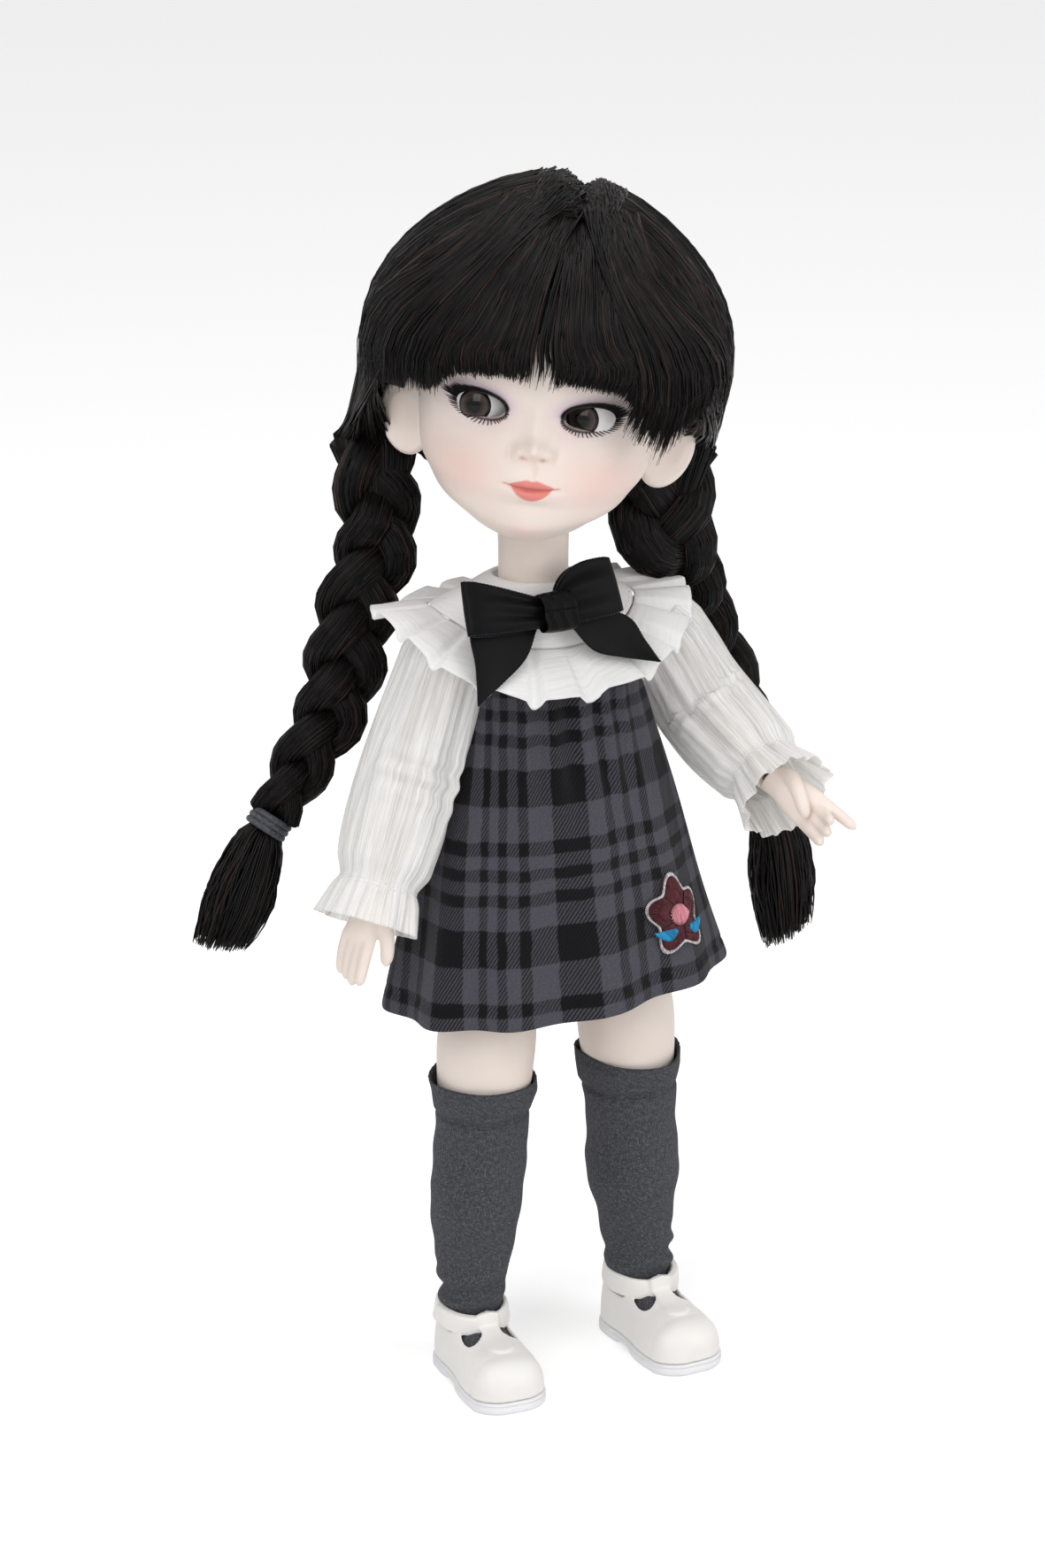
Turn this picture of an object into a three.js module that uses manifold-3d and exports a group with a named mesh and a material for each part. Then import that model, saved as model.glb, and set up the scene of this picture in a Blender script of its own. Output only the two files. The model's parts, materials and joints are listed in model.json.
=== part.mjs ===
// Gothic doll: a jointed vinyl doll with a large round head, inset eyes, a wig in two plaits,
// a white blouse with a pleated collar and sheer sleeves, a satin bow, a plaid pinafore,
// knitted socks and strap shoes. Millimetres, +Z up, facing -Y, its right side towards -X.
import * as THREE from "three";
import { mergeVertices } from "three/addons/utils/BufferGeometryUtils.js";
import Module from "manifold-3d";

const wasm = await Module();
wasm.setup();

// Clearances
const gap = 0.3; // between pieces that touch or turn on each other
const cut = 40; // how far a cutting block reaches past what it cuts

// Legs, heights from the floor up
const ankleHeight = 21;
const shinLength = 57;
const thighLength = 64;
const legSplay = 3.6; // degrees that each leg leans outwards
const hipHalfSpan = 21.3;
const hipBall = 13;
const hipHub = 8.6;
const hipPeg = 3;
const thighRadius = 14.8;
const kneeRadius = 12.6;
const kneeTongue = 8;
const kneePin = 2.2;
const calfRadius = 12.6;
const ankleRadius = 8.4;

// Shoes and socks
const soleThickness = 4;
const heelLift = 1.2;
const shoeLength = 47;
const shoeHeel = 12.5; // how far the heel stands behind the ankle
const shoeHalfWidth = 11.8;
const shoeWall = 1.3;
const strapHeight = 23.5;
const toeOut = 3; // degrees
const barWidth = 4.4;
const sockThickness = 0.9;
const sockTop = 17.5; // above the knee
const soleFlare = 0.5;

// Torso, heights from the hips up
const torsoLean = 4.6; // degrees that the spine leans to the doll's right
const pelvisX = 0.3;
const shoulderHeight = 87;
const shoulderShift = 5.8; // the shoulders stand this far left of the leaning spine
const shoulderHalfSpan = 32;
const shoulderBall = 9;
const shoulderHub = 6.4;
const shoulderPeg = 2.5;
const shoulderPegLength = 17;
const neckRise = 12; // the neck's base above the shoulders
const neckBase = shoulderHeight + neckRise;
const neckFoot = 5.5; // how deep the neck stands in the torso
const neckRadius = 10.4;
const neckLength = 28.3;
const neckBall = 8.5;
const neckPeg = 3;

// Arms
const upperArmLength = 35.5;
const forearmLength = 39;
const handLength = 32;
const armRadius = 7.4;
const elbowRadius = 6.4;
const wristRadius = 4.6;
const elbowTongue = 4;
const elbowPin = 1.5;
const wristPeg = 2;

// Head, in its own frame with its origin between the ears
const headAboveNeck = 20; // from the neck ball's centre
const headBack = 0.8; // the head's middle behind the ball
const headSide = -2; // and to its right
const headYaw = -30.5; // degrees
const headRoll = 7;
const shellWall = 3;
const neckHole = 12.8;
const lidHeight = 33; // the skull cap's seam above the ears' middle
const lidTilt = 22; // degrees that the seam rises to the front
const eyeSpan = 15.3; // half the distance between the eyes
const eyeHeight = 15;
const eyeWidth = 14.6;
const eyeOpening = 8.4;
const eyeballRadius = 9.2;
const irisRadius = 4.7;
const lensRise = 0.35; // the lens stands out of the eyeball
const gaze = -14; // degrees that the eyes look to the doll's right
const lashReach = 3.2;
const earHeight = 24;
const earReach = 46;

// Hair
const capThickness = 0.8;
const capGap = 1.4; // the cap stretches over the skull's curves
const capEdge = 25; // the wig cap's lower edge above the ears' middle
const fringeEdge = 23;
const fringeHalfWidth = 37;
const fringeBack = 13; // how far in front of the ears' middle the fringe ends
const braidRadius = 12.6;
const braidDepth = 8.4;
const bandLength = 5;
const bandRadius = 6.4;

// Dress, blouse and bow
const clothThickness = 1.4;
const dressTop = 71;
const dressHem = -18.8;
const dressWaist = 22; // where the skirt halves hang from
const dressTopHalfWidth = 30;
const dressLean = 0.028; // sideways for each step up
const dressTopDepth = 21;
const hemHalfWidth = 53;
const hemDepth = 38;
const hemTilt = 4; // how much lower the hem hangs on the doll's right
const foldDepth = 1.5;
const foldCount = 11;
const foldSteps = 4; // points of the skirt's ring in each fold
const strapRise = 7; // how far the bodice stands above its chest line
const yokeThickness = 0.9;
const yokeHalfWidth = 32;
const yokeDepth = 17.5;
const ruffleReach = 18.5;
const collarNeck = 12.2; // the yoke's opening
const collarRise = 7;
const collarTilt = 2.4; // degrees
const pleatCount = 18;
const pleatDepth = 1.3;
const pleatShape = [0, 1, 1, -0.6];
const sleeveRadius = 12.6;
const sleeveSteps = 6;
const sleeveBend = 0.24; // how far from the elbow the sleeve starts to turn, of each length
const sleeveThickness = 0.7;
const cuffFlare = 1.6;
const cuffLength = 13;
const cuffFrill = 0.45;
const bowSide = -12.7;
const bowForward = -22.5;
const bowHeight = neckBase + 2;
const bowLean = 26; // degrees that the bow faces upwards
const loopHeight = 15.6;
const knotWidth = 12;
const knotHeight = 10.5;
const knotProud = 2.6;
const tapeWidth = 8;
const tapeLength = 40;
const tapeThickness = 0.9;
const patchWidth = 22;
const patchHeight = 28;
const patchThickness = 1;
const patchAngle = -60; // degrees round the skirt
const petalCount = 5;

// Colours and finishes
const finish = (color, roughness, metalness = 0) =>
  new THREE.MeshStandardMaterial({ color, roughness, metalness });
const skin = finish("#eee3db", 0.5);
const plaid = finish("#3a3940", 0.9);
const white = finish("#f2f1f0", 0.85);
const sheer = finish("#f4f1ec", 0.8);
const satin = finish("#121214", 0.35);
const hair = finish("#0e0c0d", 0.4);
const knit = finish("#4a4b50", 0.95);
const shoeVinyl = finish("#f0edea", 0.35);
const soleVinyl = finish("#e2e3e6", 0.4);
const eyeWhite = finish("#ececea", 0.15);
const irisBrown = finish("#2b211f", 0.08);
const lashBlack = finish("#121010", 0.7);
const maroon = finish("#4a1f26", 0.9);
const capMesh = finish("#1a1819", 0.9);
const whitePlastic = finish("#e8e6e2", 0.5);

const { PI, sin, cos, tan, sqrt, abs, sign, exp } = Math;
const deg = PI / 180;
const V = (x, y, z) => new THREE.Vector3(x, y, z);
const sides = { right: -1, left: 1 };

// Skins and solids

function skinOf(points, faces) {
  const geometry = new THREE.BufferGeometry().setFromPoints(points);
  geometry.setIndex(faces);
  return geometry;
}

function middle(ring) {
  return ring.reduce((sum, p) => sum.add(p), V(0, 0, 0)).divideScalar(ring.length);
}

function addBand(faces, low, high, n) {
  for (let j = 0; j < n; j++) {
    const k = (j + 1) % n;
    faces.push(low + j, low + k, high + k, low + j, high + k, high + j);
  }
}

// A closed skin through rings of equal count, with a fan over each end.
function loft(rings) {
  const n = rings[0].length;
  const points = rings.flat();
  const faces = [];
  for (let i = 0; i + 1 < rings.length; i++) addBand(faces, i * n, (i + 1) * n, n);
  const first = points.push(middle(rings[0])) - 1;
  const last = points.push(middle(rings.at(-1))) - 1;
  const top = (rings.length - 1) * n;
  for (let j = 0; j < n; j++) {
    const k = (j + 1) % n;
    faces.push(first, k, j, last, top + j, top + k);
  }
  return skinOf(points, faces);
}

// A closed skin whose last ring joins its first, for a wall that is open at both ends.
function sleeveSkin(outer, inner) {
  const rings = [...outer, ...inner.slice().reverse()];
  const n = rings[0].length;
  const faces = [];
  rings.forEach((ring, i) => addBand(faces, i * n, ((i + 1) % rings.length) * n, n));
  return skinOf(rings.flat(), faces);
}

// Turns a closed skin into a solid, with its faces pointing out.
function solid(geometry) {
  const bare = new THREE.BufferGeometry();
  bare.setAttribute("position", geometry.getAttribute("position"));
  bare.setIndex(geometry.getIndex());
  const merged = mergeVertices(bare, 1e-4);
  const make = (triVerts) =>
    new wasm.Manifold(
      new wasm.Mesh({ numProp: 3, vertProperties: merged.attributes.position.array, triVerts }),
    );
  const triVerts = new Uint32Array(merged.index.array);
  const made = make(triVerts);
  if (made.volume() >= 0) return made;
  return make(triVerts.map((v, i) => triVerts[i - (i % 3) + [0, 2, 1][i % 3]]));
}

function geometryOf(made) {
  const mesh = made.getMesh();
  const geometry = new THREE.BufferGeometry();
  geometry.setAttribute("position", new THREE.BufferAttribute(mesh.vertProperties, 3));
  geometry.setIndex(new THREE.BufferAttribute(mesh.triVerts, 1));
  geometry.computeVertexNormals();
  return geometry;
}

const cutBy = (body, ...tools) => tools.reduce((rest, tool) => rest.subtract(tool), body);
const joined = (...bodies) => bodies.reduce((sum, body) => sum.add(body));

function ball(radius, x, y, z, stretch = V(1, 1, 1), segments = 20) {
  const geometry = new THREE.SphereGeometry(radius, segments, segments * 0.6);
  geometry.rotateX(PI / 2).scale(stretch.x, stretch.y, stretch.z).translate(x, y, z);
  return solid(geometry);
}

function block(low, high) {
  const size = high.clone().sub(low);
  const geometry = new THREE.BoxGeometry(size.x, size.y, size.z);
  geometry.translate((low.x + high.x) / 2, (low.y + high.y) / 2, (low.z + high.z) / 2);
  return solid(geometry);
}

// A round bar from one point to another.
function bar(radius, from, to, segments = 16) {
  const way = to.clone().sub(from);
  const geometry = new THREE.CylinderGeometry(radius, radius, way.length(), segments);
  const turn = new THREE.Quaternion().setFromUnitVectors(V(0, 1, 0), way.clone().normalize());
  geometry.applyQuaternion(turn).translate(...from.clone().add(to).divideScalar(2).toArray());
  return solid(geometry);
}

// A flat plate of an outline in XZ, as thick as asked, with its front at y.
function plate(shape, y, thickness) {
  const geometry = new THREE.ExtrudeGeometry(shape, { depth: thickness, bevelEnabled: false });
  geometry.rotateX(PI / 2).translate(0, y + thickness, 0);
  return solid(geometry);
}

// Value of one column of a table at z, by a smooth curve through the rows.
function curveAt(rows, z, column) {
  const last = rows.length - 1;
  const i = Math.min(Math.max(rows.findIndex((row) => row[0] > z) - 1, 0), last - 1);
  const base = z >= rows[last][0] ? last - 1 : i;
  const slope = (k) => {
    const low = rows[Math.max(k - 1, 0)];
    const high = rows[Math.min(k + 1, last)];
    return (high[column] - low[column]) / (high[0] - low[0]);
  };
  const [from, to] = [rows[base], rows[base + 1]];
  const span = to[0] - from[0];
  const t = Math.min(Math.max((z - from[0]) / span, 0), 1);
  const rise = to[column] - from[column];
  return (
    from[column] +
    rise * t * t * (3 - 2 * t) +
    span * t * (1 - t) * (slope(base) * (1 - t) - slope(base + 1) * t)
  );
}

// A level ring: half-width, front and back depth, and an exponent that squares it off.
function ring(z, width, front, back, count = 24, centre = V(0, 0, 0), power = 2) {
  return Array.from({ length: count }, (_, j) => {
    const a = (2 * PI * j) / count;
    const c = sign(cos(a)) * abs(cos(a)) ** (2 / power);
    const s = sign(sin(a)) * abs(sin(a)) ** (2 / power);
    return V(centre.x + width * c, centre.y + (s < 0 ? front : back) * s, z);
  });
}

// A round ring square to a path, for limbs and sleeves.
function ringAcross(centre, way, radius, count, depth = radius, side = V(1, 0, 0)) {
  const across = side.clone().addScaledVector(way, -side.dot(way)).normalize();
  const other = way.clone().cross(across);
  return Array.from({ length: count }, (_, j) => {
    const a = (2 * PI * j) / count;
    return centre
      .clone()
      .addScaledVector(across, radius * cos(a))
      .addScaledVector(other, depth * sin(a));
  });
}

const doll = new THREE.Group();
doll.name = "doll";

function addGroup(parent, name, position) {
  const group = new THREE.Group();
  group.name = name;
  group.position.copy(position);
  parent.add(group);
  return group;
}

function addPiece(parent, name, made, material) {
  const geometry = made instanceof THREE.BufferGeometry ? made : geometryOf(made);
  geometry.computeVertexNormals();
  const mesh = new THREE.Mesh(geometry, material);
  mesh.name = name;
  parent.add(mesh);
  return mesh;
}

// Frames that the pieces hang in
const hipHeight = ankleHeight + shinLength + thighLength;
const leanAt = (z) => -tan(torsoLean * deg) * z; // sideways place of the spine
const torso = addGroup(doll, "torso", V(pelvisX, 0, hipHeight));

// Torso: a front and a back shell, split at the sides, with cups for the limbs
const torsoRows = [
  [-15, 6, 9, 10],
  [-9, 20, 14, 15],
  [0, 28, 17, 18],
  [12, 29, 18, 18],
  [24, 25.5, 16.5, 15.5],
  [36, 23, 15.5, 13.5],
  [48, 24, 17, 14],
  [60, 25.5, 18.5, 15],
  [70, 26, 18.5, 15.5],
  [80, 26, 16.5, 15],
  [shoulderHeight + 1, 24.5, 13.5, 13],
  [neckBase - 5, 17, 11.5, 11.5],
  [neckBase, 12, 10.5, 10.5],
];
const torsoSize = (z) => [1, 2, 3].map((column) => curveAt(torsoRows, z, column));

function torsoRing(z, spare = 0, count = 16) {
  const [width, front, back] = torsoSize(z);
  const top = shoulderHeight + 1;
  const fade = z < top ? 1 : (neckBase - z) / (neckBase - top);
  const x = leanAt(z) + (shoulderShift * Math.max(z, 0) * fade) / top;
  return ring(z, width + spare, front + spare, back + spare, count, V(x, 0, 0), 2.2);
}

const shoulderAt = (side) =>
  V(leanAt(shoulderHeight) + shoulderShift + side * shoulderHalfSpan, 0, shoulderHeight);
const hipAt = (side) => V(side * hipHalfSpan, 0, 0);

// The slot that a thigh needs to swing forwards and a little back.
function thighSlot(side) {
  const radius = hipBall + 2 * gap;
  const back = 16 * deg;
  const slot = new THREE.Shape();
  slot.moveTo(-cut, radius);
  slot.lineTo(0, radius);
  slot.absarc(0, 0, radius, PI / 2, back, true);
  slot.lineTo(radius * cos(back) + cut * sin(back), radius * sin(back) - cut * cos(back));
  slot.lineTo(-cut, -cut);
  const geometry = new THREE.ExtrudeGeometry(slot, { depth: 2 * radius, bevelEnabled: false });
  geometry.applyMatrix4(
    new THREE.Matrix4().makeBasis(V(0, 1, 0), V(0, 0, 1), V(1, 0, 0)),
  );
  return solid(geometry.translate(side * hipHalfSpan - radius, 0, 0));
}

const torsoSolid = (spare) => solid(loft(torsoRows.map(([z]) => torsoRing(z, spare))));

function makeTorso() {
  let whole = torsoSolid(0);
  for (const side of Object.values(sides)) {
    const shoulder = shoulderAt(side);
    const reach = V(-side * (shoulderPegLength + 1), 0, 0);
    whole = cutBy(
      whole,
      thighSlot(side),
      ball(shoulderBall + 2.5 * gap, ...shoulder.toArray(), V(1, 1, 1), 12),
      bar(shoulderPeg + gap, shoulder, shoulder.clone().add(reach), 10),
      bar(hipPeg + gap, hipAt(side), V(side * 1.5, 0, 0), 12),
    );
  }
  const neckSeat = V(leanAt(neckBase), 0, 0);
  const seatFloor = neckSeat.clone().setZ(neckBase - neckFoot - 1);
  whole = cutBy(whole, bar(neckRadius - 3 + gap, seatFloor, neckSeat.clone().setZ(cut * 3)));
  const front = block(V(-cut * 2, -cut, -cut), V(cut * 2, -gap / 2, cut * 3));
  const back = block(V(-cut * 2, gap / 2, -cut), V(cut * 2, cut, cut * 3));
  addPiece(torso, "torso_front", whole.intersect(front), skin);
  addPiece(torso, "torso_back", whole.intersect(back), skin);
}

// Neck: a hollow column on the torso that carries the turning ball
const neck = addGroup(torso, "head_turn", V(leanAt(neckBase), 0, neckBase));
const ballHeight = neckLength - 1; // the ball's centre above the neck's foot

function makeNeck() {
  const top = ballHeight - 3.4;
  const column = joined(
    bar(neckRadius, V(0, 0, gap), V(0, 0, top), 20),
    bar(neckRadius - 3, V(0, 0, -neckFoot), V(0, 0, 1), 16),
  );
  addPiece(
    neck,
    "neck_column",
    cutBy(
      column,
      ball(neckBall + gap, 0, 0, ballHeight, V(1, 1, 1), 14),
      bar(neckPeg + gap, V(0, 0, -4), V(0, 0, cut), 12),
    ),
    skin,
  );
  const knob = joined(
    ball(neckBall, 0, 0, ballHeight, V(1, 1, 1), 14),
    bar(neckPeg, V(0, 0, -3.5), V(0, 0, ballHeight), 12),
  );
  addPiece(neck, "neck_knob", knob, whitePlastic);
}

// Head: a hollow shell with a lift-off skull cap, in a frame that turns and tips
const nod = addGroup(neck, "head_nod", V(0, 0, ballHeight));
nod.rotation.order = "ZYX";
nod.rotation.z = headYaw * deg;
const head = addGroup(nod, "head", V(0, 0, 0));
head.rotation.y = headRoll * deg;
const headFrame = addGroup(head, "head_frame", V(headSide, headBack, headAboveNeck));
const ballSeat = V(-headSide, -headBack, -headAboveNeck); // the neck ball in the head's frame

const headRows = [
  [-19, 20, 27, 18],
  [-15, 26, 33, 22],
  [-10, 29.5, 35, 27],
  [-5, 32.5, 36, 32],
  [3, 34, 36, 36],
  [15, 35.5, 35.5, 40],
  [30, 36, 38, 41],
  [42, 33, 36, 38],
  [52, 27, 29, 30],
  [60, 17, 18, 18],
  [64, 7, 7, 7],
];
const chinDrop = 3.4; // how far the chin hangs below the jaw
const skullTop = 65;
const headStep = 5.5;

const bell = (x, z, wide, high) => exp(-((x / wide) ** 2) - (z / high) ** 2);

// Nose, muzzle, lips, chin, cheeks and the hollows round the eyes.
function faceRise(x, z) {
  const eyes = [-eyeSpan, eyeSpan].map((eye) => bell(x - eye, z - eyeHeight, 9, 6));
  const cheeks = [-18, 18].map((cheek) => bell(x - cheek, z + 4, 9, 8));
  const wings = [-4.6, 4.6].map((wing) => bell(x - wing, z - 3, 2.6, 2.4));
  return (
    3.9 * bell(x, z - 4.8, 3.6, 3.4) +
    1.2 * (wings[0] + wings[1]) +
    1.6 * bell(x, z - 11, 3.4, 7) +
    1.8 * bell(x, z + 7, 11, 7) +
    1.1 * bell(x, z + 5.2, 5, 1.8) +
    1.2 * bell(x, z + 9.4, 4.6, 2) -
    0.7 * bell(x, z + 7.4, 7, 0.9) +
    1.5 * bell(x, z + 19, 7, 5) +
    1.2 * (cheeks[0] + cheeks[1]) -
    1.5 * (eyes[0] + eyes[1])
  );
}

// The head's outer surface, offset outwards by spare; the angles crowd at the face.
function headRing(z, spare, count, face = true) {
  const [width, front, back] = [1, 2, 3].map((column) => curveAt(headRows, z, column));
  const drop = chinDrop * exp(-(((z + 19) / 6) ** 2));
  return Array.from({ length: count }, (_, j) => {
    const even = (2 * PI * j) / count - PI / 2;
    const a = face ? even - 0.62 * sin(even + PI / 2) : even;
    const x = (width + spare) * cos(a);
    const frontness = Math.max(-sin(a), 0) ** 3;
    const y = ((sin(a) < 0 ? front : back) + spare) * sin(a);
    const low = z - drop * frontness;
    const raised = low + spare * Math.min(Math.max((z - 30) / 34, 0), 1);
    return V(x, y - (face && sin(a) < 0 ? faceRise(x, low) * frontness : 0), raised);
  });
}

// Heights from the crown down to low, so that rows of nested skins stand level.
function headHeights(low) {
  const top = skullTop - 1.5;
  const count = Math.ceil((top - low) / headStep);
  return Array.from({ length: count }, (_, i) => top - headStep * i).concat(low).reverse();
}

const faceAngle = (x) => Math.asin(x / 36);
const faceY = (x, z) => -curveAt(headRows, z, 2) * cos(faceAngle(x)) - faceRise(x, z) * 0.9;
const eyeAt = (side) =>
  V(side * eyeSpan, faceY(eyeSpan, eyeHeight) + eyeballRadius + 0.6, eyeHeight);

// An almond bar through the face, for the eye opening.
function eyeHole(side, spare = 0) {
  const half = eyeWidth / 2 + spare;
  const rise = eyeOpening / 2 + spare;
  const outline = new THREE.Shape();
  outline.moveTo(-half, 0);
  outline.bezierCurveTo(-half * 0.6, rise * 1.5, half * 0.5, rise * 1.5, half, 0.6);
  outline.bezierCurveTo(half * 0.5, -rise * 1.15, -half * 0.6, -rise * 1.15, -half, 0);
  const geometry = new THREE.ExtrudeGeometry(outline, {
    depth: 30,
    bevelEnabled: false,
    curveSegments: 5,
  });
  geometry.rotateX(PI / 2).scale(side, 1, 1);
  return solid(geometry.translate(side * eyeSpan, -14, eyeHeight));
}

function earOn(side) {
  const width = (earReach - 30) / 2;
  const centre = V(side * (earReach - width), 4, 1.5);
  const shell = ball(1, 0, 0, 0, V(width, 3.4, earHeight / 2), 8);
  const dish = ball(1, side * 1.4, -3.6, 1.2, V(width * 0.62, 2.6, earHeight * 0.3), 8);
  return cutBy(shell, dish).rotate([0, side * 10, side * 14]).translate(centre.toArray());
}

const innerHeights = [-14, -4, 8, 20, 32, 44, 54, skullTop - 1.5];

function makeHead() {
  const outer = solid(loft(headHeights(-19).map((z) => headRing(z, 0, 24))));
  const inner = solid(loft(innerHeights.map((z) => headRing(z, -shellWall, 12, false))));
  const seatAt = (z) => V(ballSeat.x, ballSeat.y, z);
  const boss = bar(neckHole, seatAt(-17), seatAt(-7), 14);
  let shell = joined(cutBy(joined(outer, earOn(-1), earOn(1)), inner), boss);
  shell = cutBy(
    shell,
    bar(neckHole, seatAt(-cut), seatAt(ballSeat.z + 0.5), 14),
    ball(neckBall + 2 * gap, ...ballSeat.toArray(), V(1, 1, 1), 14),
    bar(neckPeg, ballSeat, seatAt(0), 8),
  );
  for (const side of Object.values(sides)) {
    const eye = eyeAt(side);
    const socket = eyeballRadius + lensRise + gap;
    shell = cutBy(shell, eyeHole(side), ball(socket, ...eye.toArray(), V(1, 1, 1), 14));
  }
  const above = solid(
    new THREE.BoxGeometry(cut * 3, cut * 3, cut * 2).translate(0, 0, cut),
  ).rotate([-lidTilt, 0, 0]);
  const lid = above.translate([0, 0, lidHeight + gap]);
  addPiece(headFrame, "head_shell", cutBy(shell, above.translate([0, 0, lidHeight])), skin);
  addPiece(headFrame, "skull_cap", shell.intersect(lid), skin);
  for (const [name, side] of Object.entries(sides)) makeEye(name, side);
}

function makeEye(name, side) {
  const eye = eyeAt(side);
  const look = V(sin(gaze * deg), -cos(gaze * deg), 0);
  const lens = eye.clone().addScaledVector(look, eyeballRadius + 0.1);
  const whole = ball(eyeballRadius, ...eye.toArray(), V(1, 1, 1), 12);
  const along = (reach) => lens.clone().addScaledVector(look, reach);
  const seat = bar(irisRadius + gap, along(-1.9), along(cut), 14);
  const behind = block(V(-cut, eye.y + 3, -cut), V(cut, cut, cut));
  addPiece(headFrame, "eyeball_" + name, cutBy(whole, seat, behind), eyeWhite);
  const dome = ball(eyeballRadius + lensRise, ...eye.toArray(), V(1, 1, 1), 20);
  const disc = bar(irisRadius, along(-1.6), along(4), 14);
  addPiece(headFrame, "iris_" + name, dome.intersect(disc), irisBrown);
  // The lashes stand in a curved strip along the upper lid.
  const strip = new THREE.Shape();
  const half = eyeWidth / 2;
  const rise = eyeOpening / 2;
  const point = (t, out) => [
    half * 1.02 * t + out * 0.45 * t,
    rise * 1.12 * (1 - t * t) * (1 + 0.08 * out) + 0.9 + out * 0.5,
  ];
  strip.moveTo(...point(-1, 0));
  for (let i = 1; i <= 8; i++) strip.lineTo(...point(-1 + i / 4, 0));
  for (let i = 8; i >= 0; i--) strip.lineTo(...point(-1 + i / 4, 1));
  const lash = plate(strip, -lashReach, lashReach);
  const lid = faceY(eyeSpan, eyeHeight + rise) - 1.4;
  const turned = lash.rotate([0, 0, side * 22]);
  addPiece(
    headFrame,
    "lashes_" + name,
    turned.translate([side * eyeSpan, lid, eyeHeight]),
    lashBlack,
  );
}

// Wig: a cap on the skull, the combed crown with its parting, and the fringe
const skullRings = (spare, low) =>
  headHeights(low).map((z) => headRing(z, spare, 16, false));

function skullSolid(spare, low) {
  return solid(loft(skullRings(spare, low)));
}

const hairRows = [
  [-20, 27, 6, 28],
  [-12, 39, 20, 36],
  [-4, 46.5, 34, 42],
  [6, 50.5, 40, 46],
  [18, 52.5, 44, 49],
  [30, 53, 46, 50],
  [42, 50.5, 45, 48],
  [54, 43.5, 40, 42],
  [64, 33.5, 31, 33],
  [72, 21, 20, 22],
  [77, 9, 8, 9],
];
const partingX = 4.5; // the parting stands to the doll's left
const partingWidth = 3;
const partingDepth = 3.2;

function hairSolid() {
  const count = 24;
  const rings = hairRows.map(([z]) => {
    const [width, front, back] = [1, 2, 3].map((column) => curveAt(hairRows, z, column));
    return ring(z, width, front, back, count).map((p) => {
      const dip = partingDepth * exp(-(((p.x - partingX) / partingWidth) ** 2));
      const flat = Math.hypot(p.x, p.y) || 1;
      const upward = Math.min(Math.max((z - 40) / 30, 0), 1);
      return V(p.x, p.y - (p.y / flat) * dip * 0.5, p.z - dip * upward);
    });
  });
  return solid(loft(rings));
}

function prismXZ(corners, low, high) {
  const outline = new THREE.Shape(corners.map(([x, z]) => new THREE.Vector2(x, z)));
  const geometry = new THREE.ExtrudeGeometry(outline, { depth: high - low, bevelEnabled: false });
  return solid(geometry.rotateX(PI / 2).translate(0, high, 0));
}

// The trapezium in front that the fringe fills, drawn in by spare.
function fringeSpace(spare) {
  const corners = [
    [-fringeHalfWidth, -cut],
    [fringeHalfWidth, -cut],
    [fringeHalfWidth, 34],
    [30, 50],
    [14, 68],
    [-14, 68],
    [-30, 50],
    [-fringeHalfWidth, 34],
  ];
  const pulled = corners.map(([x, z]) => [x - sign(x) * spare, z > 0 ? z - spare : z]);
  return prismXZ(pulled, -cut * 2, -fringeBack - spare);
}

function makeWig() {
  const outer = skullRings(capGap + capThickness, capEdge);
  const inner = skullRings(capGap, capEdge);
  addPiece(headFrame, "wig_cap", solid(loft([...inner.reverse(), ...outer])), capMesh);
  const inside = skullSolid(capGap + capThickness + 2 * gap, -24);
  const earWindow = block(V(-cut * 2, -cut * 2, -cut * 2), V(cut * 2, 11, 14.5));
  const faceWindow = block(
    V(-fringeHalfWidth, -cut * 2, -cut),
    V(fringeHalfWidth, -fringeBack, fringeEdge),
  );
  const roots = Object.keys(sides).map((name) => plaitSolid(name, 2 * gap));
  const whole = cutBy(hairSolid(), inside, earWindow);
  const crown = cutBy(whole, faceWindow, fringeSpace(0), ...roots.map(intoHead));
  addPiece(headFrame, "hair_crown", crown, hair);
  const brow = block(V(-cut * 2, -cut * 2, -cut * 2), V(cut * 2, cut, fringeEdge));
  addPiece(headFrame, "fringe", cutBy(whole, brow).intersect(fringeSpace(gap)), hair);
}

// Plaits: each hangs from the crown behind an arm, in a lobed rope with a band and a tail
const plaits = {
  right: {
    root: 1,
    way: [
      [-41.5, 37, 284.5],
      [-43, 32, 270.5],
      [-42.4, 30, 257.5],
      [-48.4, 30, 242.2],
      [-53.6, 30, 223],
      [-57.7, 30, 207.6],
      [-65.2, 30, 196],
      [-71, 30, 186.7],
      [-77.9, 30, 176.4],
    ],
    tail: [
      [-81.6, 30, 171.5],
      [-88, 30, 156.2],
      [-92.5, 30, 146],
      [-98, 30, 136],
    ],
  },
  left: {
    root: 1.3,
    way: [
      [41, 8, 281],
      [40, 9, 268],
      [40, 9, 254.5],
      [46.5, 12, 243],
      [53, 19.5, 232.5],
      [62, 27.5, 217],
      [70.8, 27.5, 200.6],
      [77.6, 27, 186.2],
      [82, 26, 172],
      [84.8, 26, 161.4],
    ],
    tail: [
      [87.6, 26, 154.5],
      [90.4, 25, 145.7],
      [91.8, 24, 129.8],
      [93, 22, 110],
    ],
  },
};

const routeOf = (points) => new THREE.CatmullRomCurve3(points.map((p) => V(...p)));

function ropeRings(route, steps, count, size) {
  return Array.from({ length: steps + 1 }, (_, i) => {
    const t = i / steps;
    const [radius, depth] = size(t);
    return ringAcross(route.getPointAt(t), route.getTangentAt(t), radius, count, depth);
  });
}

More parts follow.
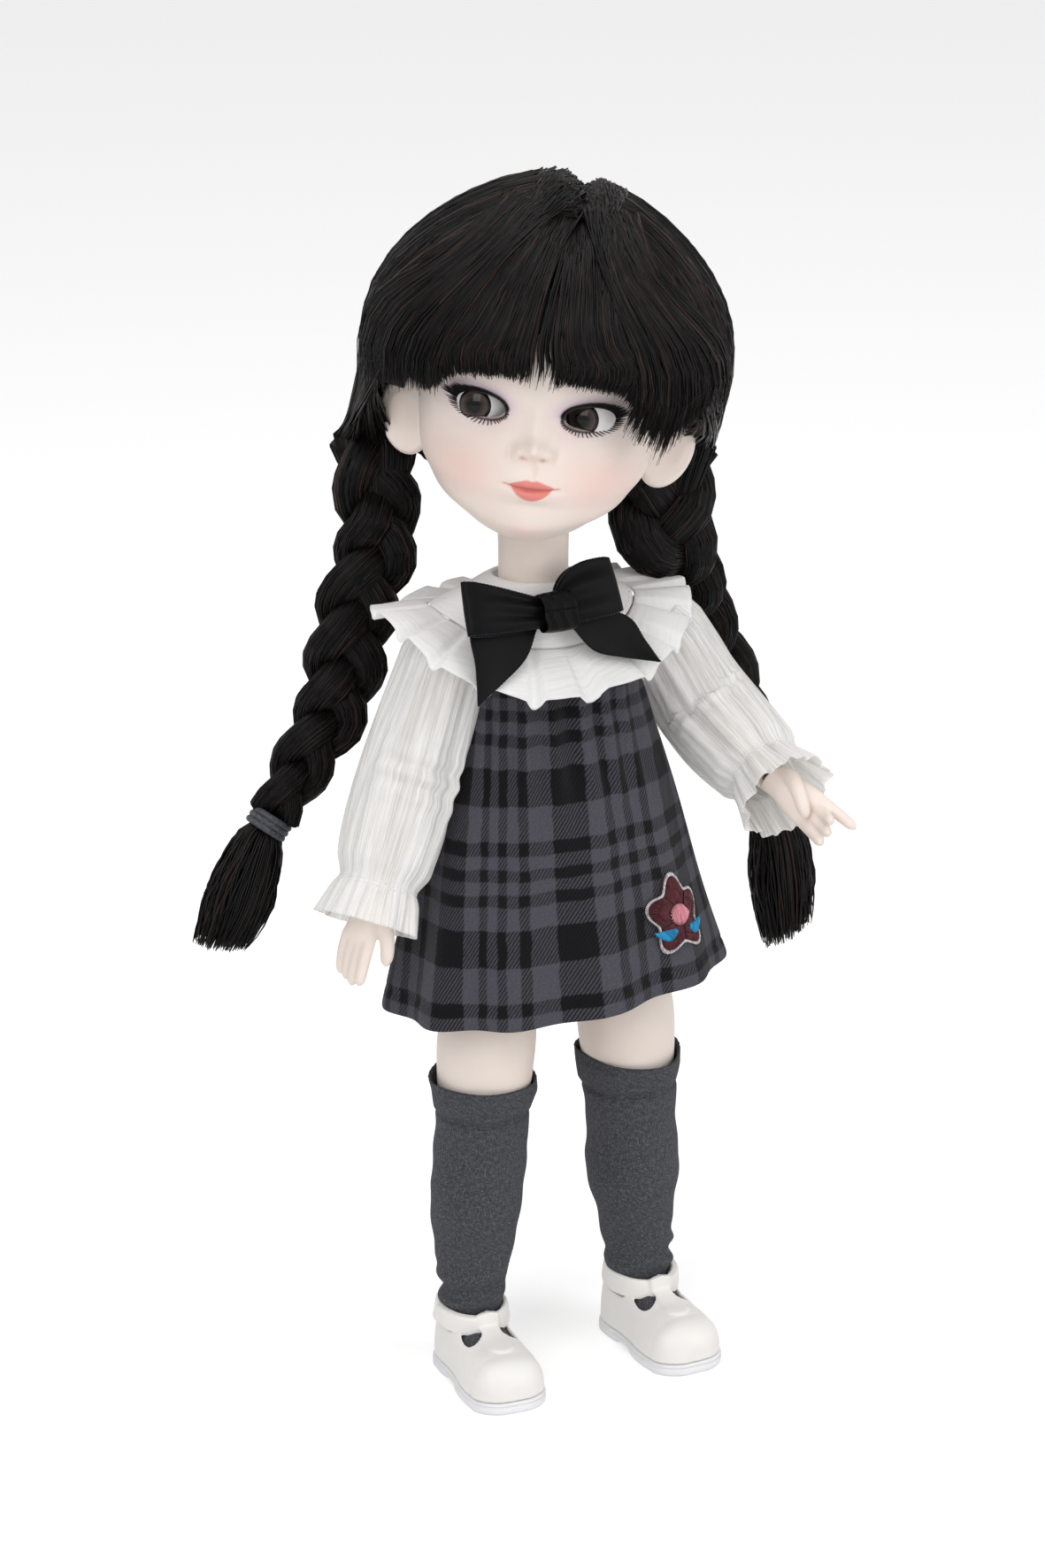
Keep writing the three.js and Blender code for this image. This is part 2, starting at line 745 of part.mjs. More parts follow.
function plaitSolid(name, spare) {
  const lobes = 7;
  const size = (t) => {
    const swell = 0.88 + 0.12 * abs(cos(lobes * PI * t));
    const gathered = 1 + (plaits[name].root - 1) * Math.min(Math.max((0.3 - t) / 0.1, 0), 1);
    const taper = gathered * (1 - (0.4 * Math.max(t - 0.6, 0)) / 0.4);
    return [braidRadius * swell * taper + spare, braidDepth * swell * sqrt(taper) + spare];
  };
  return solid(loft(ropeRings(routeOf(plaits[name].way), 21, 9, size)));
}

// Brings a solid from the doll's frame into the head's.
function intoHead(made) {
  doll.updateMatrixWorld(true);
  return made.transform(headFrame.matrixWorld.clone().invert().toArray());
}

function makePlait(name) {
  const { way, tail } = plaits[name];
  addPiece(doll, "braid_" + name, plaitSolid(name, 0), hair);
  const [end, start] = [V(...way.at(-1)), V(...tail[0])];
  const centre = end.clone().add(start).divideScalar(2);
  const along = start.clone().sub(end).normalize();
  const half = start.distanceTo(end) / 2 - gap;
  const band = (radius, reach) =>
    bar(
      radius,
      centre.clone().addScaledVector(along, -reach),
      centre.clone().addScaledVector(along, reach),
    );
  const clear = band(bandRadius * 2, half + gap);
  addPiece(doll, "hair_band_" + name, cutBy(band(bandRadius, half), plaitSolid(name, gap)), satin);
  const brush = ropeRings(routeOf(tail), 7, 10, (t) => {
    const width = 6 + 4.5 * sin(Math.min(t * 1.5, 1) * PI * 0.5) - 7.5 * Math.max(t - 0.6, 0);
    return [width, width * 0.62];
  });
  addPiece(doll, "braid_tail_" + name, cutBy(solid(loft(brush)), clear), hair);
}

// Legs: horizontal rings on a line that leans outwards, with a forked knee
const legDrift = tan(legSplay * deg);
const kneeDrop = thighLength;
const ankleDrop = thighLength + shinLength;
const legX = (side, z) => side * legDrift * -z;

function legRings(side, rows, spare, count = 12) {
  return rows.map(([z, radius, forward = 0]) =>
    ring(z, radius + spare, radius + spare, radius + spare, count, V(legX(side, z), forward, 0)),
  );
}

const thighRows = [
  [-kneeDrop - kneeRadius, kneeRadius - 0.4],
  [-kneeDrop, kneeRadius],
  [-48, 14.2],
  [-34, thighRadius],
  [-20, 13.2],
  [-12, 12.8],
  [0, 9],
];
const shinRows = [
  [-ankleDrop - 5, ankleRadius - 2.1],
  [-ankleDrop + 1, ankleRadius],
  [-ankleDrop + 11, ankleRadius + 1, 0.4],
  [-kneeDrop - shinLength * 0.46, calfRadius, 1],
  [-kneeDrop - shinLength * 0.32, calfRadius + 0.2, 0.6],
  [-kneeDrop - kneeRadius - 0.7, kneeRadius],
];

// Shoe sections from toe to heel: place along the foot, half-width, height of the arch
const shoeSections = [
  [-shoeLength + shoeHeel, 4.5, 4.5],
  [-32, 9.2, 8.6],
  [-26, 11.6, 11.8],
  [-18, 11.6, 13.3],
  [-11, 10.4, 16.5],
  [-5, 9.9, strapHeight - soleThickness],
  [3, 9.9, strapHeight - soleThickness],
  [9, 8.4, strapHeight - soleThickness - 1],
  [shoeHeel, 3.6, strapHeight - soleThickness - 3],
];

// Arched sections standing on the sole, drawn in by spare all round.
function shoeRings(spare, count = 14) {
  const foot = -ankleHeight + soleThickness + (spare > 0 ? 0.4 + spare * 0.4 : 0);
  const centre = shoeHeel - shoeLength / 2;
  return shoeSections.map(([y, width, height]) => {
    const along = centre + (y - centre) * (1 - (2 * spare) / shoeLength);
    return Array.from({ length: count }, (_, j) => {
      const a = (2 * PI * j) / count;
      const x = Math.max(width - spare, 1) * sign(cos(a)) * abs(cos(a)) ** 0.7;
      const rise = sin(a) > 0 ? Math.max(height - spare, 1) * sin(a) ** 0.8 : 0.01 * sin(a);
      return V(x, along, foot + rise);
    });
  });
}

const turnFoot = (made, side) => made.rotate([0, 0, side * toeOut]);
const shoeInside = shoeWall + 2 * gap;

function footSolid(spare) {
  return solid(loft(shoeRings(shoeInside + spare, 8).reverse()));
}

function makeLeg(name, side) {
  const hip = addGroup(doll, "hip_flex_" + name, V(pelvisX + side * hipHalfSpan, 0, hipHeight));
  const inward = V(-side, 0, 0);
  const hub = joined(
    ball(hipHub, 0, 0, 0, V(1, 1, 1), 10),
    bar(hipPeg, V(0, 0, 0), inward.clone().multiplyScalar(hipHalfSpan - 2.2), 12),
  );
  addPiece(hip, "hip_disc_" + name, hub, whitePlastic);
  const spread = addGroup(hip, "hip_spread_" + name, V(0, 0, 0));
  // Thigh: a ball top with a cup for the hub, and a slot for the shin's tongue.
  const knee = V(legX(side, -kneeDrop), 0, -kneeDrop);
  const body = joined(
    solid(loft(legRings(side, thighRows, 0))).intersect(
      joined(
        block(V(-cut, -cut, -kneeDrop), V(cut, cut, 1)),
        bar(kneeRadius, knee.clone().add(V(-cut, 0, 0)), knee.clone().add(V(cut, 0, 0)), 20),
      ),
    ),
    ball(hipBall, 0, 0, 0, V(1, 1, 1), 12),
  );
  const thigh = cutBy(
    body,
    ball(hipHub + 2 * gap, 0, 0, 0, V(1, 1, 1), 10),
    bar(hipHub - 0.2, V(0, 0, 0), inward.clone().multiplyScalar(cut)),
    block(
      V(knee.x - kneeTongue / 2 - gap, -cut, knee.z - cut),
      V(knee.x + kneeTongue / 2 + gap, cut, knee.z + kneeRadius - 0.4),
    ),
    bar(kneePin + gap, knee.clone().add(V(-cut, 0, 0)), knee.clone().add(V(cut, 0, 0)), 12),
  );
  addPiece(spread, "thigh_" + name, thigh, skin);
  const pinHalf = kneeRadius - 1.5;
  addPiece(
    spread,
    "knee_pin_" + name,
    bar(kneePin, knee.clone().add(V(-pinHalf, 0, 0)), knee.clone().add(V(pinHalf, 0, 0))),
    whitePlastic,
  );
  const bend = addGroup(spread, "knee_" + name, knee);
  const fromKnee = (made) => made.translate(knee.clone().negate().toArray());
  const ankle = V(legX(side, -ankleDrop), 0, -ankleDrop);
  const atAnkle = (made) => turnFoot(made, side).translate(ankle.toArray());
  // Shin: the calf, the foot and the tongue that fills the thigh's slot.
  const tongue = bar(
    kneeRadius - 1.2,
    knee.clone().add(V(-kneeTongue / 2, 0, 0)),
    knee.clone().add(V(kneeTongue / 2, 0, 0)),
    16,
  );
  const stem = block(
    V(knee.x - kneeTongue / 2, -kneeRadius * 0.7, knee.z - kneeRadius - 3),
    V(knee.x + kneeTongue / 2, kneeRadius * 0.7, knee.z),
  );
  const limb = joined(
    solid(loft(legRings(side, shinRows, 0))),
    atAnkle(footSolid(sockThickness + 2 * gap)),
  );
  const shin = cutBy(
    joined(limb, tongue, stem),
    bar(kneePin + gap, knee.clone().add(V(-cut, 0, 0)), knee.clone().add(V(cut, 0, 0)), 12),
  );
  addPiece(bend, "shin_" + name, fromKnee(shin), skin);
  makeSock(name, side, bend, fromKnee, atAnkle);
  makeShoe(name, side, bend, knee);
}

function makeSock(name, side, bend, fromKnee, atAnkle) {
  const top = -kneeDrop + sockTop;
  const rows = (spare) => [
    ...shinRows.slice(0, -1),
    [-kneeDrop - kneeRadius, kneeRadius + 0.3],
    [-kneeDrop, kneeRadius + 0.4],
    [top - 4, 14 + 0.1],
    [top, 14.4 + spare],
  ];
  const outer = joined(
    solid(loft(legRings(side, rows(0.7), 2 * gap + sockThickness))),
    atAnkle(footSolid(0)),
  );
  const higher = rows(0).map((row) => row.slice());
  higher[higher.length - 1][0] = top + 2;
  const inner = joined(
    solid(loft(legRings(side, higher, 2 * gap))),
    atAnkle(footSolid(sockThickness)),
  );
  addPiece(bend, "sock_" + name, fromKnee(cutBy(outer, inner)), knit);
}

function makeShoe(name, side, bend, knee) {
  const place = V(legX(side, -ankleDrop), 0, -ankleDrop).sub(knee);
  const shoe = addGroup(bend, "shoe_" + name, place);
  shoe.rotation.z = side * toeOut * deg;
  const floor = -ankleHeight;
  const low = floor + soleThickness;
  const whole = solid(loft(shoeRings(0, 12).reverse()));
  const inside = solid(loft(shoeRings(shoeWall, 8).reverse()));
  const ankleHole = ankleRadius + sockThickness + 2 * gap + 0.6;
  const opening = solid(
    loft([
      ring(low + 12, ankleHole - 0.6, ankleHole, ankleHole, 14),
      ring(low + 60, ankleHole + 6, ankleHole + 6, ankleHole + 6, 14),
    ]),
  );
  // Two D-shaped windows stand either side of the bar.
  const window = (at) => {
    const outline = new THREE.Shape();
    const near = at * (barWidth / 2);
    outline.moveTo(near, -9.6);
    outline.lineTo(near, -17.4);
    outline.quadraticCurveTo(at * 7.6, -17.8, at * 8.4, -9.6);
    const depth = { depth: 30, bevelEnabled: false, curveSegments: 4 };
    return solid(new THREE.ExtrudeGeometry(outline, depth).translate(0, 0, low + 6));
  };
  const upper = cutBy(whole, inside, opening, window(-1), window(1));
  addPiece(shoe, "shoe_upper_" + name, upper, shoeVinyl);
  const outline = (spare) =>
    shoeSections.map(([y, width]) => [y, width + spare]).filter(([, width]) => width > 0);
  const footprint = (spare, z, lift) => {
    const rows = outline(spare);
    const left = rows.map(([y, width]) => V(width, y, z + (y < -6 ? 0 : lift)));
    const right = rows.map(([y, width]) => V(-width, y, z + (y < -6 ? 0 : lift))).reverse();
    return [...left, ...right];
  };
  const sole = solid(
    loft([
      footprint(soleFlare - 0.4, floor, 0),
      footprint(soleFlare, floor + 1, 0),
      footprint(soleFlare, low - gap - 0.4, 0),
      footprint(soleFlare - 0.6, low - gap, 0),
    ]),
  );
  // The step between the heel block and the forepart.
  const step = new THREE.BoxGeometry(cut, 9, heelLift * 2).translate(0, -8.5, floor);
  addPiece(shoe, "shoe_sole_" + name, cutBy(sole, solid(step)), soleVinyl);
}

// Arms: measured by the way each stretch points from joint to joint
const armWays = {
  right: {
    upper: V(-13, 1, -31.5),
    fore: V(-15.6, -8.5, -32.7),
    hand: V(-15, -5, -27),
    thumb: V(0.45, -1, 0),
    curl: 0.16,
  },
  left: {
    upper: V(18.3, 5, -25),
    fore: V(3.1, -36, -14.4),
    hand: V(15.9, -25.6, -17),
    thumb: V(0.45, 0.1, 0.9),
    curl: 0.22,
  },
};

// A frame whose -Z runs down the limb and whose X is the hinge's axis.
function limbFrame(parent, name, position, way, axis) {
  const group = addGroup(parent, name, position);
  const up = way.clone().normalize().negate();
  const across = axis.clone().addScaledVector(up, -axis.dot(up)).normalize();
  const basis = new THREE.Matrix4().makeBasis(across, up.clone().cross(across), up);
  group.quaternion.setFromRotationMatrix(basis);
  return group;
}

const inParent = (group, point) => point.clone().applyQuaternion(group.quaternion.clone().invert());

function armRings(rows, count = 11) {
  return rows.map(([z, radius]) => ring(z, radius, radius, radius, count));
}

function makeArm(name, side) {
  const ways = armWays[name];
  const axis = ways.upper.clone().cross(ways.fore).normalize();
  const swing = addGroup(torso, "shoulder_swing_" + name, shoulderAt(side));
  const inward = V(-side, 0, 0);
  const peg = inward.clone().multiplyScalar(shoulderPegLength);
  const hub = joined(
    ball(shoulderHub, 0, 0, 0, V(1, 1, 1), 10),
    bar(shoulderPeg, V(0, 0, 0), peg, 10),
  );
  addPiece(swing, "shoulder_disc_" + name, hub, whitePlastic);
  const raise = addGroup(swing, "shoulder_raise_" + name, V(0, 0, 0));
  const upper = limbFrame(raise, "upper_arm_frame_" + name, V(0, 0, 0), ways.upper, axis);
  const length = upperArmLength;
  const across = (reach) => [V(-reach, 0, -length), V(reach, 0, -length)];
  const stem = solid(
    loft(
      armRings([
        [-length - elbowRadius, elbowRadius - 0.3],
        [-length, elbowRadius],
        [-length * 0.6, armRadius - 0.4],
        [-length * 0.3, armRadius],
        [0, armRadius - 1],
      ]),
    ),
  ).intersect(
    joined(
      block(V(-cut, -cut, -length), V(cut, cut, 1)),
      bar(elbowRadius, ...across(cut), 16),
    ),
  );
  // The slot for the hub's peg runs from the inner side to the top of the ball.
  const inverse = upper.quaternion.clone().invert();
  const slotWidth = shoulderPeg + gap;
  const slot = new THREE.BoxGeometry(cut, 2 * slotWidth, cut);
  slot.translate((-side * cut) / 2, 0, cut / 2 - slotWidth).applyQuaternion(inverse);
  const low = new THREE.BoxGeometry(cut, 2 * slotWidth, 2 * slotWidth);
  low.translate((-side * cut) / 2, 0, -0.8).applyQuaternion(inverse);
  const arm = cutBy(
    joined(stem, ball(shoulderBall, 0, 0, 0, V(1, 1, 1), 12)),
    ball(shoulderHub + 2.5 * gap, 0, 0, 0, V(1, 1, 1), 10),
    solid(slot),
    solid(low),
    block(
      V(-elbowTongue / 2 - gap, -cut, -length - cut),
      V(elbowTongue / 2 + gap, cut, -length + elbowRadius - 0.2),
    ),
    bar(elbowPin + gap, ...across(cut), 10),
  );
  addPiece(upper, "upper_arm_" + name, arm, skin);
  const pin = bar(elbowPin, ...across(elbowRadius - 0.8), 10);
  addPiece(upper, "elbow_pin_" + name, pin, whitePlastic);
  // Forearm: a tongue on the pin, and a bore for the hand's peg.
  const elbowPoint = ways.upper.clone().normalize().multiplyScalar(length);
  const bend = limbFrame(raise, "elbow_" + name, elbowPoint, ways.fore, axis);
  const reach = forearmLength;
  const forearm = cutBy(
    joined(
      solid(
        loft(
          armRings([
            [-reach, wristRadius],
            [-reach + 8, wristRadius + 0.3],
            [-reach * 0.5, 6.2],
            [-reach * 0.3, elbowRadius],
            [-elbowRadius - 0.5, elbowRadius - 0.4],
          ]),
        ),
      ),
      bar(elbowRadius - 1, V(-elbowTongue / 2, 0, 0), V(elbowTongue / 2, 0, 0), 14),
      block(
        V(-elbowTongue / 2, -elbowRadius * 0.7, -elbowRadius - 2),
        V(elbowTongue / 2, elbowRadius * 0.7, 0),
      ),
    ),
    bar(elbowPin + gap, V(-cut, 0, 0), V(cut, 0, 0), 10),
    bar(wristPeg + gap, V(0, 0, -reach - 2), V(0, 0, -reach + 7), 10),
  );
  addPiece(bend, "forearm_" + name, forearm, skin);
  const wristPoint = V(0, 0, -reach);
  const wrist = addGroup(bend, "wrist_" + name, wristPoint);
  makeHand(name, side, wrist, bend);
  makeSleeve(name, side);
}

// Hand: a flat palm with four curved fingers and a thumb, on a peg. Rows hold the way down
// from the wrist, the way across (and for the thumb towards the palm), and the thickness.
const palmRows = [
  [2.6, wristRadius - 0.4, wristRadius - 0.8],
  [7, 5.6, 3.4],
  [12, 6, 3],
  [15, 5.4, 2.3],
];
const thumbRows = [
  [4, 3, 0, 1.9],
  [7, 6, 0.8, 1.9],
  [11, 7.8, 2.4, 1.6],
  [14.6, 8.2, 4, 1],
];
const fingerRows = [
  [0, 1],
  [0.6, 0.9],
  [1, 0.4],
];
const fingerRadius = 1.5;
const fingerPitch = 2.65;

function makeHand(name, side, wrist, bend) {
  const local = inParent(bend, armWays[name].hand.clone().normalize());
  const broad = inParent(bend, armWays[name].thumb.clone().normalize());
  broad.addScaledVector(local, -broad.dot(local)).normalize();
  const flat = local.clone().cross(broad).multiplyScalar(side);
  const at = (down, across, out = 0) =>
    V(0, 0, -gap)
      .addScaledVector(local, down)
      .addScaledVector(broad, across)
      .addScaledVector(flat, out);
  const palm = palmRows.map(([down, wide, deep]) =>
    ringAcross(at(down, 0), local, wide, 9, deep, broad),
  );
  const start = palmRows.at(-1)[0] - 2;
  const finger = (i) => {
    const length = handLength * (0.5 - 0.03 * abs(i - 0.3));
    const curl = armWays[name].curl * (1 + 0.35 * i);
    const rings = fingerRows.map(([t, thick]) => {
      const across = fingerPitch * (0.5 - i) + (0.8 - 0.6 * i) * t;
      const centre = at(start + length * t, across, curl * t * t * length);
      return ringAcross(centre, local, fingerRadius * thick, 5);
    });
    return solid(loft(rings));
  };
  const thumb = thumbRows.map(([down, across, out, radius]) =>
    ringAcross(at(down, across, out), local, radius, 7),
  );
  const root = bar(wristRadius - 0.3, V(0, 0, -gap), V(0, 0, -gap - 3.5), 10);
  const peg = bar(wristPeg, V(0, 0, -gap - 1), V(0, 0, 6), 10);
  const fingers = [-1, 0, 1, 2].map(finger);
  const hand = joined(solid(loft(palm)), solid(loft(thumb)), root, peg, ...fingers);
  addPiece(wrist, "hand_" + name, hand, skin);
}

// Sleeve: a loose tube from under the collar to a gathered cuff with a frill.
function sleeveRings(name, side, spare, count = 12) {
  const ways = armWays[name];
  const fore = ways.fore.clone().normalize();
  const hinge = ways.upper.clone().cross(ways.fore).normalize();
  const shoulder = shoulderAt(side);
  const elbow = shoulder.clone().addScaledVector(ways.upper.clone().normalize(), upperArmLength);
  const gather = elbow.clone().addScaledVector(fore, forearmLength - 2);
  const start = shoulder.clone().add(V(side * 3.6, 0, -3));
  const before = elbow.clone().lerp(start, sleeveBend);
  const after = elbow.clone().lerp(gather, sleeveBend);
  const route = new THREE.CatmullRomCurve3([start, before, after, gather]);
  const rows = Array.from({ length: sleeveSteps + 1 }, (_, i) => {
    const t = i / sleeveSteps;
    const way = i < sleeveSteps ? route.getTangentAt(t) : fore;
    return [route.getPointAt(t), way, sleeveRadius + sin(PI * t)];
  });
  rows.push([gather.clone().addScaledVector(fore, 2), fore, sleeveRadius - 0.6]);
  rows.push([
    gather.clone().addScaledVector(fore, cuffLength - 1),
    fore,
    sleeveRadius + cuffFlare,
  ]);
  return rows.map(([centre, way, radius], i) => {
    const wide = radius + spare;
    const frill = i === rows.length - 1 ? cuffFrill : 0;
    return ringAcross(centre, way, wide, count, wide, hinge).map((p, j) =>
      p.addScaledVector(p.clone().sub(centre).normalize(), j % 2 ? frill : -frill),
    );
  });
}

const sleeveSolid = (name, side, spare) => solid(loft(sleeveRings(name, side, spare)));

function makeSleeve(name, side) {
  const tube = sleeveSkin(
    sleeveRings(name, side, 0),
    sleeveRings(name, side, -sleeveThickness),
  );
  addPiece(torso, "sleeve_" + name, cutBy(solid(tube), torsoSolid(3 * gap)), sheer);
}

// Dress: an A-line pinafore that hangs from the chest, its skirt in two halves
const dressMiddle = (z) => -1.2 - dressLean * z;
const dressSize = (z) => {
  const t = (dressTop - Math.min(z, dressTop)) / (dressTop - dressHem);
  return [
    dressTopHalfWidth + (hemHalfWidth - dressTopHalfWidth) * t,
    dressTopDepth + (hemDepth - dressTopDepth) * t,
    t,
  ];
};

function dressRing(z, spare, count = foldCount * foldSteps) {
  const [width, depth, t] = dressSize(z);
  const x = dressMiddle(z);
  const wide = width + spare;
  const deep = depth + spare;
  return ring(z, wide, deep, deep - 1, count, V(x, 0, 0), 2.15).map((p, j) => {
    const fold = foldDepth * t * t * sin((2 * PI * j * foldCount) / count);
    const out = V(p.x - x, p.y, 0).normalize().multiplyScalar(fold);
    return p.add(out).add(V(0, 0, (hemTilt * t * (p.x - x)) / hemHalfWidth));
  });
}

const spaced = (low, high, n) =>
  Array.from({ length: n + 1 }, (_, i) => low + ((high - low) * i) / n);

function dressWall(heights, count) {
  const outer = heights.map((z) => dressRing(z, 0, count));
  const inner = heights.map((z) => dressRing(z, -clothThickness, count));
  return solid(sleeveSkin(outer, inner));
}

function makeDress() {
  const heights = [...spaced(dressWaist, dressTop, 3), dressTop + strapRise];
  const sleeves = Object.entries(sides).map(([name, side]) => sleeveSolid(name, side, 2 * gap));
  const bodice = cutBy(dressWall(heights, foldCount * 2), ...sleeves);
  addPiece(torso, "dress_bodice", bodice, plaid);
  const skirt = dressWall(spaced(dressHem, dressWaist - gap, 4));
  const split = dressMiddle(0);
  for (const [name, side] of Object.entries(sides)) {
    const near = V(split + (side * gap) / 2, -cut * 2, -cut * 2);
    const far = V(side * cut * 3, cut * 2, cut * 2);
    const half = block(near.clone().min(far), near.clone().max(far));
    addPiece(torso, "skirt_" + name, skirt.intersect(half), plaid);
  }
  // Hook and loop tape closes the back opening.
  const low = dressWaist + 3;
  const tape = solid(loft([low, low + tapeLength].map((z) => dressRing(z, gap + tapeThickness))));
  const under = solid(
    loft([low - 1, low + tapeLength + 1].map((z) => dressRing(z, gap))),
  );
  const strip = block(V(split - tapeWidth / 2, 0, 0), V(split + tapeWidth / 2, cut * 2, cut * 3));
  addPiece(torso, "back_tape", cutBy(tape, under).intersect(strip), white);
}

// A patch of embroidery follows the skirt's left front.
function makePatch() {
  const height = (dressHem + dressWaist) / 2 + 3;
  const [width, depth] = dressSize(height);
  const across = cos(patchAngle * deg);
  const forward = sin(patchAngle * deg);
  const outline = new THREE.Shape();
  const steps = 30;
  for (let i = 0; i < steps; i++) {
    const a = (2 * PI * i) / steps;
    const radius = 0.84 + 0.16 * cos(petalCount * a);
    const point = [(patchWidth / 2) * radius * sin(a), (patchHeight / 2) * radius * cos(a)];
    if (i) outline.lineTo(...point);
    else outline.moveTo(...point);
  }
  const facing = Math.atan2(across / width, -forward / depth) / deg;
  const middleAt = [dressMiddle(height) + width * across, depth * forward, height];
  const column = plate(outline, -cut / 4, cut / 2).rotate([0, 0, facing]).translate(middleAt);
  const heights = spaced(height - patchHeight, dressWaist, 4);
  const skinAt = (spare) => solid(loft(heights.map((z) => dressRing(z, spare))));
  const layer = cutBy(skinAt(gap + foldDepth / 2 + patchThickness), skinAt(gap + foldDepth / 2));
  addPiece(torso, "embroidered_patch", layer.intersect(column), maroon);
}

// Collar: a yoke that drapes from the neck, and a pleated frill sewn to its edge
const collar = addGroup(torso, "collar", V(leanAt(neckBase) - 0.6, 0, neckBase));
collar.rotation.y = collarTilt * deg;
const seamDrop = { side: 7, front: 18, back: 6, turn: 5 }; // higher behind its left side

// A ring of the collar: t runs from the neck to the seam, spread and fall go beyond it.
function collarRing(t, spread, fall, count, lift) {
  return Array.from({ length: count }, (_, j) => {
    const a = (2 * PI * j) / count;
    const front = Math.max(-sin(a), 0) ** 1.5;
    const back = Math.max(sin(a), 0) ** 1.5;
    const behind = seamDrop.back - seamDrop.turn * cos(a);
    const drop =
      seamDrop.side + (seamDrop.front - seamDrop.side) * front + (behind - seamDrop.side) * back;
    const width = collarNeck + (yokeHalfWidth - collarNeck) * t + spread;
    const depth = collarNeck + (yokeDepth - collarNeck) * t + spread * (sin(a) < 0 ? 0.68 : 0.3);
    const height = collarRise - drop * t ** 1.15 - fall * (1 + 12 * front) + lift;
    return V(width * cos(a), depth * sin(a), height);
  });
}

function makeCollar() {
  const steps = [0, 0.45, 1];
  const outer = steps.map((t) => collarRing(t, 0, 0, 28, yokeThickness));
  const inner = steps.map((t) => collarRing(t, 0, 0, 28, 0));
  addPiece(collar, "collar_yoke", solid(sleeveSkin(inner, outer)), white);
  const frill = (u, lift) => {
    const reach = ruffleReach * (0.03 + 0.97 * u) + 2 * gap;
    return collarRing(1, reach, u, pleatCount * pleatShape.length, lift).map((p, j) =>
      p.add(V(0, 0, pleatShape[j % pleatShape.length] * pleatDepth * u)),
    );
  };
  const rows = [0, 1];
  const under = rows.map((u) => frill(u, 0));
  const over = rows.map((u) => frill(u, yokeThickness));
  collar.updateMatrixWorld(true);
  const inCollar = torso.matrixWorld.clone().invert().multiply(collar.matrixWorld).invert();
  const plaitsThere = Object.keys(sides).map((name) =>
    plaitSolid(name, 2 * gap)
      .translate(torso.position.clone().negate().toArray())
      .transform(inCollar.toArray()),
  );
  const ruffle = cutBy(solid(sleeveSkin(under, over)), ...plaitsThere);
  addPiece(collar, "collar_ruffle", ruffle, white);
}

// Bow: looped ribbon, a knot round its middle and two tails behind it
const loopEnds = { right: { way: -1, reach: 28, rise: 9.4 }, left: { way: 1, reach: 21.5, rise: 15 } };
const loopRows = [
  [0, 3, 1.6],
  [0.25, 4.6, 2.8],
  [0.65, loopHeight / 2 - 0.8, 3.4],
  [0.92, loopHeight / 2, 2.6],
  [1, loopHeight / 2 - 1, 1],
];
const knotRows = [
  [-knotWidth / 2, knotHeight / 2 - 1.6, 1],
  [-knotWidth / 3, knotHeight / 2 - 0.4, 2],
  [0, knotHeight / 2, 2.4],
  [knotWidth / 3, knotHeight / 2 - 0.4, 2],
  [knotWidth / 2, knotHeight / 2 - 1.6, 1],
];
const tailCorners = [
  [-4, 1],
  [-25.7, -0.9],
  [-28.1, -23.1],
  [-17.3, -16.9],
  [-10.3, -11.8],
  [-5.2, -4.6],
  [6.2, -4.8],
  [11.7, -12.2],
  [18.6, -14.6],
  [32.1, -18.1],
  [24.9, -4],
  [4, 1],
];

function makeBow() {
  const bow = addGroup(torso, "bow", V(bowSide, bowForward, bowHeight));
  bow.rotation.x = -bowLean * deg;
  const section = (x, y, z, high, deep) =>
    Array.from({ length: 10 }, (_, j) => {
      const a = (2 * PI * j) / 10;
      return V(x, y + deep * cos(a), z + high * sin(a));
    });
  const half = ({ way, reach, rise }, spare) =>
    loopRows.map(([t, high, deep]) =>
      section(way * reach * t, 0, reach * t * tan(rise * deg), high + spare, deep + spare),
    );
  const loops = (spare) =>
    solid(loft([...half(loopEnds.right, spare).reverse(), ...half(loopEnds.left, spare).slice(1)]));
  addPiece(bow, "bow_loops", loops(0), satin);
  const knotRings = knotRows.map(([x, high, deep]) => section(x, -knotProud, 0, high, deep));
  const knot = solid(loft(knotRings));
  addPiece(bow, "bow_knot", cutBy(knot, loops(gap)), satin);
  const outline = new THREE.Shape(tailCorners.map((corner) => new THREE.Vector2(...corner)));
  addPiece(bow, "bow_tails", cutBy(plate(outline, 2.6, 0.9), loops(gap)), satin);
}

makeTorso();
makeNeck();
makeHead();
makeWig();
for (const [name, side] of Object.entries(sides)) {
  makePlait(name);
  makeLeg(name, side);
  makeArm(name, side);
}
makeDress();
makePatch();
makeCollar();
makeBow();

// The origin stands on the floor under the middle of the whole doll.
doll.updateMatrixWorld(true);
const box = new THREE.Box3().setFromObject(doll, true);
doll.position.set(-(box.min.x + box.max.x) / 2, -(box.min.y + box.max.y) / 2, -box.min.z);

export default doll;
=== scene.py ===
# %% [markdown]
# # A gothic doll
# The doll is a jointed vinyl figure of about 37 cm: a large round head with a plaited wig, a
# white blouse with a pleated collar, a satin bow, a plaid pinafore, knitted socks and strap
# shoes. The frame holds its solids and joints. Each cell below dresses one of them, in the
# same place. Most ride on a body of the frame; the plaits, the sleeves and the socks ride on none.

import json
import math

import bmesh
import bpy
import numpy as np
from mathutils import Matrix, Vector

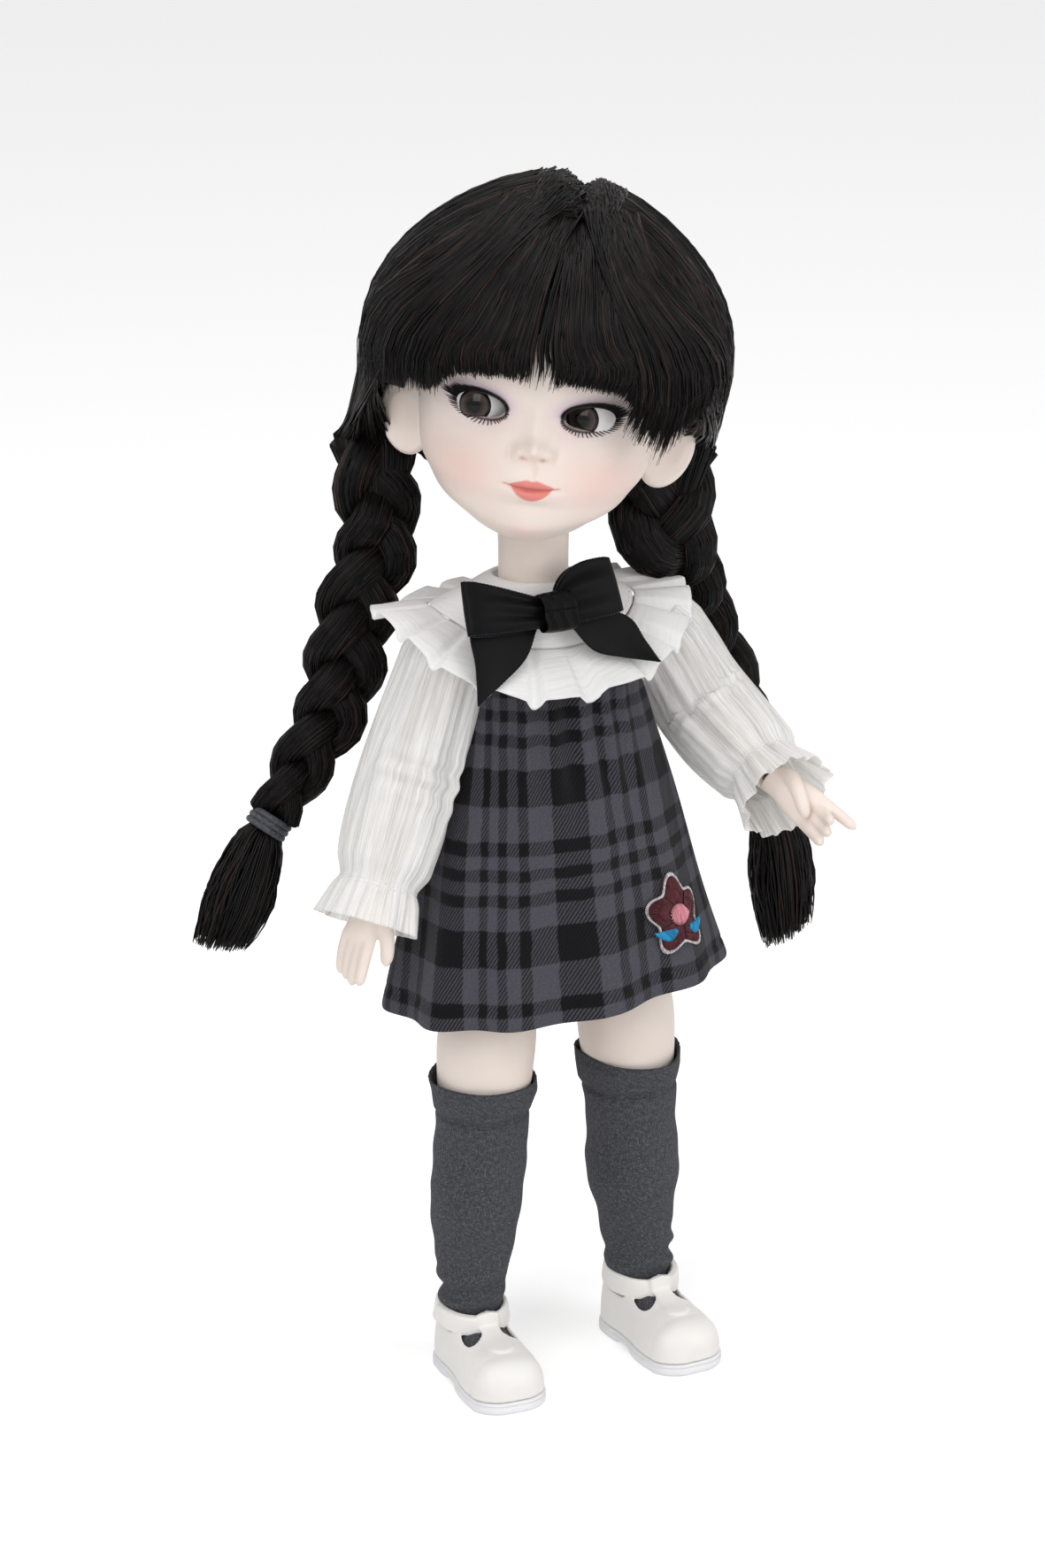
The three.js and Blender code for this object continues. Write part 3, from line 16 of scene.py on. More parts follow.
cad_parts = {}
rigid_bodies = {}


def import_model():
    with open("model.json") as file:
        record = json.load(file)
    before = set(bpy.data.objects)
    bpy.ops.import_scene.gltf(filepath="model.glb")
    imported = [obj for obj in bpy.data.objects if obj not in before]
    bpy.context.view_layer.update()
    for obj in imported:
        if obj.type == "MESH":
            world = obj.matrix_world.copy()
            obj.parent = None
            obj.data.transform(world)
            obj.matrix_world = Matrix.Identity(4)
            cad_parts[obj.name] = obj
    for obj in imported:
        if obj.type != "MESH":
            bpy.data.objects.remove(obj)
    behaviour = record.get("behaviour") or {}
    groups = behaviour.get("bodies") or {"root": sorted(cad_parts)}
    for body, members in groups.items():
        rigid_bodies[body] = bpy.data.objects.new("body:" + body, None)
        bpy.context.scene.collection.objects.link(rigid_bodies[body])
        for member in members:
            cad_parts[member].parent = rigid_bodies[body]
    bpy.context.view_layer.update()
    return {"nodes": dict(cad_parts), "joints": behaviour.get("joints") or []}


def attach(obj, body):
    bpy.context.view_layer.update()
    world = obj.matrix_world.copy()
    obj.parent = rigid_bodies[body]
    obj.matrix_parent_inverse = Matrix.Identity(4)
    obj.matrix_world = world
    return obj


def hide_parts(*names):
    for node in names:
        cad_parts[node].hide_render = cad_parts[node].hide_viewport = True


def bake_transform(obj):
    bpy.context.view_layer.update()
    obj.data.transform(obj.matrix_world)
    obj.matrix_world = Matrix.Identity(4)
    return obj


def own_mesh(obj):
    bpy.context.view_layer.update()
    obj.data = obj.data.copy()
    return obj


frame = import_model()
bpy.ops.object.select_all(action="DESELECT")

# %% [markdown]
# ## Places
# All sizes are in millimetres in the doll's own frame: the floor is at zero, it faces -Y and
# its right hand is towards -X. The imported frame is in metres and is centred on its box, so
# the right hip joint, whose place is known in both, gives the step from one to the other.

# %% Frames of the doll
HIP_HEIGHT, NECK_HEIGHT, SHOULDER_HEIGHT = 142, 99, 87  # the last two over the hips
HIP = np.array([-21.0, 0.0, HIP_HEIGHT])
hip_joint = next(j for j in frame["joints"] if j["name"] == "hip_flex_right")
SHIFT = np.array(hip_joint["pos_m"]) * 1000 - HIP


def turn(axis, degrees):
    return np.array(Matrix.Rotation(math.radians(degrees), 4, axis))


def step(x, y, z):
    return np.array(Matrix.Translation((x, y, z)))


def placed(points, matrix):
    """Points of a frame of the doll as points of the doll."""
    return np.asarray(points) @ matrix[:3, :3].T + matrix[:3, 3]


def back_into(points, matrix):
    """Points of the doll as points of one of its frames."""
    return placed(points, np.linalg.inv(matrix))


LEAN = math.tan(math.radians(4.6))  # the spine leans to the doll's right
TORSO = step(0.3, 0, HIP_HEIGHT)
NECK = TORSO @ step(-LEAN * NECK_HEIGHT, 0, NECK_HEIGHT)
HEAD = NECK @ step(0, 0, 27.3) @ turn("Z", -30.5) @ turn("Y", 7) @ step(-2, 0.8, 20)
COLLAR = TORSO @ step(-LEAN * NECK_HEIGHT - 0.6, 0, NECK_HEIGHT) @ turn("Y", 2.4)
BOW = TORSO @ step(-12.7, -22.5, 101) @ turn("X", -26)
SHOULDER = {
    side: np.array([0.3 - LEAN * SHOULDER_HEIGHT + 5.8 + side * 32, 0, 229]) for side in (-1, 1)
}
NAMES = {-1: "right", 1: "left"}
print("step to the packed frame, mm:", SHIFT.round(2))

# %% [markdown]
# ## Helpers for shapes
# Cloth, hair and the face are free forms, so they are made as skins through rings of points
# that a formula gives, the way a loft is made. Each skin carries a UV map in millimetres, so
# that a weave or a seam follows the surface at its real size.


# %% Skins, rings and curves
def unit(v):
    v = np.asarray(v, float)
    return v / np.maximum(np.linalg.norm(v, axis=-1, keepdims=True), 1e-9)


def circle(count):
    """Angles round a full turn, in equal steps."""
    return np.linspace(0, 2 * math.pi, count, endpoint=False)


def signed_power(wave, power):
    """A wave raised to a power with its sign kept, which squares or pinches a round ring."""
    return np.sign(wave) * np.abs(wave) ** power


def far_along(line):
    """How far along a line of points each point lies, from 0."""
    return np.concatenate([[0], np.cumsum(np.linalg.norm(np.diff(line, axis=0), axis=1))])


def read_at(at, knots, values):
    """Each column of values, read between its knots."""
    return np.stack([np.interp(at, knots, column) for column in values.T], -1)


def mesh_piece(name, points, faces, uvs=None):
    """A piece from points of the doll in mm. It replaces nothing and rides on nothing yet."""
    mesh = bpy.data.meshes.new(name)
    mesh.from_pydata(((np.asarray(points) + SHIFT) / 1000).tolist(), [], faces)
    if uvs is not None:
        mesh.uv_layers.new(name="UVMap").data.foreach_set("uv", np.asarray(uvs).ravel())
    mesh.shade_smooth()
    piece = bpy.data.objects.new(name, mesh)
    bpy.context.scene.collection.objects.link(piece)
    return piece


def skin(name, grid, wrap=True, caps=(False, False), uv=None):
    """A skin over rows and columns of points, closed round each row if wrap is true."""
    rows, columns = grid.shape[:2]
    i = np.arange(rows - 1)[:, None]
    j = np.arange(columns if wrap else columns - 1)[None, :]
    k = (j + 1) % columns
    low, high = i * columns, (i + 1) * columns
    quads = np.stack([low + j, low + k, high + k, high + j], -1).reshape(-1, 4)
    if uv is None:
        ring_grid = np.concatenate([grid, grid[:, :1]], 1) if wrap else grid
        across = np.linalg.norm(np.diff(ring_grid, axis=1), axis=2)
        along = np.linalg.norm(np.diff(ring_grid, axis=0), axis=2)
        u = np.concatenate([np.zeros((rows, 1)), np.cumsum(across, 1)], 1)
        v = np.concatenate([np.zeros((1, u.shape[1])), np.cumsum(along, 0)], 0)
        uv = np.stack([u, v], -1)
    wide = uv.shape[1]
    corners = np.stack(
        [i * wide + j, i * wide + j + 1, (i + 1) * wide + j + 1, (i + 1) * wide + j], -1
    )
    uvs = uv.reshape(-1, 2)[corners.reshape(-1)]
    points = grid.reshape(-1, 3)
    faces = quads.tolist()
    for end, row in ((0, 0), (1, rows - 1)):
        if caps[end]:
            points = np.vstack([points, grid[row].mean(0)])
            hub = len(points) - 1
            for a in range(columns):
                b = (a + 1) % columns
                pair = (row * columns + a, row * columns + b)
                faces.append([hub, pair[1], pair[0]] if end == 0 else [hub, *pair])
                uvs = np.vstack([uvs, uv[row, a], uv[row, a], uv[row, a]])
    return mesh_piece(name, points, faces, uvs)


def smooth_rows(table, at):
    """Columns of a table of sections at new heights, by a smooth curve through its rows."""
    table = np.asarray(table, float)
    z = table[:, 0]
    at = np.asarray(at, float)
    i = np.clip(np.searchsorted(z, at, side="right") - 1, 0, len(z) - 2)
    span = z[i + 1] - z[i]
    t = np.clip((at - z[i]) / span, 0, 1)[..., None]

    def slope(k):
        low, high = np.clip(k - 1, 0, len(z) - 1), np.clip(k + 1, 0, len(z) - 1)
        return (table[high, 1:] - table[low, 1:]) / (z[high] - z[low])[..., None]

    rise = table[i + 1, 1:] - table[i, 1:]
    hump = slope(i) * (1 - t) - slope(i + 1) * t
    return table[i, 1:] + rise * t * t * (3 - 2 * t) + span[..., None] * t * (1 - t) * hump


def curve_through(points, count):
    """A smooth curve through points, cut into equal steps."""
    p = np.asarray(points, float)
    p = np.vstack([2 * p[0] - p[1], p, 2 * p[-1] - p[-2]])
    t = np.linspace(0, 1, 40)[:, None]
    line = [p[1][None]]
    for a, b, c, d in zip(p, p[1:], p[2:], p[3:]):
        second, third = 2 * a - 5 * b + 4 * c - d, 3 * b - a - 3 * c + d
        line.append(0.5 * (2 * b + (c - a) * t + second * t**2 + third * t**3))
    line = np.vstack(line)
    far = far_along(line)
    return read_at(np.linspace(0, far[-1], count), far, line)


def ease(x):
    x = np.clip(x, 0, 1)
    return x * x * (3 - 2 * x)


def bell(x, z, wide, high):
    return np.exp(-((x / wide) ** 2) - (z / high) ** 2)


def bump_at(x, middle, wide, power=2):
    """A soft bump of 1 at the middle of x, which is gone a little beyond its width."""
    return np.exp(-(((x - middle) / wide) ** power))


def strands(name, paths, radius, taper=0.35):
    """Fine three-sided fibres of a radius in mm along paths (fibre, point, xyz)."""
    paths = np.asarray(paths, float)
    count, steps = paths.shape[:2]
    rng = np.random.default_rng(len(name) * 7 + count)
    ways = unit(np.gradient(paths, axis=1))
    spin = unit(rng.normal(size=(count, 1, 3)))
    side = unit(np.cross(ways, spin))
    other = np.cross(ways, side)
    # A fibre keeps its radius over 0.6 of its length and then tapers to its tip.
    tip = np.clip((np.linspace(0, 1, steps) - 0.6) / 0.4, 0, 1) ** 2
    radius = np.broadcast_to(radius * (1 - (1 - taper) * tip), (count, steps))[..., None]
    corners = [side * math.cos(a) + other * math.sin(a) for a in (0, 2.094, 4.189)]
    points = np.stack([paths + radius * c for c in corners], 2)
    base = (np.arange(count) * steps * 3)[:, None, None]
    i, j = np.arange(steps - 1)[None, :, None] * 3, np.arange(3)[None, None, :]
    k = (j + 1) % 3
    quads = np.stack([base + i + j, base + i + k, base + i + 3 + k, base + i + 3 + j], -1)
    first = (np.arange(count) * steps * 3)[:, None]
    ends = [first + np.array([[2, 1, 0]]), first + (steps - 1) * 3 + np.array([[0, 1, 2]])]
    faces = quads.reshape(-1, 4).tolist() + np.vstack(ends).tolist()
    piece = mesh_piece(name, points.reshape(-1, 3), faces)
    tone = piece.data.attributes.new("tone", "FLOAT", "POINT")
    values = np.repeat(rng.uniform(0, 1, count), steps * 3)
    tone.data.foreach_set("value", values.astype(np.float32))
    return piece


def chosen(*pieces):
    bpy.ops.object.select_all(action="DESELECT")
    for piece in pieces:
        piece.select_set(True)
    bpy.context.view_layer.objects.active = pieces[0]
    return pieces[0]


def modified(piece, kind, **settings):
    """Adds a modifier to a piece and applies it."""
    chosen(piece)
    modifier = piece.modifiers.new(kind.title(), kind)
    for key, value in settings.items():
        setattr(modifier, key, value)
    bpy.ops.object.modifier_apply(modifier=modifier.name)
    return piece


def in_edit_mode(piece, operator, **settings):
    """Runs an operator on the whole of a piece's mesh."""
    chosen(piece)
    bpy.ops.object.mode_set(mode="EDIT")
    bpy.ops.mesh.select_all(action="SELECT")
    operator(**settings)
    bpy.ops.object.mode_set(mode="OBJECT")


def cloth(name, grid, thick, offset=0.0, **how):
    """A skin with a thickness in mm, half of it on each side unless the offset says."""
    return modified(skin(name, grid, **how), "SOLIDIFY", thickness=thick / 1000, offset=offset)


def crisp(piece, degrees=50):
    """Shades a piece smooth up to an angle, so that its folds and rims stay sharp."""
    chosen(piece)
    bpy.ops.object.shade_smooth_by_angle(angle=math.radians(degrees))


def moulded(piece, voxel, rounds, factor=0.5):
    """Merges the parts of a piece into one body by voxels in mm, and rounds its edges."""
    modified(piece, "REMESH", mode="VOXEL", voxel_size=voxel / 1000)
    modified(piece, "SMOOTH", factor=factor, iterations=rounds)
    piece.data.shade_smooth()


def joined(name, *pieces):
    chosen(*pieces)
    if len(pieces) > 1:
        bpy.ops.object.join()
    pieces[0].name = name
    pieces[0].data.name = name
    return pieces[0]


def settle(piece):
    """Puts a piece's place into its mesh, so that its object stands at the origin."""
    chosen(piece)
    bpy.ops.object.transform_apply(location=True, rotation=True, scale=True)
    return piece


def at_mm(point):
    """A point of the doll in mm as a place for an operator, in metres."""
    return tuple((np.asarray(point, float) + SHIFT) / 1000)


def points_of(piece):
    """The points of a piece's mesh, as points of the doll in mm."""
    co = np.empty(len(piece.data.vertices) * 3)
    piece.data.vertices.foreach_get("co", co)
    return co.reshape(-1, 3) * 1000 - SHIFT


def move_points(piece, points):
    """Moves the points of a piece's mesh to points of the doll in mm."""
    piece.data.vertices.foreach_set("co", ((points + SHIFT) / 1000).ravel())
    piece.data.update()


def paint(piece, material):
    piece.data.materials.clear()
    piece.data.materials.append(material)


def dress(piece, body, material, slot, *nodes):
    """Finishes a piece: what it rides on, its material, and the nodes it stands for; slot is not
    used.
    """
    paint(piece, material)
    if body:
        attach(piece, body)
    if nodes:
        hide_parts(*nodes)
    count = sum(len(p.vertices) - 2 for p in piece.data.polygons)
    print(f"{piece.name}: {count} triangles on {body or 'two bodies'}")
    return piece


# %% [markdown]
# ## Helpers for materials
# Each finish starts from what the real one is. Colours are written as on a screen and turned
# to linear light by one function, and one function adds a node with its settings and links.


# %% Nodes
def colour(hexa):
    part = [int(hexa[i : i + 2], 16) / 255 for i in (1, 3, 5)]
    return [*(c / 12.92 if c <= 0.04045 else ((c + 0.055) / 1.055) ** 2.4 for c in part), 1]


def add(tree, kind, inputs=None, out=0, to=None, **settings):
    """Adds a node with its settings and links, also one onwards, and returns an output."""
    node = tree.nodes.new(kind)
    for key, value in settings.items():
        setattr(node, key, value)
    for key, value in (inputs or {}).items():
        if isinstance(value, bpy.types.NodeSocket):
            tree.links.new(value, node.inputs[key])
        else:
            node.inputs[key].default_value = colour(value) if isinstance(value, str) else value
    if to is not None:
        tree.links.new(node.outputs[out], to)
    return node.outputs[out]


RGBA = {"out": 2, "data_type": "RGBA"}  # a Mix node's settings for colours


def finish(name, hexa, roughness, **sockets):
    """A material with its own shader; returns it, its node tree and the shader's inputs."""
    material = bpy.data.materials.new(name)
    material.use_nodes = True
    shader = material.node_tree.nodes["Principled BSDF"]
    shader.inputs["Base Color"].default_value = colour(hexa)
    shader.inputs["Roughness"].default_value = roughness
    for key, value in sockets.items():
        shader.inputs[key.replace("_", " ")].default_value = value
    print("material:", name)
    return material, material.node_tree, shader.inputs


# %% [markdown]
# ## Vinyl skin
# The body is rotocast or injected vinyl (PVC, IOR about 1.53): smooth, slightly waxy, with a
# matt spray coat, so light spreads a little under the surface and highlights are broad.

# %% Skin material
vinyl, tree, inputs = finish(
    "matt_vinyl",
    "#EFE2D9",
    0.5,
    IOR=1.53,
    Subsurface_Weight=0.08,
    Subsurface_Radius=(1.0, 0.5, 0.35),
    Subsurface_Scale=0.0015,
)
# A faint mottling, about 8 mm across, and the fine tooth of the matt coat, drawn at 0.5 mm.
place = add(tree, "ShaderNodeTexCoord", out=3)
cloud = add(tree, "ShaderNodeTexNoise", {"Vector": place, "Scale": 120, "Detail": 2})
add(tree, "ShaderNodeMix", {0: cloud, 6: "#F1E5DC", 7: "#ECDDD3"}, to=inputs["Base Color"], **RGBA)
tooth = add(tree, "ShaderNodeTexNoise", {"Vector": place, "Scale": 2000, "Detail": 1})
add(
    tree, "ShaderNodeBump", {"Height": tooth, "Distance": 0.00002, "Strength": 0.5},
    to=inputs["Normal"],
)

# %% [markdown]
# ## Head shell
# The head is one hollow vinyl casting with open eye holes. Its surface is a pile of egg-shaped
# sections, and the nose, lips, chin, cheeks and eye hollows stand out of it as soft bumps. The
# mesh is a grid whose columns crowd at the face, so that the painted lips, the blush and the
# lid rims stay crisp. The grid is opened at the eyes, the edge of each hole is drawn onto the
# almond outline, and then it turns inwards as the lid's thickness.

# %% Shape of the head
HEAD_ROWS = [
    [-19, 20, 27, 18],
    [-15, 26, 33, 22],
    [-10, 29.5, 35, 27],
    [-5, 32.5, 36, 32],
    [3, 34, 36, 36],
    [15, 35.5, 35.5, 40],
    [30, 36, 38, 41],
    [42, 33, 36, 38],
    [52, 27, 29, 30],
    [60, 17, 18, 18],
    [64, 7, 7, 7],
]
EYE_X, EYE_Z, EYE_RADIUS = 15.3, 15.0, 9.2
NECK_SEAT = np.array([2.0, -0.8])  # the neck's axis in the head's frame
NOSE, MOUTH = np.array([1.2, 6.4]), np.array([1.7, -5.2])  # places in the face's plane


def face_rise(x, z):
    nx, nz = x - NOSE[0], z - NOSE[1]
    rise = 4.8 * bell(nx, nz, 3.1, 2.9) + 1.6 * bell(nx, nz - 6.2, 3.2, 7)
    mx, mz = x - MOUTH[0], z - MOUTH[1]
    rise += 1.8 * bell(mx, mz, 11, 7) + 1.1 * bell(mx, mz - 1.8, 5, 1.8)
    rise += 1.2 * bell(mx, mz + 2.2, 4.6, 2) - 0.7 * bell(mx, mz, 7, 0.9)
    rise += 1.5 * bell(x, z + 19, 7, 5)
    for side in (-1, 1):
        rise += 1.9 * bell(nx - side * 4.5, nz + 1.3, 1.9, 2.0)
        rise += 1.2 * bell(x - side * 18, z + 4, 9, 8)
        rise -= 1.5 * bell(x - side * EYE_X, z - EYE_Z, 9, 6)
    return rise


def fine_rise(x, z):
    """The small forms that only the finished head has."""
    nx, nz, mx, mz = x - NOSE[0], z - NOSE[1], x - MOUTH[0], z - MOUTH[1]
    rise = -0.9 * bell(mx, mz - 5.2, 1.0, 2.0)  # the groove under the nose
    for side in (-1, 1):
        rise -= 1.2 * bell(nx - side * 2.8, nz + 3.0, 1.2, 0.8)  # nostrils
        rise -= 1.0 * bell(nx - side * 6.9, nz + 1.6, 1.1, 2.4)  # behind the wings
        rise -= 0.4 * bell(mx - side * 7.4, mz, 1.2, 1.0)  # corners of the mouth
    rise -= 0.6 * bell(mx, mz, 5.8, 0.5)  # the line between the lips
    rise -= 0.8 * bell(mx, mz + 5.4, 6, 1.6)  # above the chin
    return rise


def head_point(a, z):
    """A point of the head at an angle round it and a height; the chin's front hangs lower."""
    width, front, back = np.moveaxis(smooth_rows(HEAD_ROWS, z), -1, 0)
    x = width * np.cos(a)
    forward = np.maximum(-np.sin(a), 0) ** 3
    y = np.where(np.sin(a) < 0, front, back) * np.sin(a)
    low = z - 3.4 * bump_at(z, -19, 6) * forward
    rise = face_rise(x, low) + fine_rise(x, low)
    y = y - np.where(np.sin(a) < 0, rise * forward, 0)
    return np.stack([x, y, low], -1)


def on_face(x, z, out=0.0):
    """A point of the face's surface at x and z in the head's frame."""
    x, z = np.asarray(x, float), np.asarray(z, float)
    row = z.copy()
    for _ in range(12):
        width, front, _ = np.moveaxis(smooth_rows(HEAD_ROWS, row), -1, 0)
        sine = -np.sqrt(np.clip(1 - (x / width) ** 2, 0, 1))
        row = z + 3.4 * bump_at(row, -19, 6) * np.abs(sine) ** 3
    forward = np.abs(sine) ** 3
    y = front * sine - (face_rise(x, z) + fine_rise(x, z)) * forward
    return np.stack([x, y - out, z], -1)


def almond(side, t, spare=0.0):
    """The eye opening's outline: t runs from the inner corner over the top and back below."""
    half, rise = 7.3 + spare, 4.15 + spare
    x = -half * np.cos(t)  # inner corner to outer corner
    upper = np.sin(t) > 0
    lid = np.abs(np.sin(t))
    z = np.where(upper, rise * lid**0.92 * (1.0 + 0.06 * np.cos(t)), -rise * 0.86 * lid**1.05)
    z = z + 0.7 * (x + half) / (2 * half)
    return np.stack([side * EYE_X + side * x, EYE_Z + z], -1)


# %% Grid of the head with its eye holes
columns = 300
even = circle(columns) - math.pi / 2
angles = even - 0.62 * np.sin(even + math.pi / 2)
seam = 33 - 0.404 * 38 * np.sin(angles)  # the lift-off cap's slanting seam
spread = np.concatenate([np.linspace(0, 0.1, 14)[:-1], np.linspace(0.1, 0.66, 116)[:-1]])
spread = np.concatenate([spread, np.linspace(0.66, 1, 30)])
heights = -19 + spread[:, None] * (seam + 19)[None, :]
shell = head_point(angles[None, :], heights)
# Under the jaw the surface rounds in to the neck's hole, whose rim turns up inside.
rim = shell[0]
under = []
for t in np.linspace(0, 1, 16)[1:]:
    centre = np.array([*NECK_SEAT, -19.0])
    hole = centre + np.stack([12.3 * np.cos(angles), 12.3 * np.sin(angles), 0 * angles], -1)
    ring = rim * (1 - t) + hole * t
    ring[:, 2] = rim[:, 2] * (1 - t) + -19.4 * t - 1.6 * math.sin(math.pi * t**0.7)
    under.append(ring)
inward = [under[-1] + np.array([0, 0, rise]) for rise in (1.0, 4.0, 7.5)]
shell = np.concatenate([np.array(under + inward)[::-1], shell])
print("head grid:", shell.shape)


def eye_hole(points, side, faces):
    """Opens one eye hole: drops the faces inside the almond and draws its edge onto it."""
    dense = almond(side, circle(720))
    centre = np.array([side * EYE_X, EYE_Z + 0.3])
    to = points[:, [0, 2]] - centre
    around = np.arctan2(dense[:, 1] - centre[1], dense[:, 0] - centre[0])
    order = np.argsort(around)
    reach = np.linalg.norm(dense - centre, axis=1)[order]
    turned = np.arctan2(to[:, 1], to[:, 0])
    edge = np.interp(turned, around[order], reach, period=2 * math.pi)
    near = points[:, 1] < 0
    inside = near & (np.linalg.norm(to, axis=1) < edge)
    kept = ~inside[faces].all(1)
    border = np.unique(faces[kept][inside[faces[kept]]])
    flat = centre + unit(to[border]) * edge[border][:, None]
    points[border] = on_face(flat[:, 0], flat[:, 1])
    return faces[kept], border


rows, points = shell.shape[0], shell.reshape(-1, 3).copy()
i, j = np.arange(rows - 1)[:, None] * columns, np.arange(columns)[None, :]
k = (j + 1) % columns
faces = np.stack([i + j, i + k, i + columns + k, i + columns + j], -1).reshape(-1, 4)
lids = []
for side in (-1, 1):
    faces, border = eye_hole(points, side, faces)
    lids.append(border)
head_piece = mesh_piece("head_vinyl", placed(points, HEAD), faces.tolist())

# %% Turn the edges of the holes inwards as lids
eye_middles = {}
for side in (-1, 1):
    y = on_face(EYE_X, EYE_Z)[1]
    eye_middles[side] = np.array([side * EYE_X, y + EYE_RADIUS + 0.15, EYE_Z])
chosen(head_piece)
mesh = bmesh.new()
mesh.from_mesh(head_piece.data)
mesh.verts.ensure_lookup_table()
for side, border in zip((-1, 1), lids):
    names = set(border.tolist())
    loop = [
        e
        for e in mesh.edges
        if len(e.link_faces) == 1 and e.verts[0].index in names and e.verts[1].index in names
    ]
    for inset, deep in ((0.22, 0.18), (0.25, 0.7), (0.1, 1.6)):
        grown = bmesh.ops.extrude_edge_only(mesh, edges=loop)["geom"]
        moved = [g for g in grown if isinstance(g, bmesh.types.BMVert)]
        centre = Vector(at_mm(placed(eye_middles[side], HEAD)))
        into = (centre - Vector(at_mm(placed(eye_middles[side] + [0, -9, 0], HEAD)))).normalized()
        for v in moved:
            to = centre - v.co
            to -= into * to.dot(into)
            v.co += to.normalized() * inset / 1000 + into * deep / 1000
        loop = [g for g in grown if isinstance(g, bmesh.types.BMEdge)]
mesh.to_mesh(head_piece.data)
mesh.free()
print("head:", len(head_piece.data.polygons), "faces")

# %% [markdown]
# ### Ears
# Each ear is a flattened egg with a rolled rim and a hollow, pressed into the side of the head.


# %% Ears
def ear(side):
    around = circle(48)
    rows = []
    for lat in np.linspace(-math.pi / 2, math.pi / 2, 30)[1:-1]:
        x, z = np.cos(lat) * np.cos(around), np.sin(lat) + 0 * around
        y = np.cos(lat) * np.sin(around)
        reach = np.sqrt(x**2 + z**2)
        front = ease(-y * 2.2 + 0.3)
        rim = bump_at(reach, 0.86, 0.13)
        bowl = bell(x * 1.1, z + 0.05, 0.55, 0.52)
        ridge = bump_at(reach, 0.58, 0.1) * (z > -0.35)
        deep = 3.4 * y - front * (0.7 * rim + 0.4 * ridge - 2.4 * bowl)
        rows.append(np.stack([side * 8.0 * x, deep, 12.0 * z + 0.8 * x * (z < 0)], -1))
    grid = np.array(rows)
    if side < 0:
        grid = grid[:, ::-1]
    matrix = HEAD @ step(side * 38.0, 4, 1.5) @ turn("Z", side * 14) @ turn("Y", side * 10)
    return skin("ear", placed(grid, matrix), caps=(True, True))


head_piece = joined("head_vinyl", head_piece, ear(-1), ear(1))
print("ears joined")

# %% [markdown]
# ### Painted face
# The lips, the blush and the eye shadow are sprayed through masks, so they have soft edges.
# Each is a value on the mesh's points, from the distance to its shape in the face's plane.

# %% Masks for the paint
x, y, z = back_into(points_of(head_piece), HEAD).T
front = (y < -12) & (np.abs(x) < 34)


def lip_edges(x):
    """Upper edge and lower edge of the mouth at x."""
    far = np.abs(x - MOUTH[0])
    middle = MOUTH[1] + 0.012 * far**2
    opening = np.clip(1 - far / 8.6, 0, 1)
    arch = np.clip(1 - far / 6.4, 0, 1) ** 0.7
    full = np.clip(1 - (far / 5.8) ** 2, 0, 1) ** 0.75
    upper = middle + 2.7 * arch * (1 - 0.3 * bump_at(far, 0, 1.1)) + 0.7 * opening + 0.12
    return upper, middle - 3.0 * full - 0.3 * opening - 0.1


upper, lower = lip_edges(x)
within = np.minimum(upper - z, z - lower)
lips = ease(within / 0.45 + 0.35) * ease((8.7 - np.abs(x - MOUTH[0])) / 1.2) * front
between = MOUTH[1] - 0.05 + 0.012 * (x - MOUTH[0]) ** 2
shade = bump_at(z, between, 0.36) * lips
blush = 0.75 * bell(x - 21, z + 3.5, 11, 8.5) + 0.75 * bell(x + 19, z + 3.5, 11, 8.5)
blush += 0.6 * bell(x - 1, z + 19.5, 5, 2.8) + 0.2 * bell(x - 1, z - 3.6, 5, 2)
blush += 0.3 * bell(x - 9.5, z - 13, 3, 5) + 0.3 * bell(x + 9.5, z - 13, 3, 5)
blush = np.clip(blush, 0, 1) * front
# Painted shade: the nostril hollows are tinted darker, where the holes would fall dark.
nostril = sum(bell(x - NOSE[0] - way * 2.8, z - NOSE[1] + 3.1, 1.0, 0.55) for way in (-1, 1))
lilac = np.zeros_like(x)
line = np.zeros_like(x)
for side in (-1, 1):
    outline = almond(side, circle(180))
    near = front & (np.abs(x - side * EYE_X) < 14) & (np.abs(z - EYE_Z) < 13)
    gap = np.full_like(x, 99.0)
    flat = np.stack([x, z], 1)[near]
    gap[near] = np.linalg.norm(flat[:, None] - outline[None], axis=2).min(1)
    above = ease((z - EYE_Z + 1.0) / 2.5)
    lilac += bump_at(gap, 0, 3.4) * (0.35 + 0.65 * above)
    # The liner is thick over the upper lid and drawn out at the outer corner.
    out = side * (x - side * EYE_X)
    thick = 0.3 + 1.25 * above * (0.8 + 0.5 * np.clip(out / 7, -0.5, 1))
    line = np.maximum(line, 1 - ease((gap - thick) / 0.35 + 0.5))
for name, values in (
    ("lips", lips),
    ("lip_shade", shade),
    ("blush", blush),
    ("nostril", nostril * front),
    ("lilac", np.clip(lilac, 0, 1)),
    ("liner", line),
):
    mask = head_piece.data.attributes.new(name, "FLOAT", "POINT")
    mask.data.foreach_set("value", values.astype(np.float32))
print("painted points:", int((lips > 0.5).sum()), "on the lips")

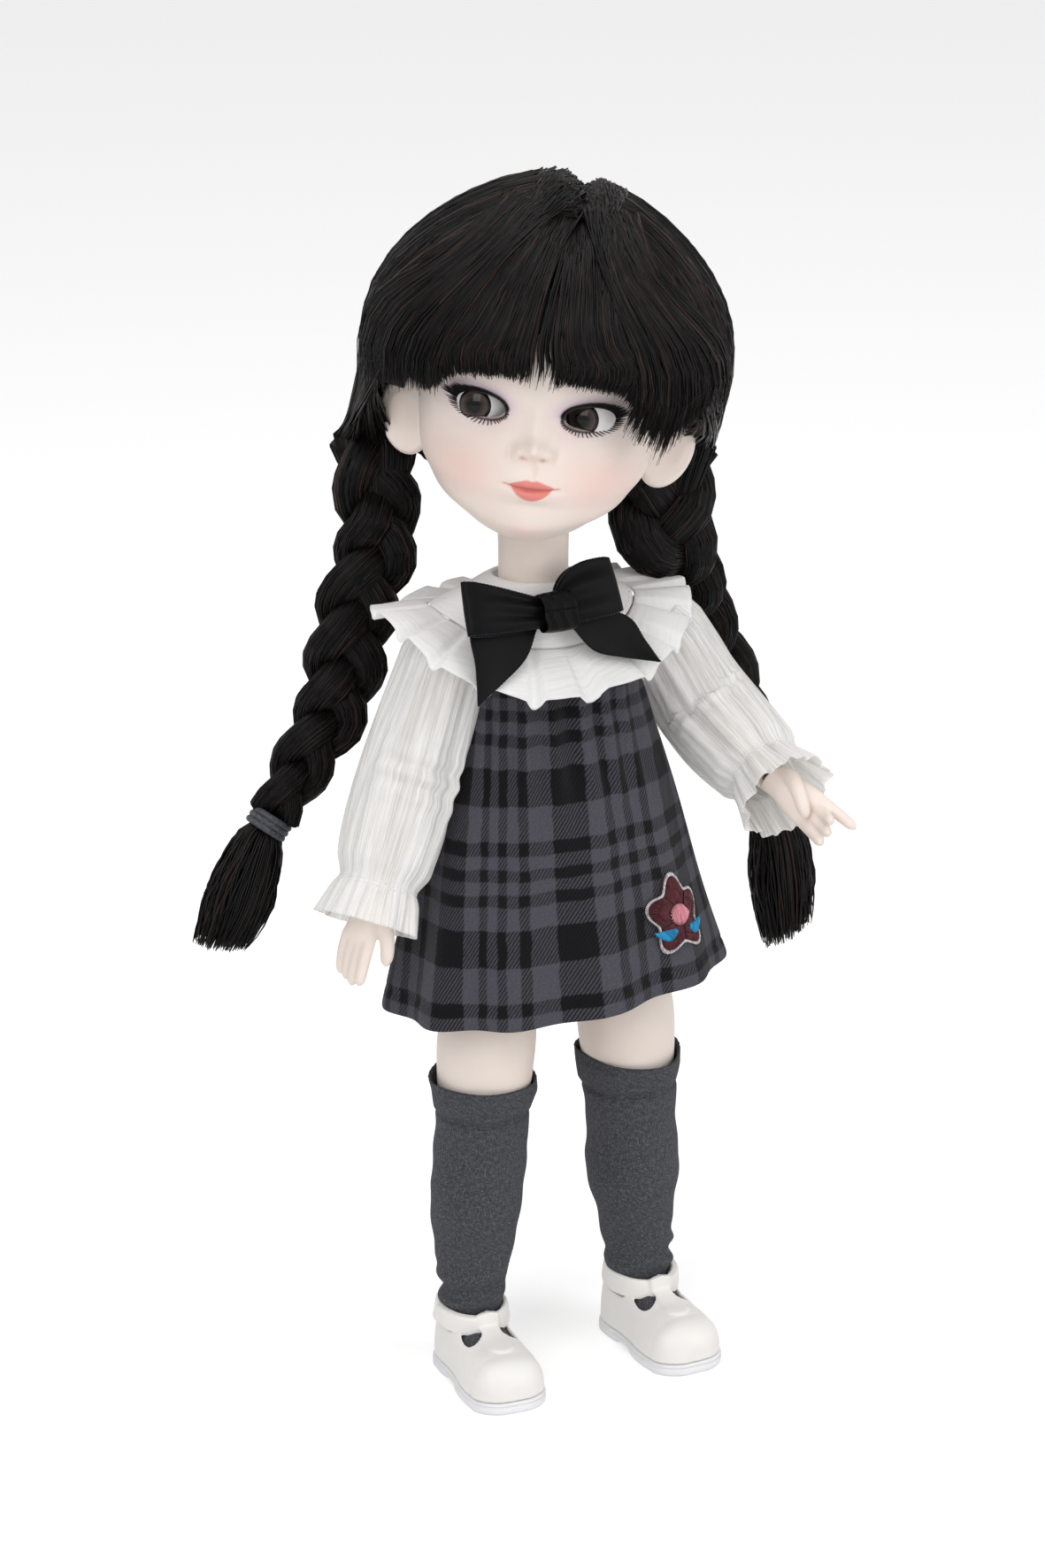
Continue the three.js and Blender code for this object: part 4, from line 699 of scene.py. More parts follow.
# %% Painted vinyl
painted = vinyl.copy()
painted.name = "painted_vinyl"
tree = painted.node_tree
inputs = tree.nodes["Principled BSDF"].inputs
coat = inputs["Base Color"].links[0].from_socket
for name, hexa, strength in (
    ("blush", "#F3C0B6", 0.62),
    ("lilac", "#D9C3D6", 0.75),
    # painted shade in the nostril hollows
    ("nostril", "#D2A196", 0.7),
    ("lips", "#E07E74", 0.95),
    ("lip_shade", "#B4524C", 0.75),
    ("liner", "#1A1415", 1.0),
):
    mask = add(tree, "ShaderNodeAttribute", out=2, attribute_name=name)
    share = add(tree, "ShaderNodeMath", {0: mask, 1: strength}, operation="MULTIPLY")
    coat = add(tree, "ShaderNodeMix", {0: share, 6: coat, 7: hexa}, out=2, data_type="RGBA")
tree.links.new(coat, inputs["Base Color"])
dress(head_piece, "head", painted, "vinyl_skin", "head_shell")

# %% [markdown]
# ## Eyes
# Each eye is a half-round acrylic ball with a printed iris under a clear dome. The ball is a
# smooth sphere cut open behind, and the iris and its dome are one cap, a little prouder than it.

# %% Eye materials
eye_white, tree, inputs = finish("acrylic_white", "#E9E6E4", 0.12, IOR=1.49)
place = add(tree, "ShaderNodeTexCoord", out=3)
cloud = add(tree, "ShaderNodeTexNoise", {"Vector": place, "Scale": 300})
add(tree, "ShaderNodeMix", {0: cloud, 6: "#ECE9E8", 7: "#DCD6D6"}, to=inputs["Base Color"], **RGBA)

iris_print, tree, inputs = finish(
    "printed_iris", "#2B211F", 0.06, IOR=1.49, Specular_IOR_Level=0.22
)
# The print has a black pupil, a grey-brown ring with fine rays and a black edge.
uv = add(tree, "ShaderNodeUVMap", uv_map="UVMap")
ray = add(tree, "ShaderNodeMapping", {"Vector": uv, "Scale": (46, 1.5, 1)})
fibre = add(tree, "ShaderNodeTexNoise", {"Vector": ray, "Scale": 1.0, "Detail": 3})
parts = add(tree, "ShaderNodeSeparateXYZ", {0: uv}, out=1)
ramp = tree.nodes.new("ShaderNodeValToRGB")
tree.links.new(parts, ramp.inputs[0])
stops = ramp.color_ramp.elements
stops[0].color, stops[-1].color = colour("#020202"), colour("#050303")
for at, hexa in ((0.36, "#050303"), (0.46, "#2E2421"), (0.74, "#5A4B45"), (0.86, "#1C1412")):
    stops.new(at).color = colour(hexa)
dark = add(tree, "ShaderNodeMath", {0: fibre, 1: 0.55}, operation="MULTIPLY")
add(
    tree, "ShaderNodeMix", {0: dark, 6: ramp.outputs[0], 7: "#0A0707"},
    to=inputs["Base Color"], **RGBA,
)
lash_fibre, _, _ = finish("lash_fibre", "#0B0808", 0.6, Specular_IOR_Level=0.1)

# %% Eyeballs and irises
GAZE = math.radians(-14)
look = np.array([math.sin(GAZE), -math.cos(GAZE), 0])
for side in (-1, 1):
    middle = eye_middles[side]
    bpy.ops.object.select_all(action="DESELECT")
    bpy.ops.mesh.primitive_uv_sphere_add(
        segments=64, ring_count=40, radius=EYE_RADIUS / 1000, location=at_mm(placed(middle, HEAD))
    )
    ball = bpy.context.object
    in_edit_mode(
        ball,
        bpy.ops.mesh.bisect,
        plane_co=Vector(at_mm(placed(middle + [0, 3, 0], HEAD))),
        plane_no=Vector(HEAD[:3, 1]).normalized(),
        use_fill=True,
        clear_outer=True,
    )
    crisp(ball, 40)
    ball.name = "eye_" + NAMES[side]
    settle(ball)
    dress(ball, "head", eye_white, "eye_white", "eyeball_" + NAMES[side])
    # The dome: rings round the line of sight, a little prouder than the ball.
    cross = unit(np.cross(look, [0, 0, 1.0]))
    above = np.cross(cross, look)
    turns = circle(64)
    ring_way = np.outer(np.cos(turns), cross) + np.outer(np.sin(turns), above)
    dome_rows, dome_uv = [], []
    for t in np.linspace(0.02, 1, 16):
        lean = t * math.asin(4.75 / EYE_RADIUS)
        proud = EYE_RADIUS + 0.28 * math.sqrt(max(1 - t**2, 0)) + 0.02
        dome_rows.append(middle + look * proud * math.cos(lean) + ring_way * proud * math.sin(lean))
        dome_uv.append(np.stack([np.arange(65) / 64, np.full(65, t)], 1))
    dome_rows.append(middle + look * (EYE_RADIUS * math.cos(lean) - 0.8) + ring_way * 4.6)
    dome_uv.append(dome_uv[-1])
    rings, uv = placed(np.array(dome_rows)[::-1], HEAD), np.array(dome_uv)[::-1]
    dome = skin("iris_dome_" + NAMES[side], rings, caps=(True, True), uv=uv)
    dress(dome, "head", iris_print, "iris_brown", "iris_" + NAMES[side])

# %% [markdown]
# ## Lashes
# Fine glued fibres fan out along the upper lid, longest at the outer corner. Short ones lie
# along the lower lid, close to the face, as painted ones would. All taper to a point.

# %% Lashes
rng = np.random.default_rng(5)
for side in (-1, 1):
    paths = []
    for count, low, reach in ((52, False, 4.0), (24, True, 2.9)):
        for s in np.linspace(0.03, 0.97, count):
            t = math.pi * (s if not low else 2 - s)
            root = almond(side, np.array([t]), 0.05)[0]
            away = unit(root - np.array([side * (EYE_X - 1.5), EYE_Z - (0 if low else 2.0)]))
            longer = reach * (0.45 + 0.95 * s**1.4) * rng.uniform(0.8, 1.1)
            wander = rng.normal(0, 0.12)
            path = []
            for u in np.linspace(0, 1, 6):
                flat = root + away * longer * u * (0.75 if low else 0.25 + 0.7 * s**1.5)
                bent = np.array([side * 0.5, 0.25 if not low else 0.1])
                flat = flat + bent * longer * 0.35 * u**2
                flat[0] += wander * u
                proud = (0.3 + 0.15 * u) if low else 0.1 + 0.72 * longer * u
                path.append(on_face(flat[0], flat[1], proud))
            paths.append(placed(np.array(path), HEAD))
    piece = strands("lash_" + NAMES[side], np.array(paths), 0.17, taper=0.2)
    dress(piece, "head", lash_fibre, "lash_fibre", "lashes_" + NAMES[side])

# %% [markdown]
# ## Wig
# The wig is black synthetic fibre (modacrylic) rooted along an off-centre parting. Real fibre
# is too fine to draw one by one, so each strand here is a small lock, 0.7 to 0.9 mm across. The
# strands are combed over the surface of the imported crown: from the parting over the side of
# the head and back to the plait behind the ear. A dark body under them closes the gaps.

# %% Fibre
fibre, tree, inputs = finish(
    "black_fibre", "#0E0C0D", 0.36, IOR=1.54, Specular_IOR_Level=0.14
)
tone = add(tree, "ShaderNodeAttribute", out=2, attribute_name="tone")
ramp = tree.nodes.new("ShaderNodeValToRGB")
for at, hexa in ((0.0, "#040304"), (0.6, "#0B090A"), (0.86, "#191312"), (0.98, "#35251F")):
    ramp.color_ramp.elements.new(at).color = colour(hexa)
for end in (0, -1):
    ramp.color_ramp.elements.remove(ramp.color_ramp.elements[end])
tree.links.new(tone, ramp.inputs[0])
tree.links.new(ramp.outputs[0], inputs["Base Color"])
under_fibre, tree, inputs = finish(
    "fibre_in_shade", "#060506", 0.6, IOR=1.54, Specular_IOR_Level=0.1
)
place = add(tree, "ShaderNodeTexCoord", out=3)
combed = add(tree, "ShaderNodeMapping", {"Vector": place, "Scale": (1400, 1400, 60)})
combing = add(tree, "ShaderNodeTexNoise", {"Vector": combed, "Scale": 1.0, "Detail": 2})
add(
    tree, "ShaderNodeBump", {"Height": combing, "Distance": 0.0003, "Strength": 0.7},
    to=inputs["Normal"],
)
wig_net, tree, inputs = finish("stretch_net", "#121011", 0.9, Specular_IOR_Level=0.1)
place = add(tree, "ShaderNodeTexCoord", out=3)
weave = add(tree, "ShaderNodeTexVoronoi", {"Vector": place, "Scale": 900})
add(tree, "ShaderNodeBump", {"Height": weave, "Distance": 0.0003}, to=inputs["Normal"])

# %% Surface of the combed hair
HAIR_ROWS = [
    [-20, 27, 6, 28],
    [-12, 39, 20, 36],
    [-4, 46.5, 34, 42],
    [6, 50.5, 40, 46],
    [18, 52.5, 44, 49],
    [30, 53, 46, 50],
    [42, 50.5, 45, 48],
    [54, 43.5, 40, 42],
    [64, 33.5, 31, 33],
    [72, 21, 20, 22],
    [77, 9, 8, 9],
]
HAIR_LOW, HAIR_HIGH = HAIR_ROWS[0][0], HAIR_ROWS[-1][0]
PARTING_X = 4.5
NOTCH_X, NOTCH_WIDE = 1.0, 6.2  # where the fringe is thin and the brow shows
HEAD_CORE = np.array([0.0, 1.0, 18.0])


def hair_surface(way, out=0.0):
    """Where a ray from the head's core meets the combed hair, so far above its surface."""
    way = unit(way)
    low, high = np.zeros(way.shape[:-1]), np.full(way.shape[:-1], 75.0)
    for _ in range(22):
        reach = (low + high) / 2
        p = HEAD_CORE + way * reach[..., None]
        width, front, back = np.moveaxis(smooth_rows(HAIR_ROWS, p[..., 2]), -1, 0)
        deep = np.where(p[..., 1] < 0, front, back)
        inside = (p[..., 0] / width) ** 2 + (p[..., 1] / deep) ** 2 < 1
        inside &= (p[..., 2] < HAIR_HIGH) & (p[..., 2] > HAIR_LOW)
        low, high = np.where(inside, reach, low), np.where(inside, high, reach)
    p = HEAD_CORE + way * (low + out)[..., None]
    p[..., 2] -= 3.2 * bump_at(p[..., 0], PARTING_X, 3.0) * np.clip((p[..., 2] - 40) / 30, 0, 1)
    return p


def arc(corners, steps):
    """Ways along a smooth path over the head, through corners (strand, corner, xyz)."""
    ways = unit(np.asarray(corners) - HEAD_CORE)
    t = np.linspace(0, 1, steps)
    knots = np.linspace(0, 1, ways.shape[1])
    out = np.zeros((ways.shape[0], steps, 3))
    for i, knot in enumerate(knots):
        others = np.delete(knots, i)
        share = np.prod([(t - o) / (knot - o) for o in others], axis=0)
        out += ways[:, i : i + 1] * share[None, :, None]
    return unit(out)


# %% Plait roots
PLAIT = {
    -1: {
        "way": [
            [-41.5, 37, 284.5], [-43, 32, 270.5], [-42.4, 30, 257.5], [-48.4, 30, 242.2],
            [-53.6, 30, 223], [-57.7, 30, 207.6], [-65.2, 30, 196], [-71, 30, 186.7],
            [-77.9, 30, 176.4],
        ],
        "tail": [[-81.6, 30, 171.5], [-88, 30, 156.2], [-92.5, 30, 146], [-98, 30, 136]],
        "root": 1.0,
    },
    1: {
        "way": [
            [41, 8, 281], [40, 9, 268], [40, 9, 254.5], [46.5, 12, 243], [53, 19.5, 232.5],
            [62, 27.5, 217], [70.8, 27.5, 200.6], [77.6, 27, 186.2], [82, 26, 172],
            [84.8, 26, 161.4],
        ],
        "tail": [[87.6, 26, 154.5], [90.4, 25, 145.7], [91.8, 24, 129.8], [93, 22, 110]],
        "root": 1.3,
    },
}
roots = {side: back_into(PLAIT[side]["way"][0], HEAD) for side in (-1, 1)}
print("plait roots in the head's frame:", {s: r.round(1).tolist() for s, r in roots.items()})


# %% Combed strands of the crown
# Waypoints for a strand that starts at the front, on top and at the nape, for the left side:
# on the parting, on the temple, above the ear. The rest lie between them.
COMBED = {
    0.0: [(4.5, -20, 74), (38, -34, 54), (51, -24, 24)],
    0.25: [(4.5, -8, 78), (42, -14, 62), (54, -6, 24)],
    0.55: [(4.5, 26, 74), (40, 28, 54), (50, 27, 18)],
    0.8: [(3, 46, 40), (26, 46, 20), (42, 38, 2)],
    1.0: [(0, 44, -14), (16, 42, -17), (30, 38, -16)],
}


def crown_strands(side, count, seed, out=0.0):
    rng = np.random.default_rng(seed)
    s = rng.uniform(0, 1, count)
    keys = np.array(sorted(COMBED))
    table = np.array([COMBED[k] for k in keys]).reshape(len(keys), 9)
    mid = read_at(s, keys, table).reshape(count, 3, 3)
    mid[:, 1:, 0] *= side
    mid[:, 0, 0] += side * np.abs(rng.normal(0, 1.6, count))
    mid[:, 1:] += rng.normal(0, 1.6, (count, 2, 3))
    u = rng.uniform(0, 2 * math.pi, count)
    r = np.sqrt(rng.uniform(0.3, 1, count))
    ring_ = np.stack([np.cos(u), np.sin(u), 0 * u], 1) * r[:, None]
    end = roots[side] * [1.06, 1.0, 1.0] + [0, 0, 5] + ring_ * [8, 8, 0]
    steps = 15
    t = np.linspace(0, 1, steps)
    ways = arc(np.concatenate([mid, end[:, None]], 1), steps)
    lift = rng.uniform(-0.5, 0.45, count)
    wave = 0.3 * np.sin(t[None] * 6 + rng.uniform(0, 6.28, (count, 1)))
    paths = hair_surface(ways) + ways * (lift[:, None] + wave + out)[..., None]
    # Below the ear the strands leave the scalp and run on into the top of the plait.
    into = back_into(curve_through(PLAIT[side]["way"][:3], 5), HEAD)
    size = 1.25 if side > 0 else 1.0
    span = ring_ * [11.5 * size, 7.6, 0]
    down = np.stack([into[k] + span * (1 - 0.12 * k) for k in (0, 2, 3)], 1)
    pull = ease((t - 0.7) / 0.3)[None, :, None]
    paths = paths * (1 - pull) + (into[0] + span)[:, None] * pull
    return np.concatenate([paths, down[:, 1:]], 1)


for side in (-1, 1):
    for layer, seed, count, radius, out in (
        ("low", 11, 800, 0.46, -0.3),
        ("top", 31, 1260, 0.36, 0.0),
    ):
        paths = crown_strands(side, count, seed + side, out)
        piece = strands(f"hair_{layer}_{NAMES[side]}", placed(paths, HEAD), radius)
        dress(piece, "head", fibre, "hair_fibre")


# %% Dark bodies under the strands
def under_layer(node, name, inward):
    """A smooth copy of a solid of the wig, drawn in by so many mm and cut higher at the brow."""
    bpy.ops.object.select_all(action="DESELECT")
    piece = frame["nodes"][node].copy()
    piece.data = piece.data.copy()
    bpy.context.scene.collection.objects.link(piece)
    for key in list(piece.keys()):
        del piece[key]
    piece.parent = None
    piece.name = name
    in_edit_mode(piece, bpy.ops.mesh.remove_doubles, threshold=1e-6)
    moulded(piece, 1.6, 6, 0.6)
    modified(piece, "DISPLACE", strength=-inward / 1000, mid_level=0.0)
    local = back_into(points_of(piece), HEAD)
    x, y, z = local.T
    # The front ends higher, with a notch where the brow shows between the fringe's strands.
    ends_at = 34.5 - 0.003 * x**2 + 15 * bump_at(x, NOTCH_X, NOTCH_WIDE)
    in_front = ease((38 - np.abs(x)) / 5) * ease((-14 - y) / 5) * (z < ends_at)
    local[:, 2] += in_front * 0.97 * (ends_at - z)
    move_points(piece, placed(local, HEAD))
    return piece


for node, name, material, inward in (
    ("hair_crown", "hair_body", under_fibre, 1.1),
    ("wig_cap", "wig_cap_net", wig_net, 0.2),
):
    dress(under_layer(node, name, inward), "head", material, "hair_fibre", node)

# %% [markdown]
# ### Fringe
# The fringe is cut straight across above the eyes. Its strands fan out from the front of the
# parting; it is thin in the middle and a wisp hangs longer at the doll's left temple.


# %% Fringe
def fringe_strands(count, seed, out, short=0.0):
    rng = np.random.default_rng(seed)
    x = rng.uniform(-1, 1, count)
    x = signed_power(x, 0.85) * 36.5
    start = np.stack(
        [
            PARTING_X + 0.2 * x * rng.uniform(0.1, 0.8, count) + rng.normal(0, 0.9, count),
            -12 + 0.008 * x**2 + rng.normal(0, 2.5, count),
            74 + rng.normal(0, 1.0, count),
        ],
        1,
    )
    thin = bump_at(x, NOTCH_X, NOTCH_WIDE, 4)
    bottom = 29.6 + 0.8 * rng.normal(0, 1, count) + short
    bottom -= 0.0035 * x**2 + 6.0 * ease((np.abs(x) - 24) / 12)
    bottom -= thin * rng.uniform(-1.0, 3.5, count)
    bottom -= np.where(x > 30, rng.uniform(0, 1, count) ** 2 * 11, 0)
    deep = -54 * np.sqrt(np.clip(1 - (x / 53) ** 2, 0.05, 1))
    brow = np.stack([x * 0.86, deep - 4, 52 + 0 * x], 1)
    low = np.stack([x * 1.04, deep, 38 + 0 * x], 1)
    end = np.stack([x, deep * 0.94, bottom], 1)
    corners = np.stack([start, brow, low, end], 1)
    steps = 10
    ways = arc(corners, steps)
    paths = hair_surface(ways)
    t = np.linspace(0, 1, steps)
    lift = rng.uniform(-0.6, 0.5, count)[:, None] + out
    tuck = -1.4 * t[None] ** 3  # the tips turn in to the brow
    wave = 0.2 * np.sin(t[None] * 7 + rng.uniform(0, 6.28, (count, 1)))
    paths += ways * (lift + tuck + wave)[..., None]
    paths[..., 0] += rng.normal(0, 0.5, (count, 1)) * t[None] ** 3
    gone = rng.uniform(0, 1, count) < thin * 0.85
    return paths[~gone]


def temple_strands(side, count, seed):
    """Locks at the side of the fringe, which hang over the temple to just above the ear."""
    rng = np.random.default_rng(seed)
    phi = np.radians(rng.uniform(36, 84, count))
    share = (phi - math.radians(36)) / math.radians(48)
    start = np.stack(
        [
            PARTING_X + side * rng.uniform(1, 12, count),
            -16 + 22 * share + rng.normal(0, 2.0, count),
            74 + rng.normal(0, 1.0, count),
        ],
        1,
    )
    bottom = 25.0 - 11.0 * share + rng.normal(0, 1.0, count) - 5 * rng.uniform(0, 1, count) ** 5
    if side > 0:
        bottom += 9 * ease((share - 0.35) / 0.4) - 4 * ease(share / 0.25)
        bottom -= bump_at(share, 0.3, 0.18) * rng.uniform(0, 1, count) ** 1.3 * 11
    away = [phi * 0.62, phi * 0.88, phi]
    corners = [start] + [
        np.stack([side * r * np.sin(f), -r * np.cos(f), z], 1)
        for f, r, z in zip(away, (44, 53, 53), (60 + 0 * phi, 41 + 0 * phi, bottom))
    ]
    steps = 10
    ways = arc(np.stack(corners, 1), steps)
    t = np.linspace(0, 1, steps)
    lift = rng.uniform(-0.5, 0.9, count)[:, None]
    tuck = -1.0 * t[None] ** 3
    wave = 0.25 * np.sin(t[None] * 7 + rng.uniform(0, 6.28, (count, 1)))
    paths = hair_surface(ways) + ways * (lift + tuck + wave)[..., None]
    paths[..., 0] += rng.normal(0, 0.7, (count, 1)) * t[None] ** 3
    paths[..., 1] += rng.normal(0, 0.9, (count, 1)) * t[None] ** 3
    return paths


for side in (-1, 1):
    paths = temple_strands(side, 1150, 50 + side)
    piece = strands("temple_locks_" + NAMES[side], placed(paths, HEAD), 0.34, taper=0.2)
    dress(piece, "head", fibre, "hair_fibre")
paths = np.concatenate([fringe_strands(2200, 3, 0.0), fringe_strands(300, 4, -1.6, 0.6)])
piece = strands("fringe_strands", placed(paths, HEAD), 0.33, taper=0.2)
dress(piece, "head", fibre, "hair_fibre", "fringe")


# %% Closed back of the fringe
def fringe_back():
    """A thin curved plate behind the strands, so that the brow doesn't show between them."""
    across = np.linspace(-36, 36, 60)
    rows = []
    for t in np.linspace(0, 1, 30):
        notch = 16 * bump_at(across, NOTCH_X, NOTCH_WIDE)
        z = 66 - t * (66 - 33.5 - notch + 0.003 * across**2)
        half = np.interp(z, [20, 34, 50, 68], [36, 36, 31, 13])
        x = across / 36 * half
        deep = -54 * np.sqrt(np.clip(1 - (x / 54) ** 2, 0.05, 1))
        ways = np.stack([x, deep - HEAD_CORE[1], z - HEAD_CORE[2] + 0 * x], -1)
        rows.append(hair_surface(ways, -1.5))
    return np.array(rows)


plate = cloth("fringe_body", placed(fringe_back(), HEAD), 1.2, wrap=False)
dress(plate, "head", under_fibre, "hair_fibre")

# %% [markdown]
# ### Plaits
# A plait is three locks that take turns to cross in the middle. Each lock follows a wave from
# side to side and a faster one from front to back; its surface is ribbed like combed fibre,
# and loose strands lie along it.


# %% Plaited locks
def hanging_frame(route, count):
    """A curve through a route, with the ways across and outward at each of its points."""
    way = curve_through(route, count)
    ahead = unit(np.gradient(way, axis=0))
    across = unit(np.array([1.0, 0, 0]) - ahead * ahead[:, :1])
    return way, across, np.cross(ahead, across)


def plait_size(side, t):
    root = 1 + (PLAIT[side]["root"] - 1) * np.clip((0.3 - t) / 0.1, 0, 1)
    return root * (1 - np.maximum(t - 0.6, 0))


TURNS = 7 / 3
for side in (-1, 1):
    steps = 150
    way, across, outward = hanging_frame(PLAIT[side]["way"], steps)
    t = np.linspace(0, 1, steps)
    size = plait_size(side, t)
    locks, fibres = [], []
    rng = np.random.default_rng(40 + side)
    for lock in range(3):
        phase = side * 2 * math.pi * (t * TURNS + lock / 3) + 0.6
        wide = 7.1 * size * np.cos(phase)
        deep = 3.4 * np.sqrt(size) * np.sin(2 * phase)
        spine = way + across * wide[:, None] + outward * deep[:, None]
        forward = unit(np.gradient(spine, axis=0))
        normal = unit(outward - forward * (outward * forward).sum(1)[:, None])
        flat = np.cross(forward, normal)
        broad = (5.7 * size)[:, None]
        thick = (4.6 * np.sqrt(size))[:, None]

        def round_lock(angle, rise, at=slice(None)):
            """Points round the lock at some of its steps, so far above its surface."""
            over = flat[at][..., None, :] * ((broad[at] + rise) * np.cos(angle))[..., None]
            out = normal[at][..., None, :] * ((thick[at] + rise) * np.sin(angle))[..., None]
            return spine[at][..., None, :] + over + out

        turns = circle(44)
        rib = 0.16 * np.sin(turns * 15 + 2) + 0.1 * np.sin(turns * 23)
        locks.append(skin("lock", round_lock(turns, rib), caps=(True, True)))
        picks = np.linspace(0, steps - 1, 42).round().astype(int)
        number = 150
        place = rng.uniform(0, 2 * math.pi, number)
        drift = rng.normal(0, 0.25, (number, 1)) * np.sin(t[picks] * 9 + 1)[None]
        high = rng.uniform(0.02, 0.32, number)
        fibres.append(round_lock((place[:, None] + drift).T, high, picks).transpose(1, 0, 2))
    plait = joined("plait_" + NAMES[side], *locks)
    hairs = strands("plait_hairs_" + NAMES[side], np.concatenate(fibres), 0.26)
    dress(plait, None, under_fibre, "hair_fibre", "braid_" + NAMES[side])
    dress(hairs, None, fibre, "hair_fibre")
    start, end = at_mm(PLAIT[side]["way"][3]), at_mm(PLAIT[side]["way"][0])
    for piece in (plait, hairs):
        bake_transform(piece)

# %% [markdown]
# ### Bands and tails
# A thin elastic, covered in black and grey yarn, is wound three times round the end of each
# plait, and the loose fibre below it swells and narrows to an uneven tip.

# %% Elastic bands
elastic, tree, inputs = finish("covered_elastic", "#141416", 0.6)
place = add(tree, "ShaderNodeTexCoord", out=3)
yarn = add(tree, "ShaderNodeTexVoronoi", {"Vector": place, "Scale": 1600})
add(tree, "ShaderNodeMix", {0: yarn, 6: "#0C0C0E", 7: "#4C5058"}, to=inputs["Base Color"], **RGBA)
add(tree, "ShaderNodeBump", {"Height": yarn, "Distance": 0.0002}, to=inputs["Normal"])
for side in (-1, 1):
    end, start = np.array(PLAIT[side]["way"][-1]), np.array(PLAIT[side]["tail"][0])
    along = unit(start - end)
    windings = []
    for n in (-1, 0, 1):
        bpy.ops.object.select_all(action="DESELECT")
        bpy.ops.mesh.primitive_torus_add(
            major_segments=64,
            minor_segments=14,
            major_radius=0.0056,
            minor_radius=0.00105,
            location=at_mm((end + start) / 2 + along * 1.75 * n),
        )
        wound = bpy.context.object
        wound.rotation_mode = "QUATERNION"
        wound.rotation_quaternion = Vector(along).to_track_quat("Z", "Y")
        windings.append(settle(wound))
    band = joined("elastic_" + NAMES[side], *windings)
    band.data.shade_smooth()
    dress(band, "neck_knob", elastic, "elastic_band", "hair_band_" + NAMES[side])

# %% Tails
for side in (-1, 1):
    rng = np.random.default_rng(70 + side)
    route = [PLAIT[side]["way"][-1], *PLAIT[side]["tail"]]
    frame_rows = np.hstack(hanging_frame(route, 16))
    number = 800
    a, r = rng.uniform(0, 2 * math.pi, number), np.sqrt(rng.uniform(0.05, 1, number))
    length = rng.uniform(0.86, 1.0, number) - 0.1 * (1 + np.cos(a - 0.5)) * r * 0.5
    t = np.linspace(0, 1, 12)
    along = t[None] * length[:, None]
    swell = 4.6 + 6.0 * np.sin(np.clip(along * 1.5, 0, 1) * math.pi / 2)
    swell -= 8.0 * np.clip(along - 0.62, 0, 1)
    swell *= 1 - 0.75 * np.clip((0.18 - along) / 0.18, 0, 1)
    centre, wide, deep = np.split(read_at(along * 15, np.arange(16), frame_rows), 3, axis=-1)
    wander = 1 + 0.12 * np.sin(t[None] * 8 + rng.uniform(0, 6.28, (number, 1)))
    sideways = (r * np.cos(a))[:, None] * swell * wander
    outwards = (r * np.sin(a))[:, None] * swell * 0.6
    paths = centre + wide * sideways[..., None] + deep * outwards[..., None]
    piece = strands("tail_" + NAMES[side], paths, 0.42, taper=0.25)
    dress(piece, "neck_knob", fibre, "hair_fibre", "braid_tail_" + NAMES[side])

# %% [markdown]
# ## Plaid cloth
# The pinafore is a woven cotton plaid, grey with a cool violet cast and near black. Each stripe
# is a run of dyed threads: where two dark runs cross the cloth is black, where dark crosses
# grey it is speckled, because the twill shows warp and weft in turn. The check repeats every
# 36.5 mm across and 45 mm up. A real twill's lines are about 0.35 mm apart; these are drawn
# at 0.9 mm, so that they show.

# %% Plaid
plaid, tree, inputs = finish(
    "woven_plaid",
    "#3A3940",
    0.9,
    Specular_IOR_Level=0.12,
    Sheen_Weight=0.06,
    Sheen_Roughness=0.6,
)
uv = add(tree, "ShaderNodeUVMap", uv_map="UVMap")
slub = add(tree, "ShaderNodeTexNoise", {"Vector": uv, "Scale": 0.18, "Detail": 2}, out=1)
drift = add(tree, "ShaderNodeVectorMath", {0: slub, 1: (0.5, 0.5, 0.5)}, operation="SUBTRACT")
wander = add(tree, "ShaderNodeVectorMath", {0: drift, 1: (1.6, 1.6, 0)}, operation="MULTIPLY")
placed_uv = add(tree, "ShaderNodeVectorMath", {0: uv, 1: wander}, operation="ADD")
axes = tree.nodes.new("ShaderNodeSeparateXYZ")
tree.links.new(placed_uv, axes.inputs[0])

# Runs of dark thread in mm along each repeat, with how dark each run is.
RUNS = {
    "X": (36.5, [(1, 10.6, 1.0), (15.2, 17.8, 0.9), (21, 23.8, 0.9), (27.4, 30.4, 0.95)]),
    "Y": (45.0, [(1, 11.5, 0.95), (18, 21.4, 0.85), (25, 28.2, 0.85), (32, 36, 0.9)]),
}
threads = {}
for axis, (repeat, runs) in RUNS.items():
    along = add(tree, "ShaderNodeMath", {0: axes.outputs[axis], 1: repeat}, operation="DIVIDE")
    place = add(tree, "ShaderNodeMath", {0: along}, operation="FRACT")
    ramp = tree.nodes.new("ShaderNodeValToRGB")
    tree.links.new(place, ramp.inputs[0])
    for stop in ramp.color_ramp.elements:
        stop.color = (0, 0, 0, 1)
    for low, high, dark in runs:
        for at, value in ((low - 0.2, 0), (low + 0.2, dark), (high - 0.2, dark), (high + 0.2, 0)):
            ramp.color_ramp.elements.new(at / repeat).color = (value, value, value, 1)
    threads[axis] = ramp.outputs[0]
warp, weft = threads["X"], threads["Y"]
